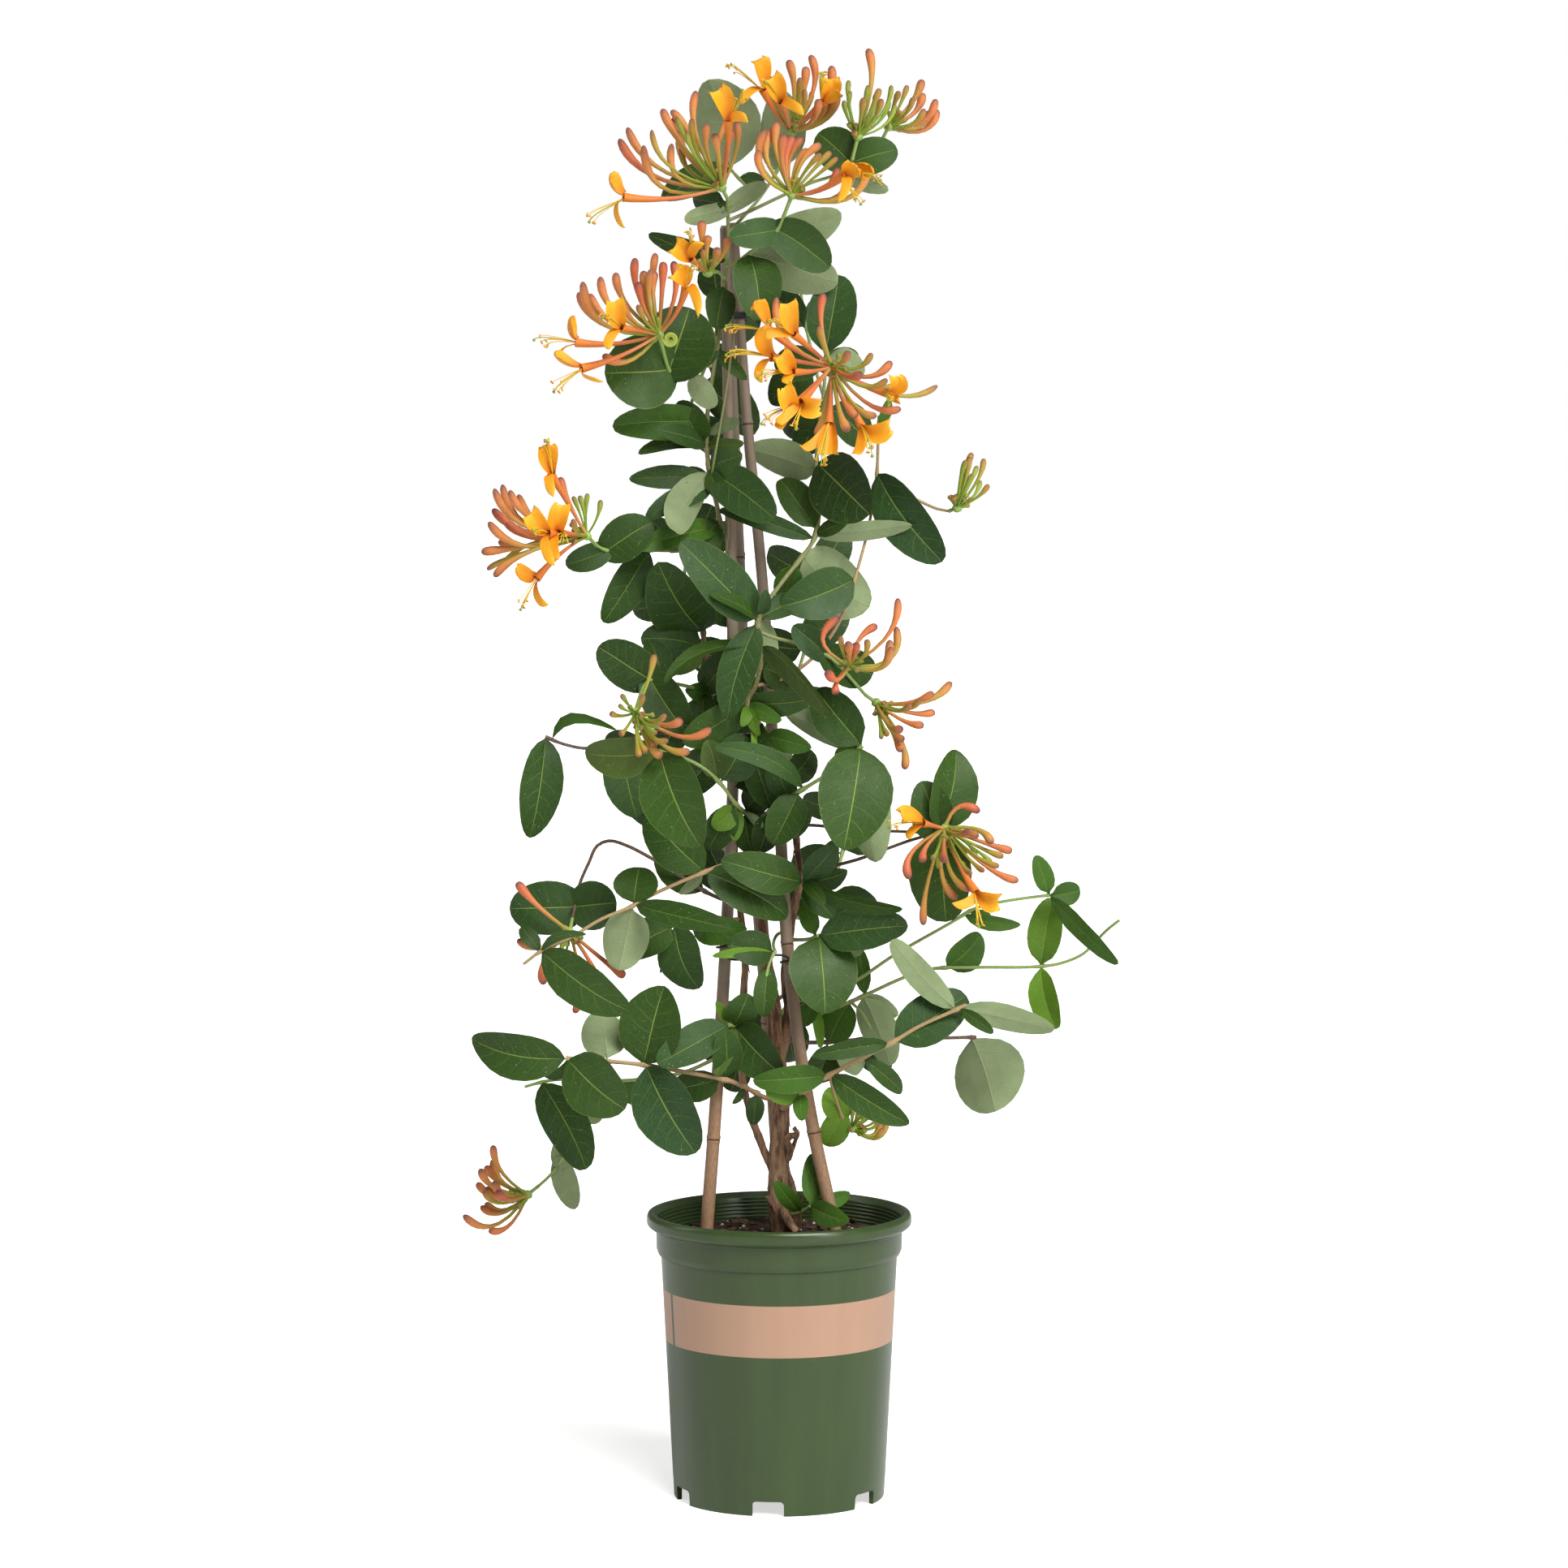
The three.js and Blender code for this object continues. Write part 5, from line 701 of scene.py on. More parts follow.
        Stem((1.5, 1.2), (
            (914, 916, 5), (936, 905, 28), (968, 862, 52), (992, 800, 70), (1004, 735, 80), (1008, 690, 84),
        )),
    ), (
        *fan((968, 862, 52), ((1035, 880, 62), 50), ((908, 850, 64), 46)),
        *fan((992, 800, 70), ((1042, 742, 74), 50), ((930, 788, 84), 46)),
        *fan((1006, 712, 82), ((1042, 650, 84), 46), ((945, 680, 101), 44)),
    ), tone=Tone.PAINTED_SHADE),
    Spray("back_top_left", "climber_left", (
        Stem((1.4, 1.1), (
            (871, 538, -14), (852, 530, 4), (848, 510, 26), (862, 470, 42), (880, 420, 52), (888, 372, 56),
        )),
    ), (
        *fan((848, 510, 26), ((800, 535, 40), 38), ((905, 560, 48), 46)),
        Leaf((862, 470, 42), (920, 505, 56), 44),
        *fan((880, 420, 52), ((935, 372, 60), 46), ((838, 448, 66), 36)),
        Leaf((888, 374, 56), (880, 315, 60), 42), Leaf((862, 470, 42), (932, 532, 38), 52),
        Leaf((880, 420, 52), (912, 486, 46), 44),
    ), tone=Tone.PAINTED_SHADE),
    Spray("back_top_right", "climber_right", (
        Stem((1.4, 1.1), (
            (1010, 528, -27), (1022, 522, -6), (1018, 500, 20), (1005, 455, 40), (994, 405, 50),
            (985, 350, 54),
        )),
    ), (
        *fan((1018, 500, 20), ((1070, 545, 34), 46), ((960, 530, 40), 46)),
        Leaf((1005, 455, 40), (1062, 440, 52), 38),
        *fan((994, 405, 50), ((945, 350, 60), 46), ((1040, 360, 58), 42)),
        Leaf((985, 352, 54), (1000, 295, 58), 42), Leaf((1005, 455, 40), (948, 496, 46), 48),
        Leaf((1018, 500, 20), (985, 560, 30), 44),
    ), tone=Tone.PAINTED_SHADE),
    Spray("back_bottom", "trunk", (
        Stem((1.6, 1.2), (
            (953, 1236, 6), (968, 1226, 32), (966, 1245, 60), (944, 1275, 80), (915, 1295, 90),
        )),
    ), (
        *fan((966, 1245, 60), ((1030, 1225, 66), 50), ((978, 1310, 74), 48)),
        Leaf((944, 1275, 80), (890, 1240, 84), 50),
        *fan((915, 1295, 90), ((848, 1270, 103), 50), ((900, 1345, 88), 40)),
    ), tone=Tone.PAINTED_SHADE),
)

HEADS: tuple[Head, ...] = (
    Head("head_top_left", "climber_left", ((897, 246, -26),), (889, 231, -30), {
        Stage.ORANGE: (
            (793, 179, -34, -0.17), (828, 177, -42, -0.2), (773, 157, -12, -0.1), (816, 134, -25, -0.04),
            (827, 136, -6, 0.03), (858, 112, -30, -0.1), (880, 165, -58, 0), (903, 142, -16, -0.08),
        ),
        Stage.ROSE: ((763, 171, -22, -0.1), (907, 150, -40, 0.1)),
        Stage.LIME: ((803, 160, -48, -0.1), (853, 146, -50, -0.05), (836, 168, 0, -0.08)),
        Stage.GREEN: ((846, 162, -54, -0.05),),
    }, (
        Bloom((768, 243, -50), (757, 214, -58), (771, 281, -56), (730, 268, -62), bend=-0.06, turn=62),
        Bloom((897, 147, -64), (883, 114, -74), (922, 152, -72), (914, 117, -78), bend=0.04),
    )),
    Head("head_top_back", "spray_top_back", ((972, 178, 4),), (975, 162, 2), {
        Stage.ORANGE: (
            (971, 74, -4, 0.03), (998, 68, 8, 0.13), (1024, 81, 0, 0.1), (1008, 122, -22, 0.1),
            (942, 80, 6, -0.08), (955, 96, -20, -0.05),
        ),
        Stage.ROSE: ((1031, 115, -6, 0.12),),
        Stage.LIME: ((986, 96, -18, 0), (991, 110, -30, 0.05), (1017, 126, 14, 0.1)),
        Stage.GREEN: ((1000, 113, 22, 0.05),),
    }, (
        Bloom((940, 110, -18), (936, 75, -24), (914, 130, -26), (902, 84, -30), bend=-0.05, turn=40),
        Bloom((962, 124, -36), (950, 97, -46), (991, 142, -46), (944, 104, -56)),
        Bloom((1016, 124, -12), (1020, 98, -16), (1034, 116, -20), (1012, 96, -28)),
    )),
    Head("head_top_middle", "spray_top_middle", ((965, 268, -42),), (976, 240, -48), {
        Stage.ORANGE: (
            (944, 160, -52, -0.18), (958, 150, -38, -0.1), (935, 185, -64, -0.14), (1012, 178, -48, -0.1),
            (1070, 212, -42, 0.14),
        ),
        Stage.ROSE: ((967, 165, -66, -0.06), (990, 170, -36, -0.1), (1050, 203, -50, 0.2)),
        Stage.LIME: ((1012, 190, -74, -0.1), (1024, 187, -36, -0.05), (1032, 194, -58, 0)),
    }, (
        Bloom((1040, 216, -72), (1052, 204, -82), (1032, 250, -82), (1058, 248, -84), bend=0.1),
        Bloom((1046, 208, -60), (1074, 214, -66), (1060, 226, -70), (1080, 222, -76), bend=0.1, turn=50),
    )),
    Head("head_top_right", "spray_top_right", ((1050, 197, -19),), (1057, 168, -20), {
        Stage.ORANGE: ((1069, 60, -18, 0.04),),
        Stage.LIME: ((1064, 121, -46, 0), (1086, 122, -36, 0.05), (1084, 109, -26, 0.03)),
        Stage.GREEN: (
            (1046, 99, -24, -0.03), (1048, 112, -38, -0.05), (1040, 124, -12, -0.06), (1070, 105, -34, 0),
            (1078, 116, -6, 0.05), (1098, 105, -20, 0.08), (1103, 128, -12, 0.1),
        ),
    }),
    Head("head_top_far_right", "spray_top_right", ((1088, 170, 6),), (1095, 156, 8), {
        Stage.ORANGE: ((1137, 115, 24, 0.08), (1153, 122, 8, 0.12), (1155, 135, 18, 0.18)),
        Stage.ROSE: ((1136, 98, 12, 0.06),),
        Stage.LIME: ((1118, 105, 4, 0.04), (1108, 113, -8, 0), (1125, 120, -10, 0.06), (1139, 134, -2, 0.1)),
    }),
    Head("head_upper_left", "spray_upper_left", ((822, 450, -41),), (812, 412, -58), {
        Stage.ORANGE: (
            (718, 347, -62, -0.12), (713, 360, -50, -0.08), (740, 341, -74, -0.12), (759, 336, -46, -0.1),
            (803, 332, -80, -0.05), (808, 312, -54, -0.03), (743, 437, -66, -0.14), (765, 370, -88, -0.08),
        ),
        Stage.ROSE: ((783, 318, -64, -0.08), (829, 322, -60, 0.08)),
        Stage.LIME: ((786, 376, -90, 0),),
    }, (
        Bloom((845, 354, -74), (830, 338, -82), (860, 392, -86), (852, 330, -92), bend=0.08),
        Bloom((764, 403, -90), (759, 370, -98), (750, 431, -98), (744, 394, -104)),
        Bloom((709, 422, -64), (708, 390, -68), (692, 437, -70), (667, 420, -70), bend=-0.06, turn=80),
        Bloom((716, 454, -84), (687, 433, -88), (744, 470, -90), (687, 478, -90), bend=-0.05, turn=72),
    ), coil=(826, 418, -70)),
    Head("head_upper_middle", "climber_left", ((893, 343, -18), (884, 335, -28)), (872, 336, -34), {
        Stage.ORANGE: ((865, 272, -36, 0), (884, 306, -54, 0)),
        Stage.ROSE: ((896, 292, -42, 0.05),),
        Stage.LIME: ((866, 308, -54, 0),),
    }, (
        Bloom((850, 318, -52), (832, 304, -58), (868, 300, -62), (850, 289, -70)),
    )),
    Head("head_right_high", "climber_right", ((1020, 480, -34), (1024, 464, -46)), (1025, 452, -56), {
        Stage.ORANGE: (
            (957, 366, -52, -0.12), (1045, 434, -94, 0), (1098, 445, -54, 0.12), (1110, 503, -56, 0.1),
            (1080, 512, -82, 0.08), (1045, 530, -84, 0), (1005, 537, -60, -0.05),
        ),
        Stage.ROSE: ((1015, 361, -50, -0.05), (1060, 460, -94, 0)),
        Stage.LIME: (
            (1009, 402, -84, 0), (1074, 435, -66, 0.1), (1093, 467, -76, 0.08), (1155, 475, -40, 0.06),
        ),
    }, (
        Bloom((946, 404, -70), (933, 374, -76), (940, 428, -78), (900, 404, -82), bend=-0.06, turn=48),
        Bloom((977, 411, -88), (974, 374, -98), (944, 416, -96), (952, 398, -104)),
        Bloom((950, 440, -78), (942, 403, -86), (940, 472, -86), (900, 438, -94), turn=30),
        Bloom((976, 458, -84), (964, 436, -92), (972, 474, -92), (940, 464, -98), bend=-0.05),
        Bloom((976, 502, -92), (967, 475, -100), (959, 527, -100), (944, 518, -104)),
        Bloom((988, 496, -94), (1012, 500, -102), (958, 520, -102), (982, 524, -106)),
        Bloom((1022, 522, -72), (1022, 557, -80), (986, 547, -80), (1012, 566, -90)),
        Bloom((1062, 526, -66), (1096, 522, -74), (1050, 556, -76), (1074, 556, -84)),
        Bloom((1092, 484, -60), (1100, 462, -68), (1104, 492, -70), (1096, 492, -76), bend=0.05, turn=40),
    )),
    Head("head_left_high", "spray_left_high", ((735, 672, -44),), (723, 660, -56), {
        Stage.ORANGE: (
            (609, 602, -64, -0.1), (619, 597, -48, -0.12), (628, 604, -78, -0.1), (602, 643, -68, -0.05),
            (614, 667, -44, 0), (593, 680, -60, 0.05), (609, 711, -70, 0.12),
        ),
        Stage.ROSE: ((607, 627, -52, -0.06), (690, 588, -48, -0.05)),
        Stage.LIME: ((600, 702, -50, 0.1), (706, 640, -98, 0)),
        Stage.GREEN: ((706, 612, -70, 0), (724, 608, -54, 0), (740, 616, -64, 0.05)),
    }, (
        Bloom((679, 584, -82), (676, 551, -90), (682, 613, -92), (674, 548, -96)),
        Bloom((674, 657, -92), (655, 632, -100), (684, 697, -102), (660, 655, -106)),
        Bloom((688, 656, -84), (695, 621, -92), (689, 690, -94), (694, 664, -100)),
        Bloom((661, 713, -74), (637, 700, -82), (677, 744, -82), (645, 744, -84), bend=0.05, turn=45),
    )),
    Head("head_right_tip", "climber_far_right", ((1169, 630, -12),), (1179, 626, -14), {
        Stage.LIME: ((1198, 558, -16, 0), (1212, 565, -18, 0.05), (1218, 597, -24, 0.06)),
        Stage.GREEN: ((1190, 567, -30, 0), (1204, 574, 2, 0.03), (1198, 584, -38, 0), (1208, 592, 10, 0.05)),
    }),
    Head("head_right_middle", "spray_centre_right", ((1034, 820, -62),), (1046, 820, -74), {
        Stage.ORANGE: (
            (1045, 792, -104, 0), (1106, 737, -74, 0.08), (1104, 772, -64, 0.26), (1098, 797, -92, 0.18),
        ),
        Stage.ROSE: (
            (1034, 760, -78, -0.28), (1055, 793, -92, 0.05), (1081, 771, -66, -0.15), (1019, 826, -96, -0.25),
            (1031, 855, -88, 0.1),
        ),
        Stage.LIME: ((1036, 784, -98, -0.05), (1068, 788, -90, 0.1)),
    }),
    Head("head_right_lower", "spray_centre_right", ((1066, 856, -48),), (1080, 866, -46), {
        Stage.ORANGE: (
            (1172, 840, -40, 0.05), (1150, 853, -62, 0.03), (1152, 877, -36, 0), (1138, 893, -60, 0),
            (1114, 948, -46, -0.06),
        ),
        Stage.ROSE: ((1111, 897, -80, 0.05), (1114, 911, -62, 0.05)),
        Stage.LIME: ((1122, 868, -84, 0), (1094, 906, -30, 0)),
        Stage.GREEN: ((1086, 910, -66, 0),),
    }),
    Head("head_left_middle", "spray_left_upper", ((792, 847, -54), (787, 862, -64)), (783, 878, -72), {
        Stage.ORANGE: ((876, 897, -80, 0.08), (850, 925, -84, 0.12), (816, 932, -84, 0.08)),
        Stage.LIME: (
            (806, 806, -68, 0.05), (792, 856, -104, 0), (752, 878, -84, 0), (820, 880, -92, 0.1),
            (823, 912, -92, 0.08), (788, 933, -88, 0), (764, 905, -88, 0),
        ),
        Stage.GREEN: ((812, 892, -102, 0.05), (790, 895, -106, 0), (766, 856, -92, 0)),
    }),
    Head("head_right_big", "spray_right", ((1159, 1023, -44),), (1164, 1021, -58), {
        Stage.ORANGE: (
            (1222, 1040, -68, -0.2), (1247, 1049, -54, -0.06), (1255, 1085, -64, 0), (1198, 1096, -84, 0.12),
        ),
        Stage.ROSE: (
            (1207, 1001, -60, -0.32), (1180, 1107, -74, 0.1), (1163, 1059, -100, 0), (1121, 1083, -78, 0.2),
            (1138, 1140, -68, 0.06), (1193, 1024, -98, 0),
        ),
        Stage.LIME: ((1231, 1067, -78, 0), (1212, 1073, -92, 0), (1196, 1076, -104, 0)),
        Stage.GREEN: (
            (1203, 1056, -52, -0.1), (1190, 1066, -74, 0.05), (1158, 1070, -82, 0.1), (1148, 1057, -92, 0),
        ),
    }, (
        Bloom((1136, 1014, -74), (1112, 1006, -84), (1120, 1034, -80), (1100, 1018, -92), turn=50),
        Bloom((1203, 1100, -90), (1230, 1108, -98), (1172, 1112, -96), (1206, 1136, -102), bend=0.04),
    )),
    Head("head_left_low", "spray_left_low", ((705, 1132, -33),), (702, 1148, -42), {
        Stage.ORANGE: ((638, 1157, -46, -0.12),),
        Stage.ROSE: (
            (637, 1087, -42, -0.03), (671, 1213, -40, 0.12), (707, 1248, -38, -0.05), (770, 1203, -32, 0),
        ),
        Stage.LIME: ((690, 1196, -30, 0),),
    }),
    Head("head_bottom_left", "spray_bottom_left_back", ((664, 1461, 71),), (650, 1472, 71), {
        Stage.ORANGE: (
            (608, 1411, 66, -0.1), (599, 1436, 78, -0.1), (592, 1440, 60, -0.1), (588, 1457, 76, -0.1),
            (598, 1482, 88, -0.1), (571, 1497, 71, -0.18), (602, 1516, 62, -0.14),
        ),
        Stage.ROSE: ((613, 1467, 44, -0.1),),
        Stage.LIME: ((596, 1467, 56, -0.12),),
    }),
    Head("head_bottom_right", "spray_bottom_right", ((1041, 1385, -22),), (1050, 1390, -18), {
        Stage.LIME: (
            (1093, 1377, -12, 0.28), (1088, 1390, -30, 0.2), (1062, 1346, -10, 0.1), (1085, 1365, -22, 0.1),
            (1052, 1346, 2, 0), (1076, 1353, -2, 0.1),
        ),
        Stage.GREEN: ((1052, 1366, -30, 0), (1070, 1370, -36, -0.1)),
    }),
)


# ---------------------------------------------------------------- finishes


class Wiring:
    """Shader nodes of one finish, or of the studio's air, joined up as they are added."""

    def __init__(self, name: str, air: bool = False) -> None:
        """Starts it with its main node alone.

        Args:
            name: Name of the finish or of the air.
            air: Whether it is the studio's air.
        """
        self.owner = (bpy.data.worlds if air else bpy.data.materials).new(name)
        self.owner.use_nodes = True
        self.tree = self.owner.node_tree
        self.main = self.tree.nodes["Background" if air else "Principled BSDF"]

    def feed(self, socket: Socket, value: Feed) -> None:
        """Joins a socket to another one, or sets it to a plain value.

        Args:
            socket: Input that is fed.
            value: Socket or plain value that feeds it.
        """
        if isinstance(value, Socket):
            self.tree.links.new(value, socket)
        else:
            socket.default_value = value

    def add(self, kind: str, inputs: dict[str | int, Feed], **settings: object) -> bpy.types.Node:
        """Adds a node.

        Args:
            kind: The node's type, without its leading "ShaderNode".
            inputs: Values or sockets for its inputs, by name or number.
            **settings: Its own properties.

        Returns:
            The new node.
        """
        node = self.tree.nodes.new("ShaderNode" + kind)
        for key, value in settings.items():
            setattr(node, key, value)
        for key, value in inputs.items():
            self.feed(node.inputs[key], value)
        return node

    def math(self, operation: str, *terms: Feed) -> Socket:
        """Result of a sum on one to three terms."""
        return self.add("Math", dict(enumerate(terms)), operation=operation).outputs[0]

    def times(self, first: Feed, second: Feed) -> Socket:
        """Product of two values."""
        return self.math("MULTIPLY", first, second)

    def plus(self, first: Feed, second: Feed) -> Socket:
        """Sum of two values."""
        return self.math("ADD", first, second)

    def mix(self, share: Feed, first: Feed, second: Feed, how: str = "MIX") -> Socket:
        """Colour mixed from two by a share of the second."""
        return self.add("Mix", {0: share, 6: first, 7: second}, data_type="RGBA", blend_type=how).outputs[2]

    def ease(self, value: Feed, low: float, high: float, start: float = 0.0, end: float = 1.0) -> Feed:
        """Smooth step from a start to an end while a value goes from low to high."""
        inputs = {0: value, 1: low, 2: high, 3: start, 4: end}
        return self.add("MapRange", inputs, interpolation_type="SMOOTHSTEP").outputs[0]

    def parts(self, where: Feed) -> list[Socket]:
        """The three numbers of a place."""
        return list(self.add("SeparateXYZ", {0: where}).outputs)

    def object_place(self, *scale: float) -> Socket:
        """Place on the piece in metres, stretched by a scale on each axis if one is given."""
        where = self.add("TexCoord", {}).outputs["Object"]
        return self.add("Mapping", {"Vector": where, "Scale": scale or (1.0, 1.0, 1.0)}).outputs[0]

    def pattern_place(self, *scale: float) -> Socket:
        """Pattern coordinates that follow the surface, stretched by a scale if one is given."""
        where = self.add("UVMap", {}, uv_map="pattern").outputs[0]
        return self.add("Mapping", {"Vector": where, "Scale": scale or (1.0, 1.0, 1.0)}).outputs[0]

    def living(self) -> Socket:
        """Colour that the piece itself carries."""
        return self.add("Attribute", {}, attribute_name="living").outputs["Color"]

    def noise(self, where: Feed, scale: float, detail: float = 3.0, rough: float = 0.5) -> Socket:
        """Cloudy pattern from 0 to 1."""
        inputs = {"Vector": where, "Scale": scale, "Detail": detail, "Roughness": rough}
        return self.add("TexNoise", inputs).outputs[0]

    def cells(self, where: Feed, scale: float, feature: str = "F1") -> bpy.types.Node:
        """Pattern of cells."""
        return self.add("TexVoronoi", {"Vector": where, "Scale": scale}, feature=feature)

    def bump(self, height: Feed, distance: float, strength: float = 1.0) -> Socket:
        """Normal of a surface raised by a height of up to a distance in millimetres."""
        inputs = {"Height": height, "Distance": distance * MM, "Strength": strength}
        return self.add("Bump", inputs).outputs[0]

    def seen(self, shown: float, cast: float) -> Socket:
        """One value where the backdrop or the floor is seen, and another for the light that it casts."""
        return self.ease(self.add("LightPath", {}).outputs["Is Camera Ray"], 0.0, 1.0, cast, shown)

    def finish(self, **inputs: Feed) -> Finish | bpy.types.World:
        """Feeds the main node's inputs, named with underscores for blanks, and hands the whole over.

        Args:
            **inputs: Values or sockets for the main node.

        Returns:
            The finish, or the air.
        """
        for key, value in inputs.items():
            self.feed(self.main.inputs[key.replace("_", " ")], value)
        return self.owner


@dataclass(frozen=True)
class MouldedPlastic:
    """Green moulded plastic of the pot with its bare printed band. Heights are in metres."""

    green: Colour = paint("384b23")
    shade: Colour = paint("334520")
    band: Colour = paint("ae8970")
    band_low: float = 0.1012
    band_high: float = 0.134
    gap_turn: float = math.radians(203.6)
    gap_half: float = 0.022
    band_edge: float = 0.00015
    inner_foot: float = 0.0662
    inner_flare: float = 0.052

    def material(self) -> Finish:
        """Plastic with faint streaks, scuffs and an orange-peel skin.

        Returns:
            The finish.
        """
        wires = Wiring("moulded plastic")
        x, y, z = wires.parts(wires.object_place())
        streak = wires.noise(wires.object_place(1.0, 1.0, 0.12), 60.0, 4.0)
        scuff = wires.ease(wires.noise(wires.object_place(1.0, 1.0, 2.5), 210.0, 6.0, 0.7), 0.62, 0.8)
        green = wires.mix(wires.ease(streak, 0.35, 0.7), self.shade, self.green)
        green = wires.mix(wires.times(scuff, 0.16), green, paint("a9b79c"))
        soft = self.band_edge
        inside = wires.times(wires.ease(z, self.band_low - soft, self.band_low + soft),
                             wires.ease(z, self.band_high - soft, self.band_high + soft, 1.0, 0.0))
        turn = wires.math("ARCTAN2", y, x)
        away = wires.math("ABSOLUTE", wires.math("SUBTRACT", turn, self.gap_turn - 2 * math.pi))
        inside = wires.times(inside, wires.ease(away, self.gap_half - 0.002, self.gap_half))
        radius = wires.math("SQRT", wires.plus(wires.times(x, x), wires.times(y, y)))
        lining = wires.math("MULTIPLY_ADD", z, self.inner_flare, self.inner_foot)
        inside = wires.times(inside, wires.math("GREATER_THAN", radius, lining))
        print_tone = wires.mix(wires.ease(streak, 0.3, 0.7), self.band, paint("b28d74"))
        colour = wires.mix(inside, green, print_tone)
        grain = wires.noise(wires.object_place(), 900.0, 2.0)
        roughness = wires.plus(wires.ease(streak, 0.3, 0.7, 0.28, 0.31), wires.times(inside, 0.12))
        waves = wires.math("MULTIPLY_ADD", wires.noise(wires.object_place(1.0, 1.0, 0.3), 28.0), 6.0, grain)
        return wires.finish(Base_Color=colour, Roughness=roughness, Normal=wires.bump(waves, 0.05, 0.6))


@dataclass(frozen=True)
class PottingMix:
    """Dark peat and bark of the soil, or one of the bits that lie on it."""

    name: str = "potting mix"
    dark: Colour = paint("1b130e")
    light: Colour = paint("4a3526")

    def material(self) -> Finish:
        """Crumbly, quite rough ground.

        Returns:
            The finish.
        """
        wires = Wiring(self.name)
        crumb = wires.noise(wires.object_place(), 420.0, 6.0, 0.7)
        lump = wires.noise(wires.object_place(), 90.0, 3.0)
        colour = wires.mix(wires.ease(wires.times(crumb, lump), 0.12, 0.42), self.dark, self.light)
        return wires.finish(Base_Color=colour, Roughness=0.95, Normal=wires.bump(crumb, 1.2))


@dataclass(frozen=True)
class Bamboo:
    """Dry bamboo skin with streaks along the cane and dark joint rings."""

    pale: Colour = paint("9d7b5a")
    deep: Colour = paint("75543a")
    grey: Colour = paint("897b6b")
    stain: Colour = paint("a8683f")

    def material(self) -> Finish:
        """Cane colours that follow its length, with its joints darker.

        Returns:
            The finish.
        """
        wires = Wiring("bamboo")
        fibre = wires.noise(wires.pattern_place(26.0, 9.0, 1.0), 3.0, 6.0, 0.7)
        blotch = wires.noise(wires.object_place(1.0, 1.0, 0.25), 45.0, 3.0)
        colour = wires.mix(wires.ease(fibre, 0.35, 0.65), self.deep, self.pale)
        weather = wires.math("MULTIPLY_ADD", wires.parts(wires.object_place())[2], 2.4, -0.62)
        greyed = wires.ease(wires.plus(blotch, weather), 0.45, 0.95, 0.05, 0.85)
        colour = wires.mix(greyed, colour, self.grey)
        rust = wires.noise(wires.object_place(1.0, 1.0, 0.5), 31.0, 4.0, 0.6)
        colour = wires.mix(wires.ease(rust, 0.62, 0.78, 0.0, 0.5), colour, self.stain)
        colour = wires.mix(1.0, colour, wires.living(), "MULTIPLY")
        return wires.finish(Base_Color=colour, Roughness=wires.ease(fibre, 0.3, 0.7, 0.42, 0.62),
                            Normal=wires.bump(fibre, 0.25, 0.7))


@dataclass(frozen=True)
class CoatedWire:
    """Dark coated tie wire."""

    dark: Colour = paint("171a15")
    worn: Colour = paint("33372d")

    def material(self) -> Finish:
        """Matt coating, rubbed lighter in places.

        Returns:
            The finish.
        """
        wires = Wiring("coated wire")
        rub = wires.noise(wires.object_place(), 700.0, 4.0, 0.6)
        colour = wires.mix(wires.ease(rub, 0.45, 0.75), self.dark, self.worn)
        return wires.finish(Base_Color=colour, Roughness=wires.ease(rub, 0.3, 0.7, 0.4, 0.6),
                            Normal=wires.bump(rub, 0.08))


@dataclass(frozen=True)
class Bark:
    """Peeling fibrous bark: grey-brown ridges with red-brown in their clefts."""

    cleft: Colour = paint("57392b")
    ridge: Colour = paint("b5957a")
    bleached: Colour = paint("bca68f")

    def material(self) -> Finish:
        """Strands that run along the stem.

        Returns:
            The finish.
        """
        wires = Wiring("bark")
        where = wires.object_place(1.0, 1.0, 0.16)
        strand = wires.noise(where, 620.0, 8.0, 0.72)
        coarse = wires.noise(where, 190.0, 4.0, 0.6)
        height = wires.plus(wires.times(strand, 0.55), wires.times(coarse, 0.75))
        colour = wires.mix(wires.ease(height, 0.5, 0.78), self.cleft, self.ridge)
        colour = wires.mix(wires.ease(strand, 0.55, 0.75, 0.0, 0.55), colour, self.bleached)
        colour = wires.mix(0.85, colour, wires.living(), "MULTIPLY")
        return wires.finish(Base_Color=colour, Roughness=0.88, Normal=wires.bump(height, 1.1))


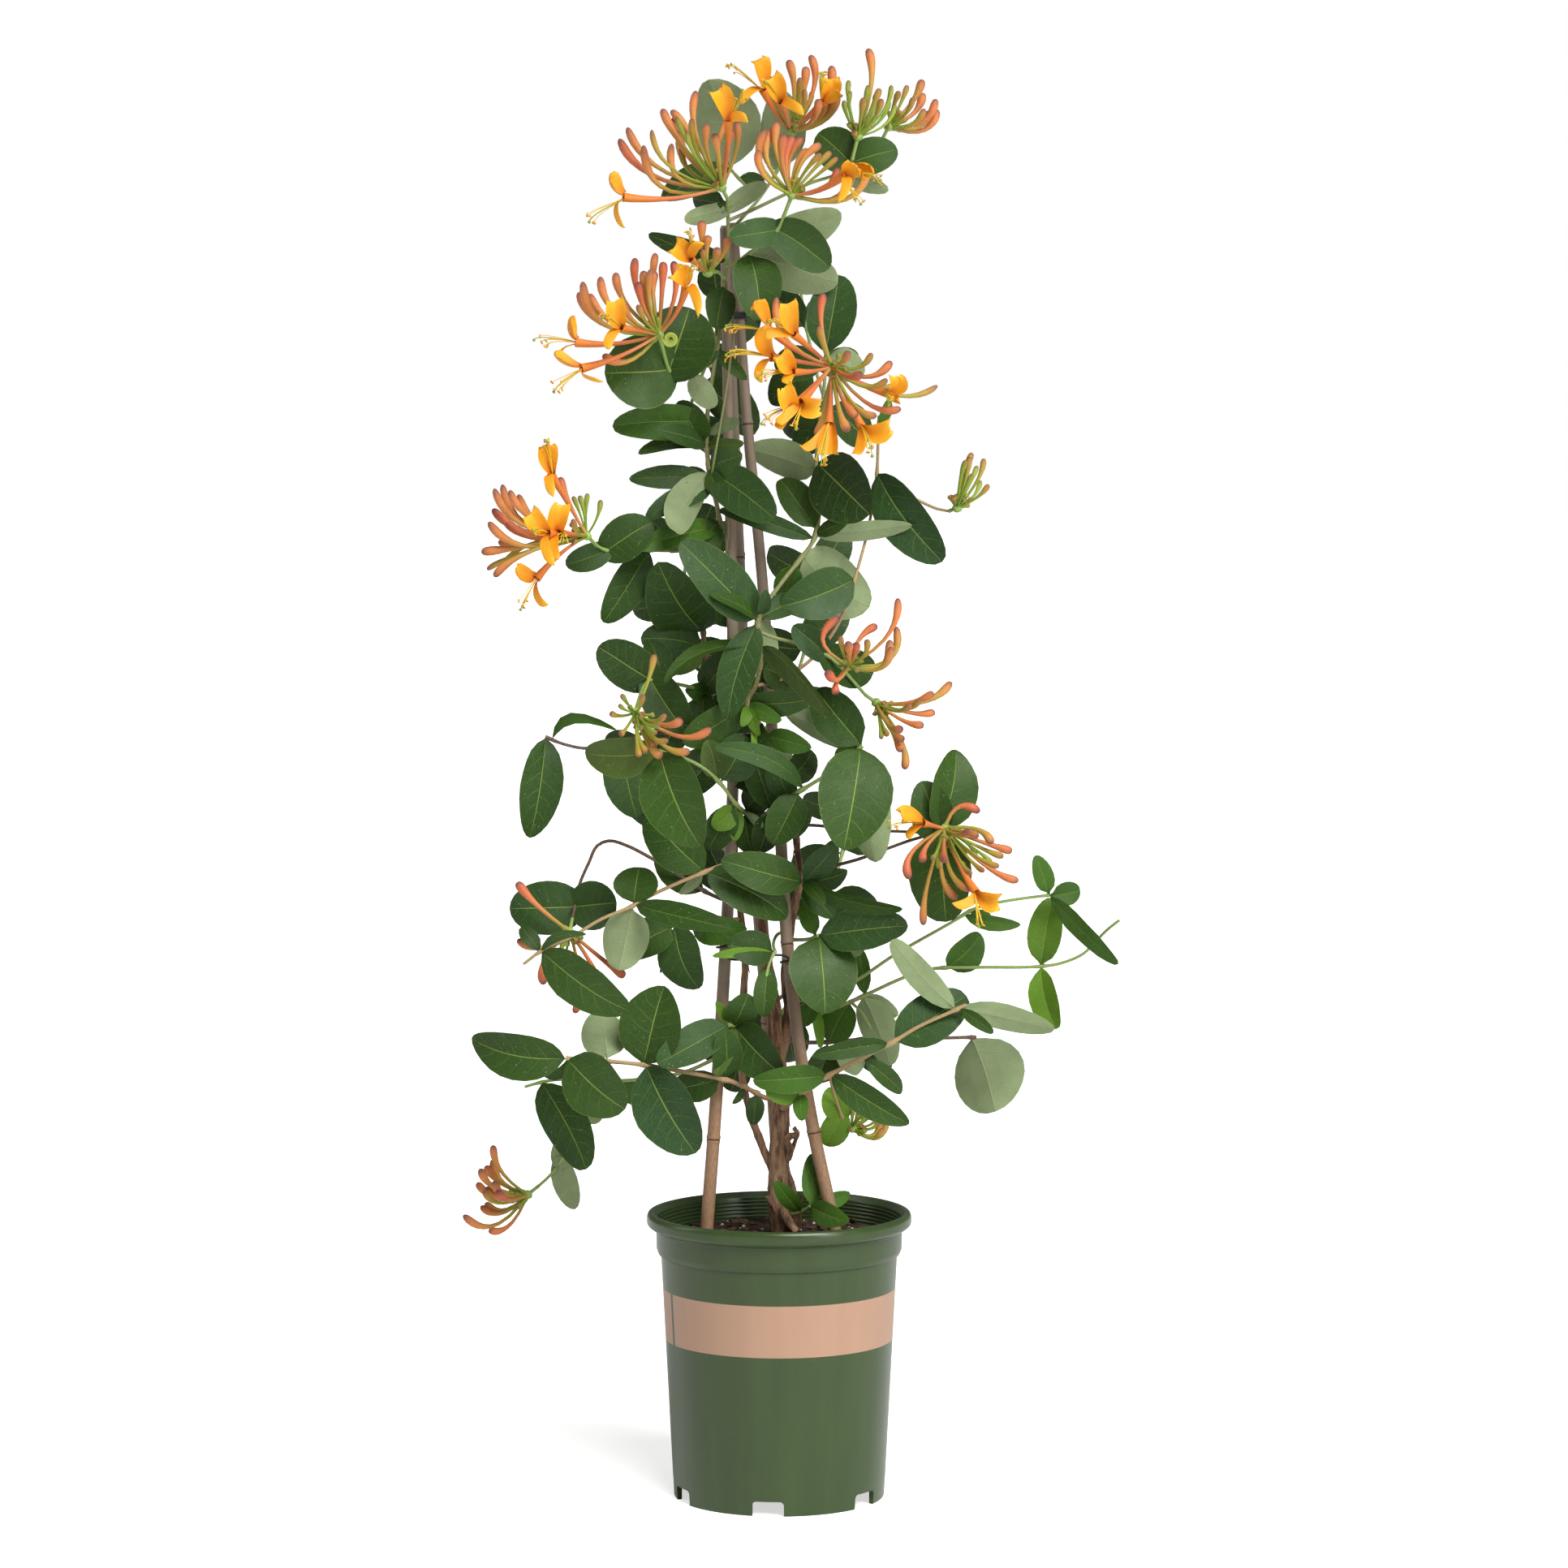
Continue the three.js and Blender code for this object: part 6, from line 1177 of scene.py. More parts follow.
@dataclass(frozen=True)
class LeafSkin:
    """One face of a leaf: its own colour with a midrib, side veins and a fine net between them."""

    name: str
    under: bool = False
    vein: Colour = paint("93a94c")
    pale: Colour = paint("98a77c")
    pairs: float = 6.5
    sweep: float = 0.2

    def veins(self, wires: Wiring) -> tuple[Feed, Feed, Feed, Feed]:
        """How much of the midrib, of a side vein, of the net and of the margin there is at a place.

        Args:
            wires: Nodes of the finish.

        Returns:
            The four shares, each from 0 to 1.
        """
        across, along, _ = wires.parts(wires.pattern_place())
        signed = wires.math("MULTIPLY_ADD", across, 2.0, -1.0)
        out = wires.math("ABSOLUTE", signed)
        wobble = wires.math("MULTIPLY_ADD", wires.noise(wires.object_place(), 90.0, 2.0), 0.07, -0.035)
        midrib = wires.ease(out, 0.008, 0.034, 1.0, 0.0)
        swept = wires.times(wires.math("POWER", out, 1.35), -self.sweep)
        station = wires.plus(wires.plus(along, swept), wobble)
        lag = wires.times(wires.math("SIGN", signed), 0.21)
        phase = wires.math("FRACT", wires.math("MULTIPLY_ADD", station, self.pairs, lag))
        near = wires.math("ABSOLUTE", wires.math("SUBTRACT", phase, 0.5))
        fading = wires.ease(out, 0.3, 1.0, 1.0, 0.2)
        side = wires.times(wires.ease(near, 0.012, 0.055, 1.0, 0.0), fading)
        mesh = wires.cells(wires.pattern_place(13.0, 20.0, 1.0), 1.0, "DISTANCE_TO_EDGE")
        net = wires.ease(mesh.outputs[0], 0.0, 0.09, 1.0, 0.0)
        margin = wires.ease(out, 0.955, 0.995)
        return midrib, side, net, margin

    def material(self) -> Finish:
        """Waxy upper face or dull pale underside.

        Returns:
            The finish.
        """
        wires = Wiring(self.name)
        midrib, side, net, margin = self.veins(wires)
        cloud = wires.noise(wires.object_place(), 55.0, 4.0, 0.6)
        own = wires.living()
        base = wires.mix(0.2, self.pale, own) if self.under else own
        dark = wires.mix(0.45, base, paint("14280a"))
        base = wires.mix(wires.ease(cloud, 0.3, 0.72, 0.0, 0.42), base, dark)
        lines = wires.times(side, 0.2 if self.under else 0.15)
        for line, strength in ((net, 0.06), (midrib, 0.45 if self.under else 0.6), (margin, 0.2)):
            lines = wires.math("MAXIMUM", lines, wires.times(line, strength))
        colour = wires.mix(lines, base, self.vein)
        relief = wires.plus(wires.plus(midrib, wires.times(side, 0.6)), wires.times(net, 0.16))
        if not self.under:
            speck = wires.cells(wires.object_place(), 380.0)
            chosen = wires.math("GREATER_THAN", wires.parts(speck.outputs["Color"])[0], 0.9)
            dust = wires.times(wires.ease(speck.outputs["Distance"], 0.1, 0.2, 1.0, 0.0), chosen)
            colour = wires.mix(wires.times(dust, 0.26), colour, paint("b9c6b4"))
            relief = wires.times(relief, -1.0)
        swell = wires.math("MULTIPLY_ADD", cloud, 1.6, relief)
        low, high = (0.62, 0.72) if self.under else (0.42, 0.56)
        roughness = wires.ease(cloud, 0.3, 0.7, low, high)
        return wires.finish(Base_Color=colour, Roughness=roughness, Normal=wires.bump(swell, 0.3, 0.8),
                            Specular_IOR_Level=0.15 if self.under else 0.25)


@dataclass(frozen=True)
class SoftTissue:
    """Petals, buds, stalks and green stems: the piece's own colour with fine streaks along it."""

    name: str
    streak: float = 0.16
    glow: float = 0.0
    rough: float = 0.5

    def material(self) -> Finish:
        """Soft living skin with a faint bloom.

        Returns:
            The finish.
        """
        wires = Wiring(self.name)
        fibre = wires.noise(wires.pattern_place(9.0, 60.0, 1.0), 1.0, 5.0, 0.65)
        cloud = wires.noise(wires.object_place(), 120.0, 3.0)
        own = wires.living()
        pale = wires.mix(0.55, own, paint("f3e2b4"))
        colour = wires.mix(wires.ease(fibre, 0.35, 0.7, 0.0, self.streak), own, pale)
        ripe = wires.mix(0.6, colour, paint("9a5a34"), "MULTIPLY")
        colour = wires.mix(wires.ease(cloud, 0.4, 0.8, 0.0, 0.14), colour, ripe)
        height = wires.plus(fibre, wires.times(cloud, 0.5))
        return wires.finish(Base_Color=colour, Roughness=self.rough, Specular_IOR_Level=0.3,
                            Normal=wires.bump(height, 0.12, 0.6),
                            Subsurface_Weight=self.glow, Subsurface_Radius=(0.004, 0.0018, 0.0006),
                            Subsurface_Scale=0.5)


@dataclass(frozen=True)
class PlainGround:
    """Pale studio floor, lit a little from within so that it stays white."""

    pale: Colour = paint("fcfcfb")
    glow: float = 0.65

    def material(self) -> Finish:
        """Matt paper with hardly any tooth.

        Returns:
            The finish.
        """
        wires = Wiring("studio paper")
        tooth = wires.noise(wires.object_place(), 300.0, 2.0)
        colour = wires.mix(wires.ease(tooth, 0.3, 0.7), self.pale, paint("ffffff"))
        return wires.finish(Base_Color=colour, Roughness=0.95, Specular_IOR_Level=0.0,
                            Emission_Color=self.pale, Emission_Strength=wires.seen(self.glow, 0.0))


@dataclass(frozen=True)
class Finishes:
    """Every finish of the object, made once."""

    plastic: Finish = field(default_factory=MouldedPlastic().material)
    mix: Finish = field(default_factory=PottingMix().material)
    chips: Finish = field(default_factory=PottingMix("bark chips", paint("2c1c12"), paint("7b5a3f")).material)
    perlite: Finish = field(default_factory=PottingMix("perlite", paint("c9c2b4"), paint("efece4")).material)
    bamboo: Finish = field(default_factory=Bamboo().material)
    wire: Finish = field(default_factory=CoatedWire().material)
    bark: Finish = field(default_factory=Bark().material)
    stem: Finish = field(default_factory=SoftTissue("green stem", streak=0.3).material)
    leaf_top: Finish = field(default_factory=LeafSkin("leaf upper face").material)
    leaf_under: Finish = field(default_factory=LeafSkin("leaf underside", True, paint("a9b684")).material)
    petal: Finish = field(default_factory=SoftTissue("petal and bud", streak=0.12, glow=0.1).material)
    stalk: Finish = field(default_factory=SoftTissue("flower stalk", streak=0.25).material)


# ---------------------------------------------------------------- lines and shapes


def smoothed(route: Sequence[Vector], step: float) -> Line:
    """Smooth line through a route.

    Args:
        route: Points that the line passes through.
        step: Distance between the line's points in millimetres.

    Returns:
        Points along the line, with the route's own ends.
    """
    chords = [(end - start).normalized() for start, end in zip(route, route[1:])]
    ways = [chords[0], *((a + b).normalized() for a, b in zip(chords, chords[1:])), chords[-1]]
    line = []
    for start, end, leave, arrive in zip(route, route[1:], ways, ways[1:]):
        length = (end - start).length
        count = max(1, round(length / (step * MM)))
        handles = start + leave * length / 3, end - arrive * length / 3
        line += [Vector(point) for point in interpolate_bezier(start, *handles, end, count + 1)[:-1]]
    return [*line, route[-1].copy()]


def nearest(lines: Sequence[Line], point: Vector) -> Vector:
    """Nearest point to a place on a set of lines.

    Args:
        lines: Lines to look along.
        point: Place to start from.

    Returns:
        A point of its own on one of the lines.
    """
    best = lines[0][0]
    for line in lines:
        for start, end in zip(line, line[1:]):
            near, share = intersect_point_line(point, start, end)
            near = start if share < 0 else end if share > 1 else near
            if (near - point).length < (best - point).length:
                best = near
    return best.copy()


def arc(start: Vector, control: Vector, end: Vector, t: float) -> Vector:
    """Point on an arc that leaves its start towards a control point and comes to its end from there."""
    return start * (1 - t) ** 2 + control * 2 * t * (1 - t) + end * t ** 2


def bowed(start: Vector, end: Vector, bend: float, count: int) -> Line:
    """Points on an arc that is bowed to the right by a share of its length."""
    control = (start + end) / 2 + 2 * bend * FACING.cross(end - start)
    return [arc(start, control, end, k / count) for k in range(count + 1)]


def scatter(dice: random.Random) -> Vector:
    """Step to a random place in a cube that reaches one each way."""
    return Vector([dice.uniform(-1, 1) for _ in range(3)])


def faces_of(corners: Sequence[bmesh.types.BMVert]) -> set[bmesh.types.BMFace]:
    """Faces that meet at some corners."""
    return {face for corner in corners for face in corner.link_faces}


def put_in_scene(mesh: bmesh.types.BMesh, name: str) -> Piece:
    """Object of the scene that takes a mesh over.

    Args:
        mesh: Mesh, which is used up.
        name: Name of the object and of its mesh.

    Returns:
        The object.
    """
    data = bpy.data.meshes.new(name)
    mesh.to_mesh(data)
    mesh.free()
    piece = bpy.data.objects.new(name, data)
    bpy.context.scene.collection.objects.link(piece)
    return piece


def dress(piece: Piece, node: str) -> Piece:
    """Lets a piece stand in for a solid: hangs it under the root body and hides the solid.

    Args:
        piece: The piece.
        node: Name of the solid.

    Returns:
        The piece.
    """
    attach(piece, "root")
    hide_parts(node)
    LOG.info("%s: %d faces", piece.name, len(piece.data.polygons))
    return piece


@dataclass(frozen=True)
class Ring:
    """Station of a rod: its middle, its radius in millimetres, its colour and that of its other side."""

    centre: Vector
    radius: float
    colour: Colour
    along: Vector | None = None
    other: Colour | None = None


PLAIN = ((0.0, WHITE), (1.0, WHITE))


def tapered(line: Line, radii: Sequence[float], stops: Sequence[tuple[float, Colour]]) -> list[Ring]:
    """Rings on a line, with radii spread evenly along it and colours from a row of stops.

    Args:
        line: Points of the line.
        radii: Radii in millimetres, from the line's start to its end.
        stops: Places from 0 to 1, each with its colour.

    Returns:
        One ring for each point.
    """
    rings = []
    for i, point in enumerate(line):
        share = i / (len(line) - 1)
        at = share * (len(radii) - 1)
        low = min(int(at), len(radii) - 2)
        radius = radii[low] + (radii[low + 1] - radii[low]) * (at - low)
        rings.append(Ring(point, radius, graded(stops, share)))
    return rings


class Draft:
    """Mesh of one piece, drawn shape by shape from flat grids that are carried into place."""

    SHARP = math.radians(72)
    MEET = 1e-6

    def __init__(self) -> None:
        """Starts an empty mesh with pattern coordinates and living colours."""
        self.mesh = bmesh.new()
        self.pattern = self.mesh.loops.layers.uv.new("pattern")
        self.colour = self.mesh.verts.layers.float_color.new("living")

    def wrap(self, columns: int, rows: int, at: Callable[[int, int], Place],
             skin: Callable[[int], int] = lambda column: 0, sheet: bool = False) -> None:
        """Carries a flat grid onto a shape and closes it where its corners meet.

        Args:
            columns: Faces round the shape.
            rows: Faces along it.
            at: Point, pattern coordinates and colour of the corner in a column and a row.
            skin: Number of the finish on a column's faces.
            sheet: Whether it is a thin sheet, whose second half of columns is the back of the first.
        """
        made = bmesh.ops.create_grid(self.mesh, x_segments=columns, y_segments=rows, size=1.0)["verts"]
        cells = {}
        for corner in made:
            cells[corner] = (round((corner.co.x + 1) / 2 * columns), round((corner.co.y + 1) / 2 * rows))
        places = {corner: at(*cell) for corner, cell in cells.items()}
        for face in faces_of(made):
            face.smooth = True
            face.material_index = skin(min(cells[corner][0] for corner in face.verts))
            for loop in face.loops:
                loop[self.pattern].uv = places[loop.vert][1]
        for corner, (point, _, colour) in places.items():
            corner.co = point
            corner[self.colour] = colour
        if sheet:
            halves = ([], [])
            for face in faces_of(made):
                halves[min(cells[corner][0] for corner in face.verts) >= columns // 2].append(face)
            for half, method in zip(halves, ("FIXED", "ALTERNATE")):
                bmesh.ops.triangulate(self.mesh, faces=half, quad_method=method)
        bmesh.ops.remove_doubles(self.mesh, verts=made, dist=self.MEET)

    def rod(self, rings: Sequence[Ring], sides: int, skin: int = 0,
            relief: Callable[[Vector, Vector], float] | None = None) -> None:
        """Draws a round rod through rings, closed at both ends.

        Args:
            rings: Stations from one end to the other.
            sides: Faces round the rod.
            skin: Number of its finish.
            relief: Height in millimetres that the surface stands out at a point of it, along its way out.
        """
        centres = [ring.centre for ring in rings]
        spread = [*centres[:1], *centres, *centres[-1:]]
        across = Vector((0.02, 0.03, 1.0)).normalized()
        if abs((centres[1] - centres[0]).normalized().dot(across)) > 0.9:
            across = Vector((1.0, 0.02, 0.03)).normalized()
        frames = []
        for ring, before, after in zip(rings, spread, spread[2:]):
            along = ring.along or (after - before).normalized()
            across = (across - along * across.dot(along)).normalized()
            frames.append((across, along.cross(across)))
        lengths = [0.0]
        for start, end in zip(centres, centres[1:]):
            lengths.append(lengths[-1] + (end - start).length)
        caps = [0, *range(len(rings)), len(rings) - 1]

        def at(column: int, row: int) -> Place:
            """Corner on the rod's skin, or its middle at the two caps.

            Args:
                column: Column of the corner.
                row: Row of the corner.

            Returns:
                Point, pattern coordinates and colour.
            """
            ring = rings[caps[row]]
            turn = 2 * math.pi * (column % sides) / sides
            first, second = frames[caps[row]]
            out = first * math.cos(turn) + second * math.sin(turn)
            radius = 0.0 if row in (0, len(caps) - 1) else ring.radius
            point = ring.centre + out * radius * MM
            if relief and radius:
                point += out * relief(point, out) * MM
            colour = blend(ring.colour, ring.other or ring.colour, (1 + math.sin(turn)) / 2)
            return point, (column / sides, lengths[caps[row]] * 10), colour

        self.wrap(sides, len(caps) - 1, at, lambda _: skin)

    def done(self, node: str, finishes: Sequence[Finish]) -> Piece:
        """Makes the drawing a piece that stands in for a solid.

        Args:
            node: Name of the solid.
            finishes: Finishes in the order of their numbers.

        Returns:
            The piece.
        """
        bmesh.ops.recalc_face_normals(self.mesh, faces=self.mesh.faces[:])
        for edge in self.mesh.edges:
            edge.smooth = not edge.is_manifold or edge.calc_face_angle(0.0) < self.SHARP
        piece = put_in_scene(self.mesh, node + "_dressed")
        for finish in finishes:
            piece.data.materials.append(finish)
        return dress(piece, node)


# ---------------------------------------------------------------- pot, soil, canes and ties


@dataclass
class NurseryPot:
    """Moulded pot with a rolled lip, a collar, a tapered wall, a raised floor and six foot notches.

    Attributes:
        wall: Corners of the outer wall from the foot up, each (radius, height, rounding).
        lining: Corners of the inner wall from the lip down, each (radius, height, rounding).
        collar_flare: How much wider the collar's inside grows over a height.
        ribs: Heights of the ribs inside the collar.
        drain: Inner and outer radius of the drains behind the notches, and their width.
    """

    steps: int = 144
    wall: tuple[Spot, ...] = (
        (0, 7.8, 0), (63.8, 7.8, 0.5), (63.8, 0, 0.8), (66.9, 0, 0.9), (67.45, 11.4, 0.2), (67.6, 11.8, 0.2),
        (75.0, 154.6, 0.2), (76.6, 155.4, 0.3), (77.9, 158.6, 0.8), (78.2, 170.8, 0.5), (82.4, 173.0, 1.0),
        (84.0, 174.6, 1.1), (84.0, 180.2, 1.6), (82.4, 181.9, 1.0),
    )
    lining: tuple[Spot, ...] = (
        (79.6, 181.9, 0.9), (78.9, 180.9, 0.4), (77.0, 178.6, 0.6), (76.2, 161.0, 1.0), (73.1, 153.0, 1.0),
        (65.3, 10.0, 1.5), (0, 10.0, 0),
    )
    collar_flare: tuple[float, float] = (0.8, 17.6)
    ribs: tuple[float, ...] = (176.0, 173.6, 171.2, 168.8, 166.4, 164.0)
    rib_proud: float = 0.4
    rib_half: float = 0.7
    notches: int = 6
    notch_turn: float = -96.0
    notch_wide: float = 20.0
    notch_tall: float = 9.4
    drain: tuple[float, float, float] = (54.0, 63.5, 13.0)

    def section(self) -> list[tuple[float, float]]:
        """Rounded section of the wall, with ribs inside its collar.

        Returns:
            Points (radius, height) in millimetres, from the middle of the outside to that of the inside.
        """
        ribbed = list(self.lining[:3])
        (foot, low, _), (wider, taller) = self.lining[3], self.collar_flare
        for height in self.ribs:
            radius = foot + (height - low) * wider / taller
            for rise, proud in ((self.rib_half, 0.0), (0.0, self.rib_proud), (-self.rib_half, 0.0)):
                ribbed.append((radius - proud, height + rise, 0.2))
        corners = [*self.wall, *ribbed, *self.lining[3:]]
        section = [corners[0][:2]]
        for before, corner, after in zip(corners, corners[1:], corners[2:]):
            here = Vector(corner[:2])
            into = (Vector(before[:2]) - here).normalized() * corner[2]
            away = (Vector(after[:2]) - here).normalized() * corner[2]
            for t in (0.0, 0.25, 0.5, 0.75, 1.0):
                section.append(tuple(here + into * (1 - t) ** 2 + away * t ** 2))
        return [*section, corners[-1][:2]]

    def cutter(self) -> Piece:
        """Six blocks with softened corners, and the drains behind them.

        Returns:
            The object that is cut away.
        """
        tool = bmesh.new()
        inner, outer, wide = self.drain
        for i in range(self.notches):
            turn = Matrix.Rotation(math.radians(self.notch_turn + i * 360 / self.notches), 4, "Z")
            made = bmesh.ops.create_cube(tool, size=1.0)["verts"]
            bmesh.ops.scale(tool, verts=made, vec=Vector((14, self.notch_wide, 2 * self.notch_tall)) * MM)
            crown = [edge for edge in tool.edges if all(v in made and v.co.z > 0 for v in edge.verts)
                     and abs(edge.verts[0].co.x - edge.verts[1].co.x) > MM]
            rounded = bmesh.ops.bevel(tool, geom=crown, offset=2.6 * MM, offset_type="OFFSET", affect="EDGES",
                                      segments=5, profile=0.5, material=-1)["verts"]
            block = list({*(v for v in made if v.is_valid), *rounded})
            bmesh.ops.transform(tool, verts=block, matrix=turn @ Matrix.Translation(Vector((67, 0, 0)) * MM))
            drain = bmesh.ops.create_cube(tool, size=1.0)["verts"]
            bmesh.ops.scale(tool, verts=drain, vec=Vector((outer - inner, wide, 8.0)) * MM)
            shift = Matrix.Translation(Vector(((inner + outer) / 2, 0, 6.2)) * MM)
            bmesh.ops.transform(tool, verts=drain, matrix=turn @ shift)
        return put_in_scene(tool, "notch cutter")

    def build(self, finishes: Finishes) -> Piece:
        """Spins the wall, cuts the notches and dresses the pot.

        Args:
            finishes: Every finish of the object.

        Returns:
            The piece.
        """
        shell = bmesh.new()
        corners = [shell.verts.new((radius * MM, 0.0, height * MM)) for radius, height in self.section()]
        edges = [shell.edges.new(pair) for pair in zip(corners, corners[1:])]
        bmesh.ops.spin(shell, geom=[*corners, *edges], cent=(0, 0, 0), axis=UP, dvec=(0, 0, 0),
                       angle=2 * math.pi, steps=self.steps, use_merge=True)
        bmesh.ops.remove_doubles(shell, verts=shell.verts[:], dist=1e-6)
        bmesh.ops.recalc_face_normals(shell, faces=shell.faces[:])
        pot, cutter = put_in_scene(shell, "pot_dressed"), self.cutter()
        cut = pot.modifiers.new("notches", "BOOLEAN")
        cut.operation, cut.solver, cut.object, cut.use_self = "DIFFERENCE", "EXACT", cutter, True
        shown = pot.evaluated_get(bpy.context.evaluated_depsgraph_get())
        pot.data = bpy.data.meshes.new_from_object(shown)
        pot.modifiers.clear()
        bpy.data.objects.remove(cutter)
        pot.data.shade_smooth()
        pot.data.set_sharp_from_angle(angle=math.radians(38))
        pot.data.materials.clear()
        pot.data.materials.append(finishes.plastic)
        return dress(pot, "pot")


@dataclass
class PottingSoil:
    """Soil that fills the pot, lumpy on top, with bark chips and perlite on it."""

    foot: tuple[float, float] = (64.9, 10.3)
    shoulder: tuple[float, float] = (72.2, 152.0)
    brim: tuple[float, float] = (75.7, 163.2)
    top: float = 164.4
    crown: float = 1.6
    lumps: float = 1.3
    strewn: float = 73.5
    around: int = 72
    rings: int = 26
    chips: int = 330
    grains: int = 46

    def height(self, x: float, y: float) -> float:
        """Height of the lumpy ground in millimetres.

        Args:
            x: Millimetres to the right.
            y: Millimetres to the back.

        Returns:
            The height.
        """
        rise = 1 - (x * x + y * y) / self.brim[0] ** 2
        rough = noise.fractal(Vector((x, y, 3.0)) * 0.085, 1.0, 2.1, 4)
        return self.top + self.crown * rise + self.lumps * rough

    def build(self, finishes: Finishes) -> Piece:
        """Draws the fill and scatters what lies on it.

        Args:
            finishes: Every finish of the object.

        Returns:
            The piece.
        """
        draft = Draft()
        dark = paint("241a13")

        def at(column: int, row: int) -> Place:
            """Corner of the fill: its flat foot, its side, then rings that close in on the middle.

            Args:
                column: Column of the corner.
                row: Row of the corner.

            Returns:
                Point, pattern coordinates and colour.
            """
            turn = 2 * math.pi * (column % self.around) / self.around
            if row < 4:
                radius, level = ((0.0, self.foot[1]), self.foot, self.shoulder, self.brim)[row]
            else:
                radius = self.brim[0] * (1 - (row - 4) / (self.rings - 4))
                level = self.height(radius * math.cos(turn), radius * math.sin(turn))
            point = Vector((radius * math.cos(turn), radius * math.sin(turn), level)) * MM
            return point, (column / self.around, row / self.rings), dark

        draft.wrap(self.around, self.rings, at)
        dice = random.Random(7)
        for i in range(self.chips + self.grains):
            grain = i >= self.chips
            reach, turn = self.strewn * math.sqrt(dice.random()), dice.uniform(0, 2 * math.pi)
            spot = Vector((reach * math.cos(turn), reach * math.sin(turn), 0))
            size = dice.uniform(0.7, 1.5) if grain else dice.uniform(0.8, 2.6)
            spot.z = self.height(spot.x, spot.y) + 0.25 * size
            made = bmesh.ops.create_icosphere(draft.mesh, subdivisions=1, radius=size * MM)["verts"]
            stretch = (1, 1, 0.9) if grain else (dice.uniform(1.2, 3.4), 1, dice.uniform(0.3, 0.6))
            bmesh.ops.scale(draft.mesh, verts=made, vec=Vector(stretch))
            for corner in made:
                corner.co *= dice.uniform(0.75, 1.1)
                corner[draft.colour] = dark
            tilt = Quaternion((dice.uniform(-0.3, 0.3), dice.uniform(-0.3, 0.3), 1), dice.uniform(0, 6.28))
            place = Matrix.Translation(spot * MM) @ tilt.to_matrix().to_4x4()
            bmesh.ops.transform(draft.mesh, verts=made, matrix=place)
            for face in faces_of(made):
                face.material_index = 2 if grain else 1
        return draft.done("soil", (finishes.mix, finishes.chips, finishes.perlite))


@dataclass
class BambooCane:
    """Bamboo cane with joint rings and a hollow cut top.

    Attributes:
        ring: Outline of a joint ring: steps along the cane in millimetres, each with a share of the ring's
            height there.
    """

    name: str
    route: Route
    foot: float = 4.25
    top: float = 3.05
    joint: float = 0.5
    buried: float = 112.0
    sides: int = 20
    bore: float = 0.55
    ring: tuple[tuple[float, float], ...] = (
        (-4, 0), (-2.4, 0.1), (-1.3, 0.55), (-0.7, 0.8), (-0.2, 0.15), (0.3, 0.3), (1.0, 1.0), (1.9, 0.75),
        (3.2, 0.1), (4.4, 0),
    )
    ring_clear: float = 4.6

    def line(self) -> Line:
        """The cane's own line, carried straight on down into the soil.

        Returns:
            Corners of the line from its buried end up.
        """
        line = SHEET.line(self.route)
        share = (self.buried * MM - line[0].z) / (line[1].z - line[0].z)
        return [line[0].lerp(line[1], share), *line]

    def build(self, finishes: Finishes) -> Piece:
        """Draws the cane with a ring at each of its joints.

        Args:
            finishes: Every finish of the object.

        Returns:
            The piece.
        """
        draft = Draft()
        bones = self.line()
        line = smoothed(bones, 7.0)
        joints = bones[2:-1:2]
        rings = []
        plain, node, cut = paint("ffffff"), paint("8a6f52"), paint("8c8478")
        stations = [(i / (len(line) - 1), point, 0.0) for i, point in enumerate(line)]
        for joint in joints:
            i = min(range(len(line)), key=lambda k: (line[k] - joint).length)
            share = i / (len(line) - 1)
            along = (line[min(i + 1, len(line) - 1)] - line[i - 1]).normalized()
            stations = [each for each in stations if (each[1] - line[i]).length > self.ring_clear * MM]
            for step, proud in self.ring:
                stations.append((share + step * 1e-6, line[i] + along * step * MM, proud))
        for share, point, proud in sorted(stations, key=lambda each: each[0]):
            radius = self.foot + (self.top - self.foot) * share + self.joint * proud
            rings.append(Ring(point, radius, node if 0.1 < proud < 0.5 else plain))
        end, way = line[-1], (line[-1] - line[-2]).normalized()
        for radius, drop, colour in ((0.94, 0.0, cut), (self.bore, 0.0, cut), (self.bore * 0.9, 7.0, node)):
            rings.append(Ring(end - way * drop * MM, self.top * radius, colour, along=way))
        draft.rod(rings, self.sides)
        return draft.done(self.name, (finishes.bamboo,))


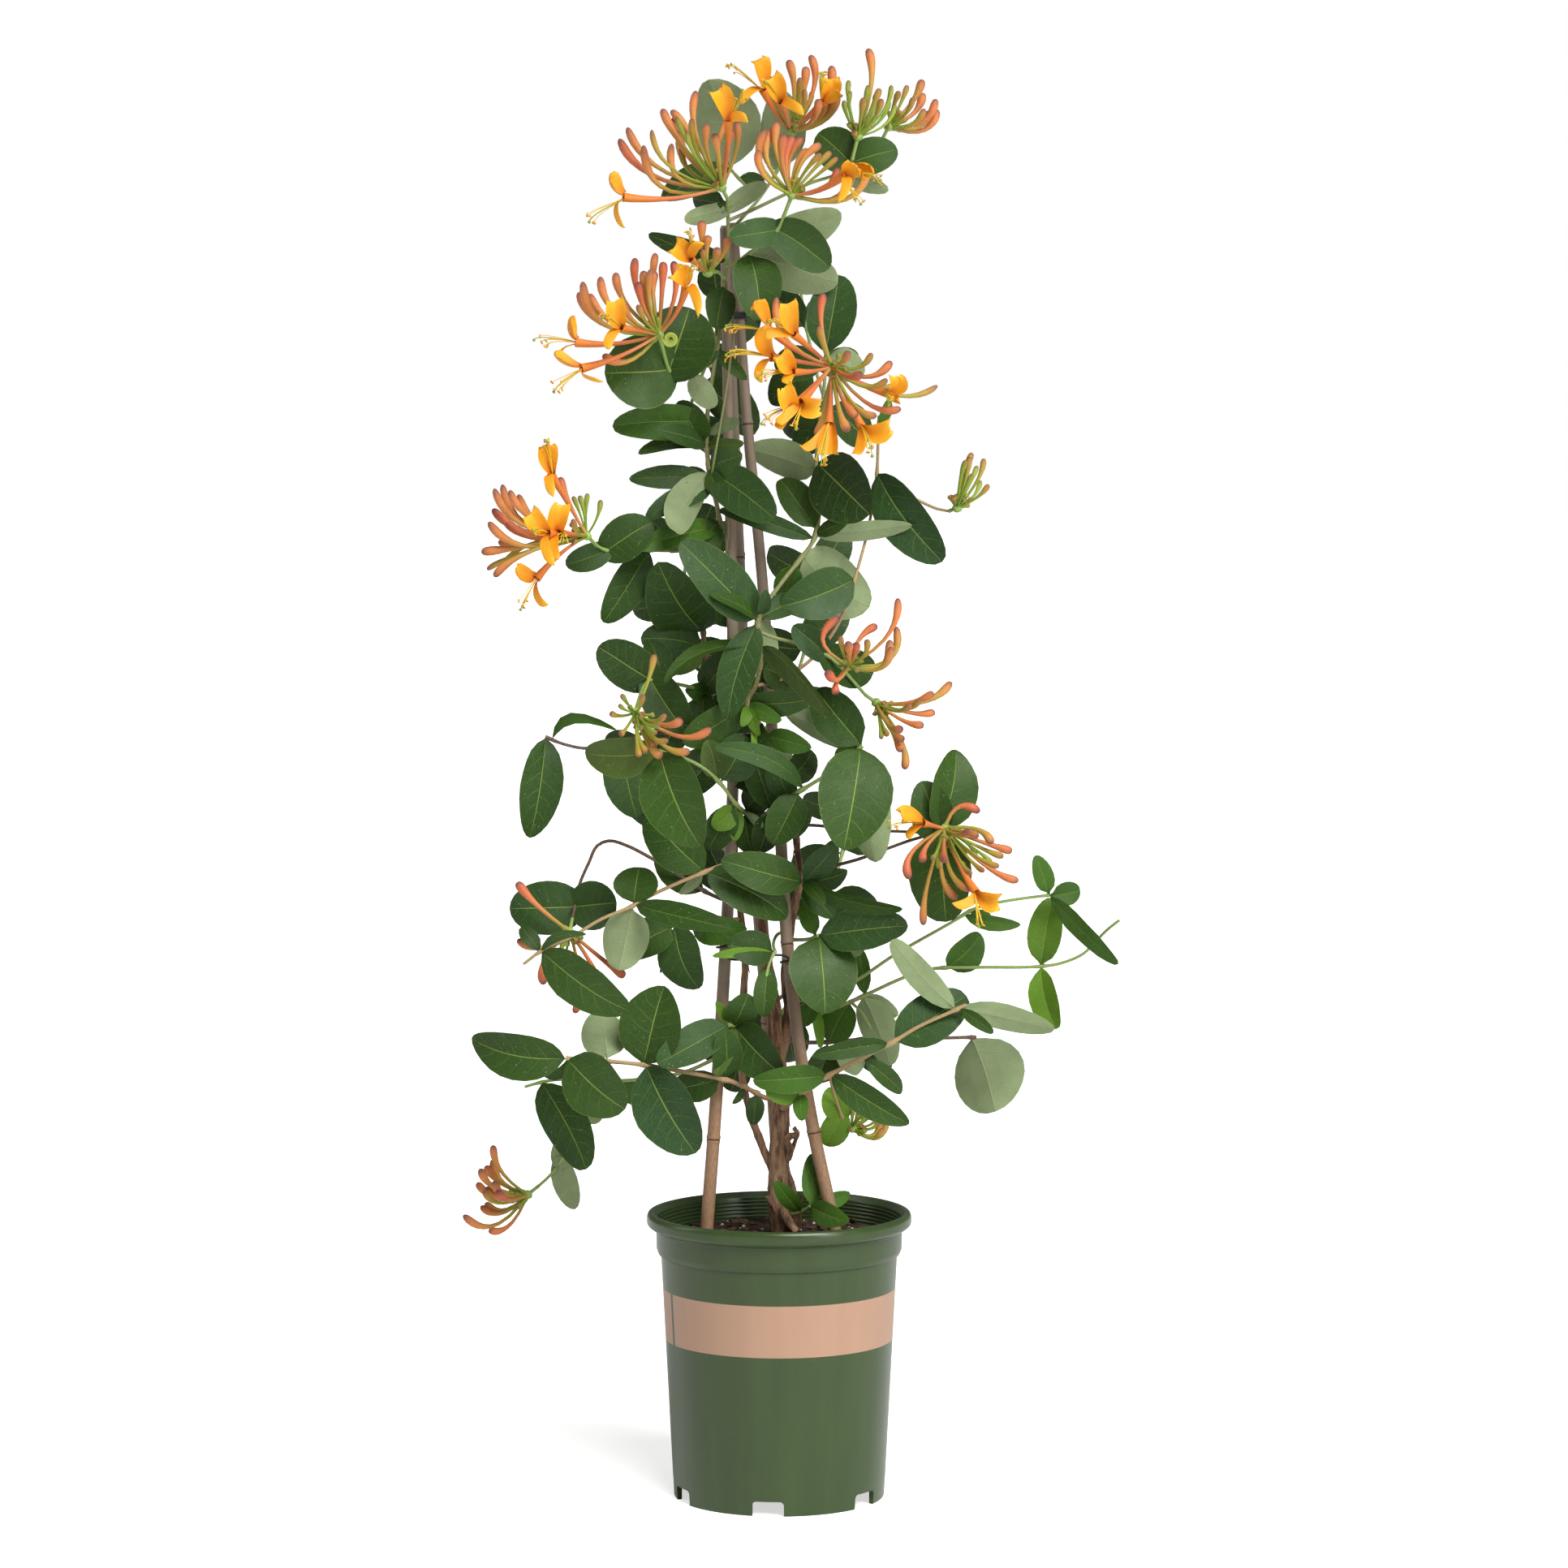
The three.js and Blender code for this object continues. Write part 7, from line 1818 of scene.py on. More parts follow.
@dataclass
class Ties:
    """Wire wound on the two front canes, and the turns that bind all three near their tops."""

    canes: dict[str, Line]
    wire: float = 0.75
    reach: float = 5.5
    double_at: Spot = (970, 1160, -24)
    single_at: Spot = (893, 1192, -24)
    top_at: Spot = (903, 390, 4)
    top_wire: float = 0.6
    top_reach: float = 4.15
    top_tall: float = 4.6
    top_turns: int = 4

    def wound(self, cane: Line, at: Spot, turns: float, drop: float) -> Line:
        """Points of wire wound clockwise round a cane from its front.

        Args:
            cane: Line of the cane.
            at: Spot where the wire begins.
            turns: Turns round the cane.
            drop: Millimetres that it comes down on its way.

        Returns:
            Points of the wire.
        """
        start = SHEET.place(at)
        steps = round(abs(turns) * 16)
        points = []
        for i in range(steps + 1):
            level = Vector((start.x, start.y, start.z - drop * MM * i / steps))
            angle = -math.pi / 2 - 2 * math.pi * turns * i / steps
            out = Vector((math.cos(angle), math.sin(angle), 0)) * self.reach * MM
            points.append(nearest([cane], level) + out)
        return points

    def lower(self, finishes: Finishes) -> Piece:
        """Wire with two turns on the left cane, carried across and down and looped once round the right.

        Args:
            finishes: Every finish of the object.

        Returns:
            The piece.
        """
        draft = Draft()
        wire = [*self.wound(self.canes["cane_left"], self.double_at, 2, 9),
                *self.wound(self.canes["cane_right"], self.single_at, 0.84, 5)]
        draft.rod(tapered(smoothed(wire, 1.6), (self.wire, self.wire), PLAIN), 8)
        return draft.done("tie_lower", (finishes.wire,))

    def upper(self, finishes: Finishes) -> Piece:
        """Close turns of wire, drawn tight round the three canes.

        Args:
            finishes: Every finish of the object.

        Returns:
            The piece.
        """
        draft = Draft()
        level = SHEET.place(self.top_at)
        centres = [nearest([cane], level).to_2d() for cane in self.canes.values()]
        steps = 24
        points = []
        for i in range(self.top_turns * steps + 1):
            turn = 2 * math.pi * i / steps
            way = Vector((math.cos(turn), math.sin(turn)))
            far = max(centres, key=lambda centre: centre.dot(way))
            lift = (i / (self.top_turns * steps) - 0.5) * self.top_tall * MM
            points.append((far + way * self.top_reach * MM).to_3d() + UP * (level.z + lift))
        draft.rod(tapered(smoothed(points, 1.4), (self.top_wire, self.top_wire), PLAIN), 8)
        return draft.done("tie_top", (finishes.wire,))


# ---------------------------------------------------------------- trunk


@dataclass
class Trunk:
    """Knobby trunk with its woody stems, pruned snags and shreds of peeling bark.

    Attributes:
        stems: The trunk itself and the woody stems that climb from it.
        girth: Radii of the trunk from its root up.
        shred_seats: Where shreds sit: radius at the foot of a stem and what it loses up to its top, for the
            trunk and for a woody stem.
    """

    stems: tuple[Stem, ...]
    girth: tuple[float, ...] = (8.0, 8.2, 9.4, 10.8, 7.5, 6.0, 5.7, 5.3, 5.1)
    buried: float = 104.0
    shreds: int = 32
    shred_seats: tuple[tuple[float, float], tuple[float, float]] = ((7.2, 2.4), (3.1, 1.1))
    snags: tuple[Stem, ...] = (
        Stem((2.3, 1.5), ((962, 1500, -6), (953, 1488, -10), (946, 1474, -12))),
        Stem((1.9, 1.3), ((974, 1494, -10), (984, 1484, -13), (987, 1474, -12))),
        Stem((3.4, 2.6), ((962, 1482, -8), (969, 1500, -15), (982, 1518, -19))),
        Stem((2.0, 1.6), ((971, 1428, -6), (974, 1416, -10), (969, 1404, -11))),
        Stem((3.0, 1.8), ((964, 1408, -3), (974, 1400, -7), (983, 1398, -9))),
        Stem((1.7, 1.2), ((981, 1402, -8), (982, 1394, -10), (978, 1390, -11))),
    )

    def lines(self) -> list[Line]:
        """Smooth lines of the woody stems."""
        return [smoothed(SHEET.line(stem.route), 3.0) for stem in self.stems]

    @staticmethod
    def relief(point: Vector, _: Vector) -> float:
        """Ridges and clefts of the bark in millimetres, drawn out along the trunk.

        Args:
            point: Point of the surface.

        Returns:
            The height.
        """
        where = Vector((point.x * 260, point.y * 260, point.z * 42))
        knobs = noise.noise(point * 70)
        return 0.8 * noise.ridged_multi_fractal(where, 0.9, 2.2, 4, 0.9, 2.0) - 1.0 + 1.3 * knobs

    def shred(self, draft: Draft, start: Vector, out: Vector, dice: random.Random) -> None:
        """Draws one strip of bark that has come away at one end.

        Args:
            draft: Drawing that it joins.
            start: Where it still holds.
            out: Way out from the stem.
            dice: Source of its size, its curl and its colour.
        """
        length, width = dice.uniform(6, 13) * MM, dice.uniform(1.0, 2.0) * MM
        down = (UP * dice.choice((-1, 1)) + out * 0.05).normalized()
        side = down.cross(out).normalized()
        curl = dice.uniform(0.06, 0.3)
        tone = dice.choice((paint("c9b29c"), paint("a98f7a"), paint("dccbb8")))
        rows = 6

        def at(column: int, row: int) -> Place:
            """Corner of a thin strip that curls away from the trunk.

            Args:
                column: Column of the corner.
                row: Row of the corner.

            Returns:
                Point, pattern coordinates and colour.
            """
            t = row / rows
            lift = curl * length * t ** 2.2
            middle = start + down * length * t + out * (lift + 0.1 * MM)
            middle += side * 0.12 * length * t * (curl - 0.15)
            across = (-1, 0, 1, 0)[column % 4]
            thick = (0, 1, 0, -1)[column % 4] * 0.18 * MM
            wide = 0.0 if row in (0, rows) else width * (1 - 0.5 * t) / 2
            thick = 0.0 if row in (0, rows) else thick
            return middle + side * across * wide + out * thick, (column / 4, t), tone

        draft.wrap(4, rows, at)

    def build(self, finishes: Finishes) -> Piece:
        """Draws the root, the stems, the snags and the shreds.

        Args:
            finishes: Every finish of the object.

        Returns:
            The piece.
        """
        draft = Draft()
        dice = random.Random(11)
        brown, grey, young = paint("d8c3b2"), paint("efe6da"), paint("b9a78d")
        for i, (stem, line) in enumerate(zip(self.stems, self.lines())):
            radii = stem.thick
            if i == 0:
                foot = line[0].copy()
                foot.z = self.buried * MM
                line = [*smoothed([foot, line[0] - UP * 4 * MM], 5.0), *line]
                radii = self.girth
            draft.rod(tapered(line, radii, ((0, brown), (0.5, grey), (1, young))), 20 if i == 0 else 10,
                      relief=self.relief if i == 0 else self.fine_relief)
        for stem in self.snags:
            draft.rod(tapered(smoothed(SHEET.line(stem.route), 1.5), stem.thick, ((0, brown), (1, grey))), 9,
                      relief=self.fine_relief)
        trunk, climbing = self.lines()[0], self.lines()[1:4]
        for i in range(self.shreds):
            line = trunk if i < self.shreds * 0.6 else dice.choice(climbing)
            k = dice.randrange(2, len(line) - 1)
            turn = dice.uniform(0, 2 * math.pi)
            out = Vector((math.cos(turn), math.sin(turn), 0))
            wide, less = self.shred_seats[line is not trunk]
            self.shred(draft, line[k] + out * (wide - less * (k / len(line))) * MM, out, dice)
        return draft.done("trunk", (finishes.bark,))

    @staticmethod
    def fine_relief(point: Vector, _: Vector) -> float:
        """Shallow ridges of a thin woody stem in millimetres."""
        return 0.7 * noise.fractal(Vector((point.x * 420, point.y * 420, point.z * 70)), 1.0, 2.0, 3)


# ---------------------------------------------------------------- leafy stems


@dataclass
class Blade:
    """One leaf as a thin closed sheet with a sunken midrib and a keel beneath it.

    Attributes:
        base: Where it leaves its stem.
        tip: Its tip.
        side: Way across its upper face, to the right as seen from above with its tip up.
        half: Half of its greatest width in metres.
        colour: Colour of its upper face.
        bow: Sideways bow, as a share of its length.
        joined: Whether it is wide at its base, where it grows together with its opposite.
    """

    base: Vector
    tip: Vector
    side: Vector
    half: float
    colour: Colour
    bow: float = 0.0
    joined: bool = False
    petiole: float = 2.6
    thickness: float = 0.42
    skins: tuple[int, int] = (1, 2)

    def grid(self) -> tuple[list[float], int]:
        """Columns from one margin to the other, and rows: more of them for a wide leaf.

        Returns:
            Places of the columns from -1 to 1, and the number of rows.
        """
        wide = 2 * self.half / MM
        out, rows = ((0.0, 0.07, 0.36, 0.7, 1.0), 12) if wide > 20 else ((0.0, 0.09, 0.5, 1.0), 10)
        if wide < 12:
            out, rows = (0.0, 0.5, 1.0), 8
        return [*(-a for a in reversed(out[1:])), *out], rows

    def draw(self, draft: Draft, dice: random.Random) -> None:
        """Draws the blade.

        Args:
            draft: Drawing that it joins.
            dice: Source of its own cup, curl, twist and waves.
        """
        length = (self.tip - self.base).length
        along = (self.tip - self.base) / length
        columns, rows = self.grid()
        around = 2 * (len(columns) - 1)
        neck = 0.0 if self.joined else min(0.09, self.petiole * MM / length)
        arch, cup = dice.uniform(0.04, 0.11), dice.uniform(0.06, 0.34)
        curl, twist = dice.uniform(-0.02, 0.12), math.radians(dice.uniform(-18, 18))
        ripple, beat, shift = dice.uniform(0.01, 0.05), dice.uniform(1.4, 2.6), dice.uniform(0, 6.28)
        sway, sharp = dice.uniform(-0.04, 0.04), dice.choice((0.0, 0.03, 0.06, 0.14))

        def share(t: float) -> float:
            """Half width at a station, as a share of the widest.

            Args:
                t: Station from 0 at the base to 1 at the tip.

            Returns:
                The share.
            """
            if self.joined:
                return math.sqrt(max(0.0, 1 - ((t - 0.42) / 0.5801) ** 2))
            s = max(0.0, (t - neck) / (1 - neck))
            return math.sin(math.pi * s ** 0.88) ** (0.48 - 0.08 * s + sharp * s) if 0 < s < 1 else 0.0

        def at(column: int, row: int) -> Place:
            """Corner of the upper face, or of the underside in the second half of the columns.

            Args:
                column: Column of the corner.
                row: Row of the corner.

            Returns:
                Point, pattern coordinates and colour.
            """
            t = (1 - math.cos(math.pi * row / rows)) / 2
            if self.joined:
                t = 1.16 * t - 0.16
            k = column % around
            under = k > around // 2
            a = columns[around - k] if under else columns[k]
            swell = 4 * t * (1 - t) * length
            side = Quaternion(along, twist * (t - 0.4)) @ self.side
            lift = side.cross(along)
            reach = self.half * share(t)
            thick = self.thickness * MM * math.sqrt(1 - a * a)
            if not self.joined:
                reach = max(reach, 0.62 * MM)
                thick += 0.75 * MM * math.exp(-t * length / (2.4 * MM)) * (1 - abs(a))
            if row in (0, rows):
                thick = reach = 0.0
            wave = ripple * a * a * math.sin(6.28 * beat * t + shift + (1.7 if a > 0 else 0.0)) * self.half
            groove = 0.22 * MM * (1 - t) if a == 0 and 0 < row < rows else 0.0
            middle = self.base + along * (t * length) + side * ((self.bow + sway) * swell)
            middle += lift * (arch * swell - curl * length * t ** 3)
            point = middle + side * (a * reach)
            point += lift * (cup * reach * abs(a) ** 1.3 + wave * min(1.0, 4 * (1 - t)))
            point += lift * (0.05 * length * max(0.0, -t) if self.joined else 0.0)
            point += lift * (-thick / 2 - groove * 1.9 if under else thick / 2 - groove)
            return point, ((a + 1) / 2, t), self.colour

        draft.wrap(around, rows, at, lambda column: self.skins[column >= around // 2], sheet=True)


@dataclass
class LeafySpray:
    """Stems and leaves of one leafy stem."""

    plan: Spray
    carriers: list[Line]
    lines: list[Line] = field(default_factory=list)

    def grow_lines(self) -> list[Line]:
        """Smooth stem lines, each begun on the stem that carries it.

        Returns:
            The lines, in the order of the stems.
        """
        for stem in self.plan.stems:
            points = SHEET.line(stem.route)
            points[0] = nearest(self.lines if stem.side else self.carriers, points[0])
            self.lines.append(smoothed(points, 3.2))
        return self.lines

    def draw_stem(self, draft: Draft, stem: Stem, line: Line, joints: list[Vector]) -> None:
        """Draws one stem, swollen where leaves spring from it.

        Args:
            draft: Drawing that it joins.
            stem: Its layout.
            line: Its smooth line.
            joints: Where leaves spring.
        """
        foot, tip = (paint(code) for code in self.plan.wood.value)
        rings = tapered(line, stem.thick, ((0, foot), (0.55, blend(foot, tip, 0.6)), (1, tip)))
        swollen = []
        for ring in rings:
            gap = min((joint - ring.centre).length for joint in joints) / MM
            swollen.append(replace(ring, radius=ring.radius * (0.86 + 0.42 * math.exp(-(gap / 2.4) ** 2))))
        draft.rod(swollen, 8, skin=0)

    def tone(self, leaf: Leaf, dice: random.Random) -> Colour:
        """Colour of a leaf's upper face: small inner leaves are fresher, and no two are quite alike.

        Args:
            leaf: Its layout.
            dice: Source of chance.

        Returns:
            The colour.
        """
        base = dice.choices((Tone.DEEP, Tone.BLUISH, Tone.BRIGHT), (62, 28, 10))[0]
        if leaf.wide < 30 and leaf.tip[1] > 850 and leaf.tip[2] > -45:
            base = dice.choices((Tone.BRIGHT, Tone.FRESH, base), (50, 25, 25))[0]
        # A tone set on the leaf or its spray may be the darkest one, which is painted shade.
        own = leaf.tone or (base if self.plan.tone is Tone.DEEP else self.plan.tone)
        darker = blend(paint(own.value), paint("1c330f"), dice.uniform(0, 0.4))
        return blend(darker, paint("6a9030"), dice.uniform(0, 0.12))

    def draw_leaf(self, draft: Draft, leaf: Leaf, dice: random.Random) -> None:
        """Draws one leaf of the plan, turned a little about its length as no two leaves lie alike.

        Args:
            draft: Drawing that it joins.
            leaf: Its layout.
            dice: Source of chance.
        """
        base, tip = nearest(self.lines, SHEET.place(leaf.base)), SHEET.place(leaf.tip)
        along = (tip - base).normalized()
        roll = math.radians(leaf.roll)
        half = leaf.wide * SHEET.square(leaf.tip[2]) / 2 / max(0.3, abs(math.cos(roll)))
        turn = 0.0 if leaf.joined else math.radians(dice.uniform(-24, 24))
        side = Quaternion(along, roll + turn) @ FACING.cross(along).normalized()
        Blade(base, tip, side, half / math.cos(turn), self.tone(leaf, dice),
              leaf.bow * (1 if math.cos(roll) > 0 else -1), leaf.joined).draw(draft, dice)

    def build(self, finishes: Finishes) -> Piece:
        """Draws the whole spray.

        Args:
            finishes: Every finish of the object.

        Returns:
            The piece.
        """
        draft = Draft()
        dice = random.Random(self.plan.name)
        lines = self.grow_lines()
        joints = [nearest(lines, SHEET.place(leaf.base)) for leaf in self.plan.leaves]
        for stem, line in zip(self.plan.stems, lines):
            self.draw_stem(draft, stem, line, joints)
        for leaf in self.plan.leaves:
            self.draw_leaf(draft, leaf, dice)
        return draft.done(self.plan.name, (finishes.stem, finishes.leaf_top, finishes.leaf_under))


# ---------------------------------------------------------------- flower heads


@dataclass
class FlowerHead:
    """Stalk, hub, buds and open flowers of one head.

    Attributes:
        plan: Its layout.
        carriers: Lines of the stems that it may spring from.
        girth: Greatest radius of a bud in millimetres.
        profile: Outline of a bud: stations from 0 to 1, each with its share of the greatest radius.
        shades: Colour codes of a bud from its foot to its tip.
        lips: Widths of the upper and the lower lip in squares.
        threads: Stamens of an open flower, with its style.
        hub_girth: Radius of the knob where everything meets.
        young: Buds that have hardly begun to grow.
    """

    plan: Head
    carriers: list[Line]
    girth: dict[Stage, float] = field(default_factory=lambda: {
        Stage.GREEN: 1.75, Stage.LIME: 2.1, Stage.ORANGE: 2.75, Stage.ROSE: 2.8})
    profile: tuple[tuple[float, float], ...] = (
        (0.0, 0.5), (0.03, 0.66), (0.065, 0.64), (0.1, 0.4), (0.26, 0.42), (0.42, 0.47), (0.55, 0.56),
        (0.66, 0.7), (0.76, 0.89), (0.84, 1.0), (0.91, 0.97), (0.965, 0.76), (0.99, 0.46), (1.0, 0.14),
    )
    shades: dict[Stage, tuple[str, ...]] = field(default_factory=lambda: {
        Stage.GREEN: ("6d9026", "7a9a2a", "88a232", "92a03a", "7a5638"),
        Stage.LIME: ("7a9626", "8c9a2c", "a09832", "b48a3a", "84503a"),
        Stage.ORANGE: ("82942c", "a49a38", "d09248", "d68048", "7a4a40"),
        Stage.ROSE: ("9c8e36", "c68246", "d47448", "c86444", "6e3a3a"),
    })
    lips: tuple[float, float] = (26, 13)
    threads: int = 6
    hub_girth: float = 3.1
    young: int = 9

    def draw_bud(self, draft: Draft, hub: Vector, tip: Vector, bend: float, stage: Stage,
                 dice: random.Random) -> None:
        """Draws one club-shaped bud, curved like a J, on its small green ovary.

        Args:
            draft: Drawing that it joins.
            hub: Where it springs.
            tip: Its tip.
            bend: Its bow to the right, as a share of its length.
            stage: How far it has come.
            dice: Source of chance.
        """
        stretch = (tip - hub).length
        way = (tip - hub) / stretch
        level = 1 - abs(way.z)
        control = (hub + tip) / 2 + way * 0.2 * stretch + 2.7 * bend * FACING.cross(tip - hub)
        control -= UP * stretch * (0.16 * level + dice.uniform(0.0, 0.08))
        control += FACING.cross(way) * stretch * dice.uniform(-0.09, 0.09)
        control += FACING * stretch * dice.uniform(-0.08, 0.08)
        girth = self.girth[stage] * dice.uniform(0.88, 1.08)
        stops = list(zip((0.1, 0.3, 0.6, 0.88, 1.0), (paint(code) for code in self.shades[stage])))
        flush = paint(dice.choice(("94902a", "ab9434", "cc6c40", "c25e40")))
        rings = []
        for t, share in self.profile:
            colour = graded(stops, t)
            body = math.sin(math.pi * min(1.0, t)) if stage in (Stage.ORANGE, Stage.ROSE) else 0.0
            other = blend(colour, flush, 0.8 * body)
            rings.append(Ring(arc(hub, control, tip, t), girth * share, colour, other=other))
        draft.rod(rings, 9)

    def draw_lip(self, draft: Draft, throat: Vector, way: Vector, tip: Vector, wide: float, turn: float,
                 dice: random.Random) -> None:
        """Draws one lip of an open flower.

        Args:
            draft: Drawing that it joins.
            throat: Where it leaves the tube.
            way: Way that the tube points.
            tip: Middle of its end.
            wide: Its width in metres: a wide lip has four lobes at its end, a narrow one is a tongue.
            turn: Turn about its length in degrees, away from facing the front.
            dice: Source of its own folds.
        """
        chord = tip - throat
        length = chord.length
        lobed = wide > 9 * MM
        curl = dice.uniform(0.28, 0.42)
        handles = throat + way * 0.5 * length, tip + way * curl * length
        line = [Vector(point) for point in interpolate_bezier(throat, *handles, tip, 25)]
        side = Quaternion(chord / length, math.radians(turn)) @ FACING.cross(chord).normalized()
        across, rows = (16, 14) if lobed else (6, 12)
        around = 2 * across
        fold = dice.uniform(0.7, 1.05)
        gold, edge, outside, base = paint("f3a208"), paint("fcc02a"), paint("e0861c"), paint("db7610")

        def at(column: int, row: int) -> Place:
            """Corner of the lip's inner face, or of its back in the second half of the columns.

            Args:
                column: Column of the corner.
                row: Row of the corner.

            Returns:
                Point, pattern coordinates and colour.
            """
            t = row / rows
            k = column % around
            under = k > across
            a = 2 * (around - k if under else k) / across - 1
            lobe = abs(math.sin(2 * math.pi * (a + 1))) ** 0.6 if lobed else 0.0
            reach = t * (1 - t * (0.16 - 0.13 * lobe)) if lobed else t * (1 - 0.1 * a * a * t)
            place = min(23.999, max(0.0, reach) * 24)
            low = int(place)
            middle = line[low].lerp(line[low + 1], place - low)
            ahead = (line[low + 1] - line[low]).normalized()
            lift = side.cross(ahead).normalized()
            half = wide / 2 * (0.3 + 0.7 * math.sin(min(1.0, t / (0.62 if lobed else 0.4)) * math.pi / 2))
            if lobed:
                half *= 1 - 0.16 * max(0.0, t - 0.82) / 0.18
            else:
                half *= math.sqrt(max(0.0, 1 - (max(0.0, t - 0.6) / 0.401) ** 2))
            thick = 0.0 if abs(a) == 1 or row in (0, rows) else 0.42 * MM
            height = half * a * a * (fold * (1 - 0.45 * t) if lobed else 0.35 * (1 - 2 * t))
            height -= (0.12 * lobe * t ** 3 + 0.03 * math.sin(7 * a + 9 * t) * t) * half
            point = middle + side * (a * half) + lift * (height + (-thick if under else thick) / 2)
            # The lip runs from deep orange at the throat through gold to a paler tip: its own colour, with
            # the deeper throat partly painted shade and the paler tip partly a painted highlight.
            colour = blend(base, gold, t / 0.35) if t < 0.35 else blend(gold, edge, (t - 0.35) ** 2 * 2)
            return point, ((a + 1) / 2, t), blend(colour, outside, 0.75) if under else colour

        draft.wrap(around, rows, at, sheet=True)

    def draw_thread(self, draft: Draft, root: Vector, end: Vector, way: Vector, last: bool,
                    dice: random.Random) -> None:
        """Draws one stamen with its anther, or, last of all, the style with its round stigma.

        Args:
            draft: Drawing that it joins.
            root: Its foot in the tube.
            end: Its far end.
            way: Way that the threads point.
            last: Whether it is the style.
            dice: Source of chance.
        """
        gold, dust, green = paint("f2c22c"), paint("b87410"), paint("96a834")
        reach = (end - root).length
        bow = UP * 0.1 * reach + way * 0.3 * reach
        line = interpolate_bezier(root, root.lerp(end, 0.3) + bow, root.lerp(end, 0.7) + bow, end, 8)
        line = [Vector(point) for point in line]
        draft.rod([Ring(point, 0.34 if last else 0.28, green if last else gold) for point in line], 5)
        if last:
            draft.rod([Ring(end + way * step * MM, girth, paint("8a9a30"))
                       for step, girth in ((-0.7, 0.4), (-0.2, 1.0), (0.5, 1.05), (0.9, 0.5))], 7)
            return
        lean = (way.cross(FACING) + scatter(dice) * 0.8).normalized()
        tone = blend(dust, gold, dice.uniform(0.0, 0.8))
        draft.rod([Ring(end + lean * step * MM, girth, tone)
                   for step, girth in ((-1.4, 0.25), (-0.9, 0.55), (0.0, 0.62), (0.9, 0.55), (1.4, 0.25))], 6)

    def draw_bloom(self, draft: Draft, hub: Vector, bloom: Bloom, dice: random.Random) -> None:
        """Draws an open flower: hollow flaring tube, two lips, five stamens and a style.

        Args:
            draft: Drawing that it joins.
            hub: Where it springs.
            bloom: Its layout.
            dice: Source of chance.
        """
        mouth, upper, lower, dust = SHEET.line((bloom.mouth, bloom.upper, bloom.lower, bloom.anthers))
        line = bowed(hub, mouth, bloom.bend, 12)
        way = (line[-1] - line[-3]).normalized()
        salmon, flame = paint("cf6e40"), paint("e07f22")
        stops = ((0, paint("9aac52")), (0.12, paint("cf8a52")), (0.5, salmon), (1, flame))
        rings = tapered(line, (1.3, 1.05, 1.15, 1.35, 1.7, 2.2, 2.9), stops)
        # The rings that run down into the tube turn from orange to dark brown with depth: painted shade in
        # the throat.
        for drop, radius, tone in ((0.1, 2.55, "e08a24"), (2.5, 1.9, "b86420"), (6.0, 1.0, "8a4a1c")):
            rings.append(Ring(mouth - way * drop * MM, radius, paint(tone), along=way))
        draft.rod(rings, 12)
        square = SHEET.square(bloom.mouth[2])
        rise = (upper - lower).normalized() * 1.4 * MM
        self.draw_lip(draft, mouth - way * MM + rise, way, upper, self.lips[0] * square, bloom.turn, dice)
        self.draw_lip(draft, mouth - way * MM - rise, way, lower, self.lips[1] * square, bloom.turn, dice)
        root = mouth - way * 3 * MM
        ahead = (dust - mouth).normalized()
        for i in range(self.threads):
            last = i == self.threads - 1
            spread = scatter(dice) * 3.6 * MM
            end = dust + ahead * 3.4 * MM + spread * 0.3 if last else dust + spread
            self.draw_thread(draft, root, end, ahead, last, dice)

    @staticmethod
    def draw_coil(draft: Draft, hub: Vector, middle: Vector) -> None:
        """Draws one green bud that has rolled itself up like a watch spring.

        Args:
            draft: Drawing that it joins.
            hub: Where it springs.
            middle: Middle of the coil.
        """
        spring = []
        for i in range(37):
            turn, reach = math.radians(200 + 24 * i), (4.3 - 0.09 * i) * MM
            spring.append(middle + Vector((math.cos(turn), 0.0, math.sin(turn))) * reach)
        stops = ((0, paint("8fae52")), (0.5, paint("9aa63c")), (1, paint("7f8a30")))
        draft.rod(tapered(smoothed([hub, *spring], 1.2), (0.9, 1.0, 1.0, 0.9, 0.7), stops), 8)

    def filled(self, hub: Vector, dice: random.Random) -> list[tuple[Vector, float, Stage]]:
        """The head's buds with a few more between neighbours, so that the head is full.

        Args:
            hub: Where the buds spring.
            dice: Source of chance.

        Returns:
            Tip, bow and stage of each bud.
        """
        buds = [(SHEET.place(spot[:3]), spot[3], stage) for stage, spots in self.plan.buds.items()
                for spot in spots]
        buds.sort(key=lambda bud: math.atan2((bud[0] - hub).z, (bud[0] - hub).x))
        more = []
        for (tip, bend, stage), (other, bow, _) in zip(buds, buds[1:]):
            first, second = tip - hub, other - hub
            if first.angle(second) < 1.0 and dice.random() < 0.45:
                middle = first.lerp(second, dice.uniform(0.35, 0.65))
                middle *= dice.uniform(0.78, 0.96) * (first.length + second.length) / 2 / middle.length
                middle.y += dice.uniform(-0.2, 0.35) * middle.length
                more.append((hub + middle, (bend + bow) / 2, stage))
        return buds + more

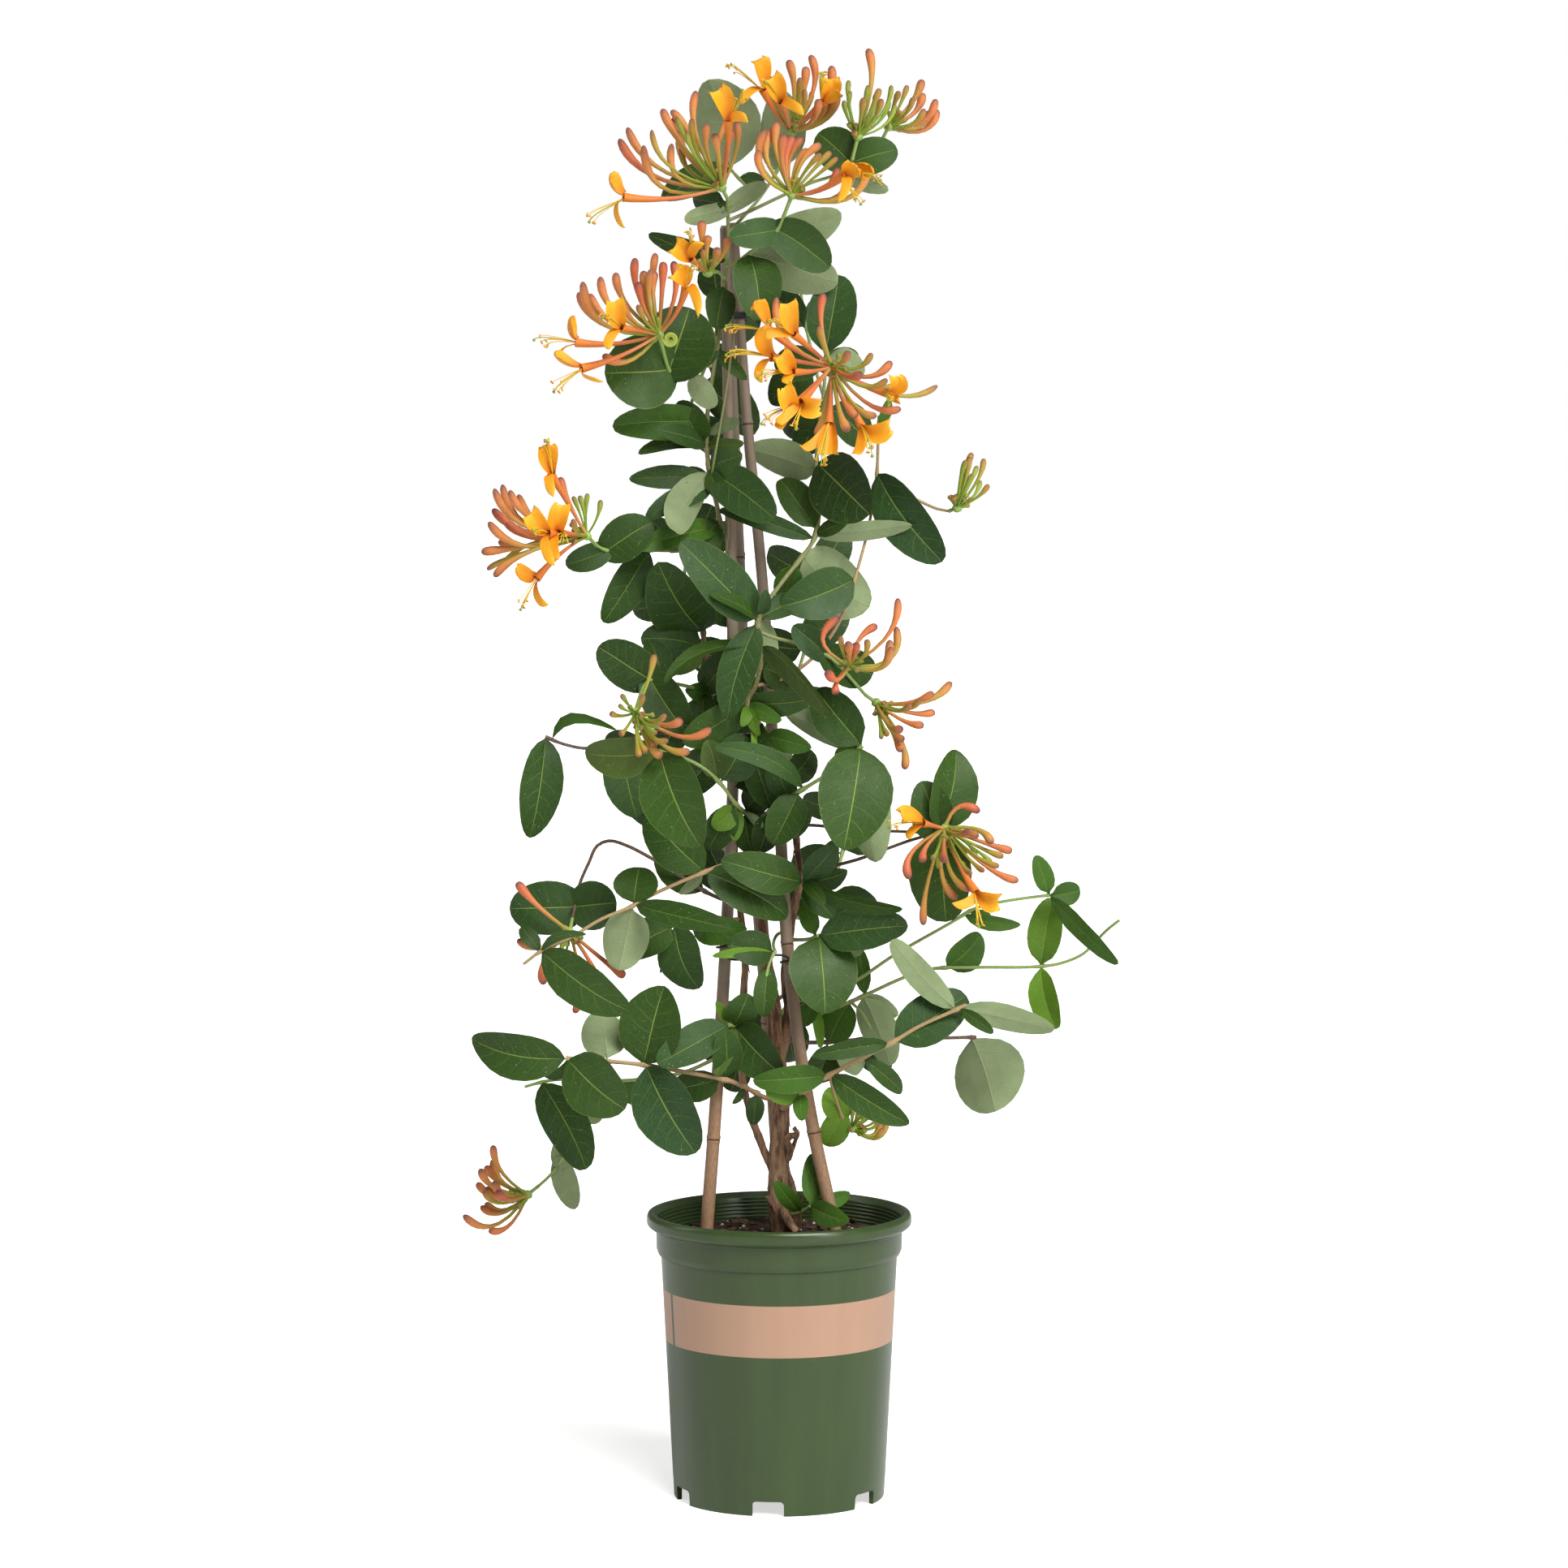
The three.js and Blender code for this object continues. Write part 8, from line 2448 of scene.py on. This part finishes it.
    def build(self, finishes: Finishes) -> Piece:
        """Draws the whole head.

        Args:
            finishes: Every finish of the object.

        Returns:
            The piece.
        """
        draft = Draft()
        dice = random.Random(self.plan.name)
        hub = SHEET.place(self.plan.hub)
        stalk = [nearest(self.carriers, SHEET.place(self.plan.stalk[0])),
                 *SHEET.line(self.plan.stalk[1:]), hub]
        stops = ((0, paint("7c9a4e")), (1, paint("8aa955")))
        draft.rod(tapered(smoothed(stalk, 2.5), (1.25, 1.1, 1.2, 1.6), stops), 8, skin=1)
        middle = Vector((0.0, 0.0, 0.0))
        for tip, bend, stage in self.filled(hub, dice):
            self.draw_bud(draft, hub, tip, bend, stage, dice)
            middle += (tip - hub).normalized()
        for bloom in self.plan.blooms:
            self.draw_bloom(draft, hub, bloom, dice)
        if self.plan.coil:
            self.draw_coil(draft, hub, SHEET.place(self.plan.coil))
        made = bmesh.ops.create_icosphere(draft.mesh, subdivisions=2, radius=self.hub_girth * MM)["verts"]
        for corner in made:
            corner.co = corner.co * (1 + 0.25 * noise.noise(corner.co * 900)) + hub
            corner[draft.colour] = paint("8fae52")
        for face in faces_of(made):
            face.smooth = True
            face.material_index = 1
        middle.normalize()
        for _ in range(self.young):
            way = (middle + scatter(dice) * 0.9).normalized()
            stage = dice.choice((Stage.GREEN, Stage.GREEN, Stage.LIME))
            self.draw_bud(draft, hub, hub + way * dice.uniform(6, 13) * MM, 0.0, stage, dice)
        return draft.done(self.plan.name, (finishes.petal, finishes.stalk))


# ---------------------------------------------------------------- studio


@dataclass
class Studio:
    """Pale floor, soft lights and the camera."""

    lens: float = 113.14
    sensor: float = 36.0
    ambient: float = 0.17
    backdrop: float = 1.0
    sun: float = 3.0

    def light(self, name: str, at: Spot, aim: Spot, size: tuple[float, float], power: float) -> None:
        """Hangs one soft box, in metres and watts.

        Args:
            name: Its name.
            at: Where it hangs.
            aim: Where it points.
            size: Its two sides.
            power: Its power.
        """
        lamp = bpy.data.lights.new(name, "AREA")
        lamp.shape, lamp.size, lamp.size_y, lamp.energy = "RECTANGLE", *size, power
        self.hang(name, lamp, at, aim)

    @staticmethod
    def hang(name: str, lamp: bpy.types.Light, at: Spot, aim: Spot) -> None:
        """Puts a lamp in its place, turned towards what it lights.

        Args:
            name: Its name.
            lamp: The lamp.
            at: Where it hangs.
            aim: Where it points.
        """
        holder = bpy.data.objects.new(name, lamp)
        holder.location = at
        holder.rotation_euler = (Vector(aim) - Vector(at)).to_track_quat("-Z", "Y").to_euler()
        bpy.context.scene.collection.objects.link(holder)

    def air(self) -> bpy.types.World:
        """White backdrop that lights the plant less than it shows."""
        wires = Wiring("studio air", air=True)
        return wires.finish(Color=WHITE, Strength=wires.seen(self.backdrop, self.ambient))

    def build(self) -> None:
        """Lays the floor, hangs the lights and sets the camera."""
        scene = bpy.context.scene
        ground = bmesh.new()
        bmesh.ops.create_circle(ground, cap_ends=True, segments=64, radius=30.0)
        floor = put_in_scene(ground, "studio_floor")
        floor.data.materials.append(PlainGround().material())
        scene.world = self.air()
        sun = bpy.data.lights.new("broad sky light", "SUN")
        sun.energy, sun.angle = self.sun, math.radians(34)
        self.hang("broad sky light", sun, (0.9, -1.7, 2.4), (0, 0, 0.4))
        self.light("key box", (1.5, -1.6, 1.1), (0, 0, 0.45), (0.4, 1.8), 20)
        self.light("rim box", (-1.7, 0.2, 1.3), (0, 0, 0.5), (0.4, 1.6), 5)
        scene.view_settings.view_transform = "Standard"
        lens = bpy.data.cameras.new("studio camera")
        lens.lens, lens.sensor_width, lens.sensor_fit = self.lens, self.sensor, "HORIZONTAL"
        lens.clip_end = 100.0
        camera = bpy.data.objects.new("studio camera", lens)
        camera.location = (SHEET.across * MM, -SHEET.back * MM, SHEET.height * MM)
        camera.rotation_euler = (math.pi / 2 - SHEET.pitch, 0.0, 0.0)
        scene.collection.objects.link(camera)
        scene.camera = camera
        LOG.info("studio ready")


# ---------------------------------------------------------------- the whole


def grow_plant(finishes: Finishes) -> None:
    """Grows the trunk, the leafy stems and the flower heads, each from what carries it.

    Args:
        finishes: Every finish of the object.
    """
    trunk = Trunk(WOODY_STEMS)
    trunk.build(finishes)
    grown = {"trunk": trunk.lines()}
    for plan in SPRAYS:
        spray = LeafySpray(plan, grown[plan.carrier])
        spray.build(finishes)
        grown[plan.name] = spray.lines
    for plan in HEADS:
        FlowerHead(plan, grown[plan.carrier]).build(finishes)


def main() -> None:
    """Builds the studio, the potted canes and the plant."""
    logging.basicConfig(level=logging.INFO, format="%(name)s: %(message)s")
    Studio().build()
    finishes = Finishes()
    NurseryPot().build(finishes)
    PottingSoil().build(finishes)
    canes = [BambooCane(name, route) for name, route in CANE_ROUTES.items()]
    for cane in canes:
        cane.build(finishes)
    ties = Ties({cane.name: cane.line() for cane in canes})
    ties.lower(finishes)
    ties.upper(finishes)
    grow_plant(finishes)


if __name__ == "__main__":
    main()
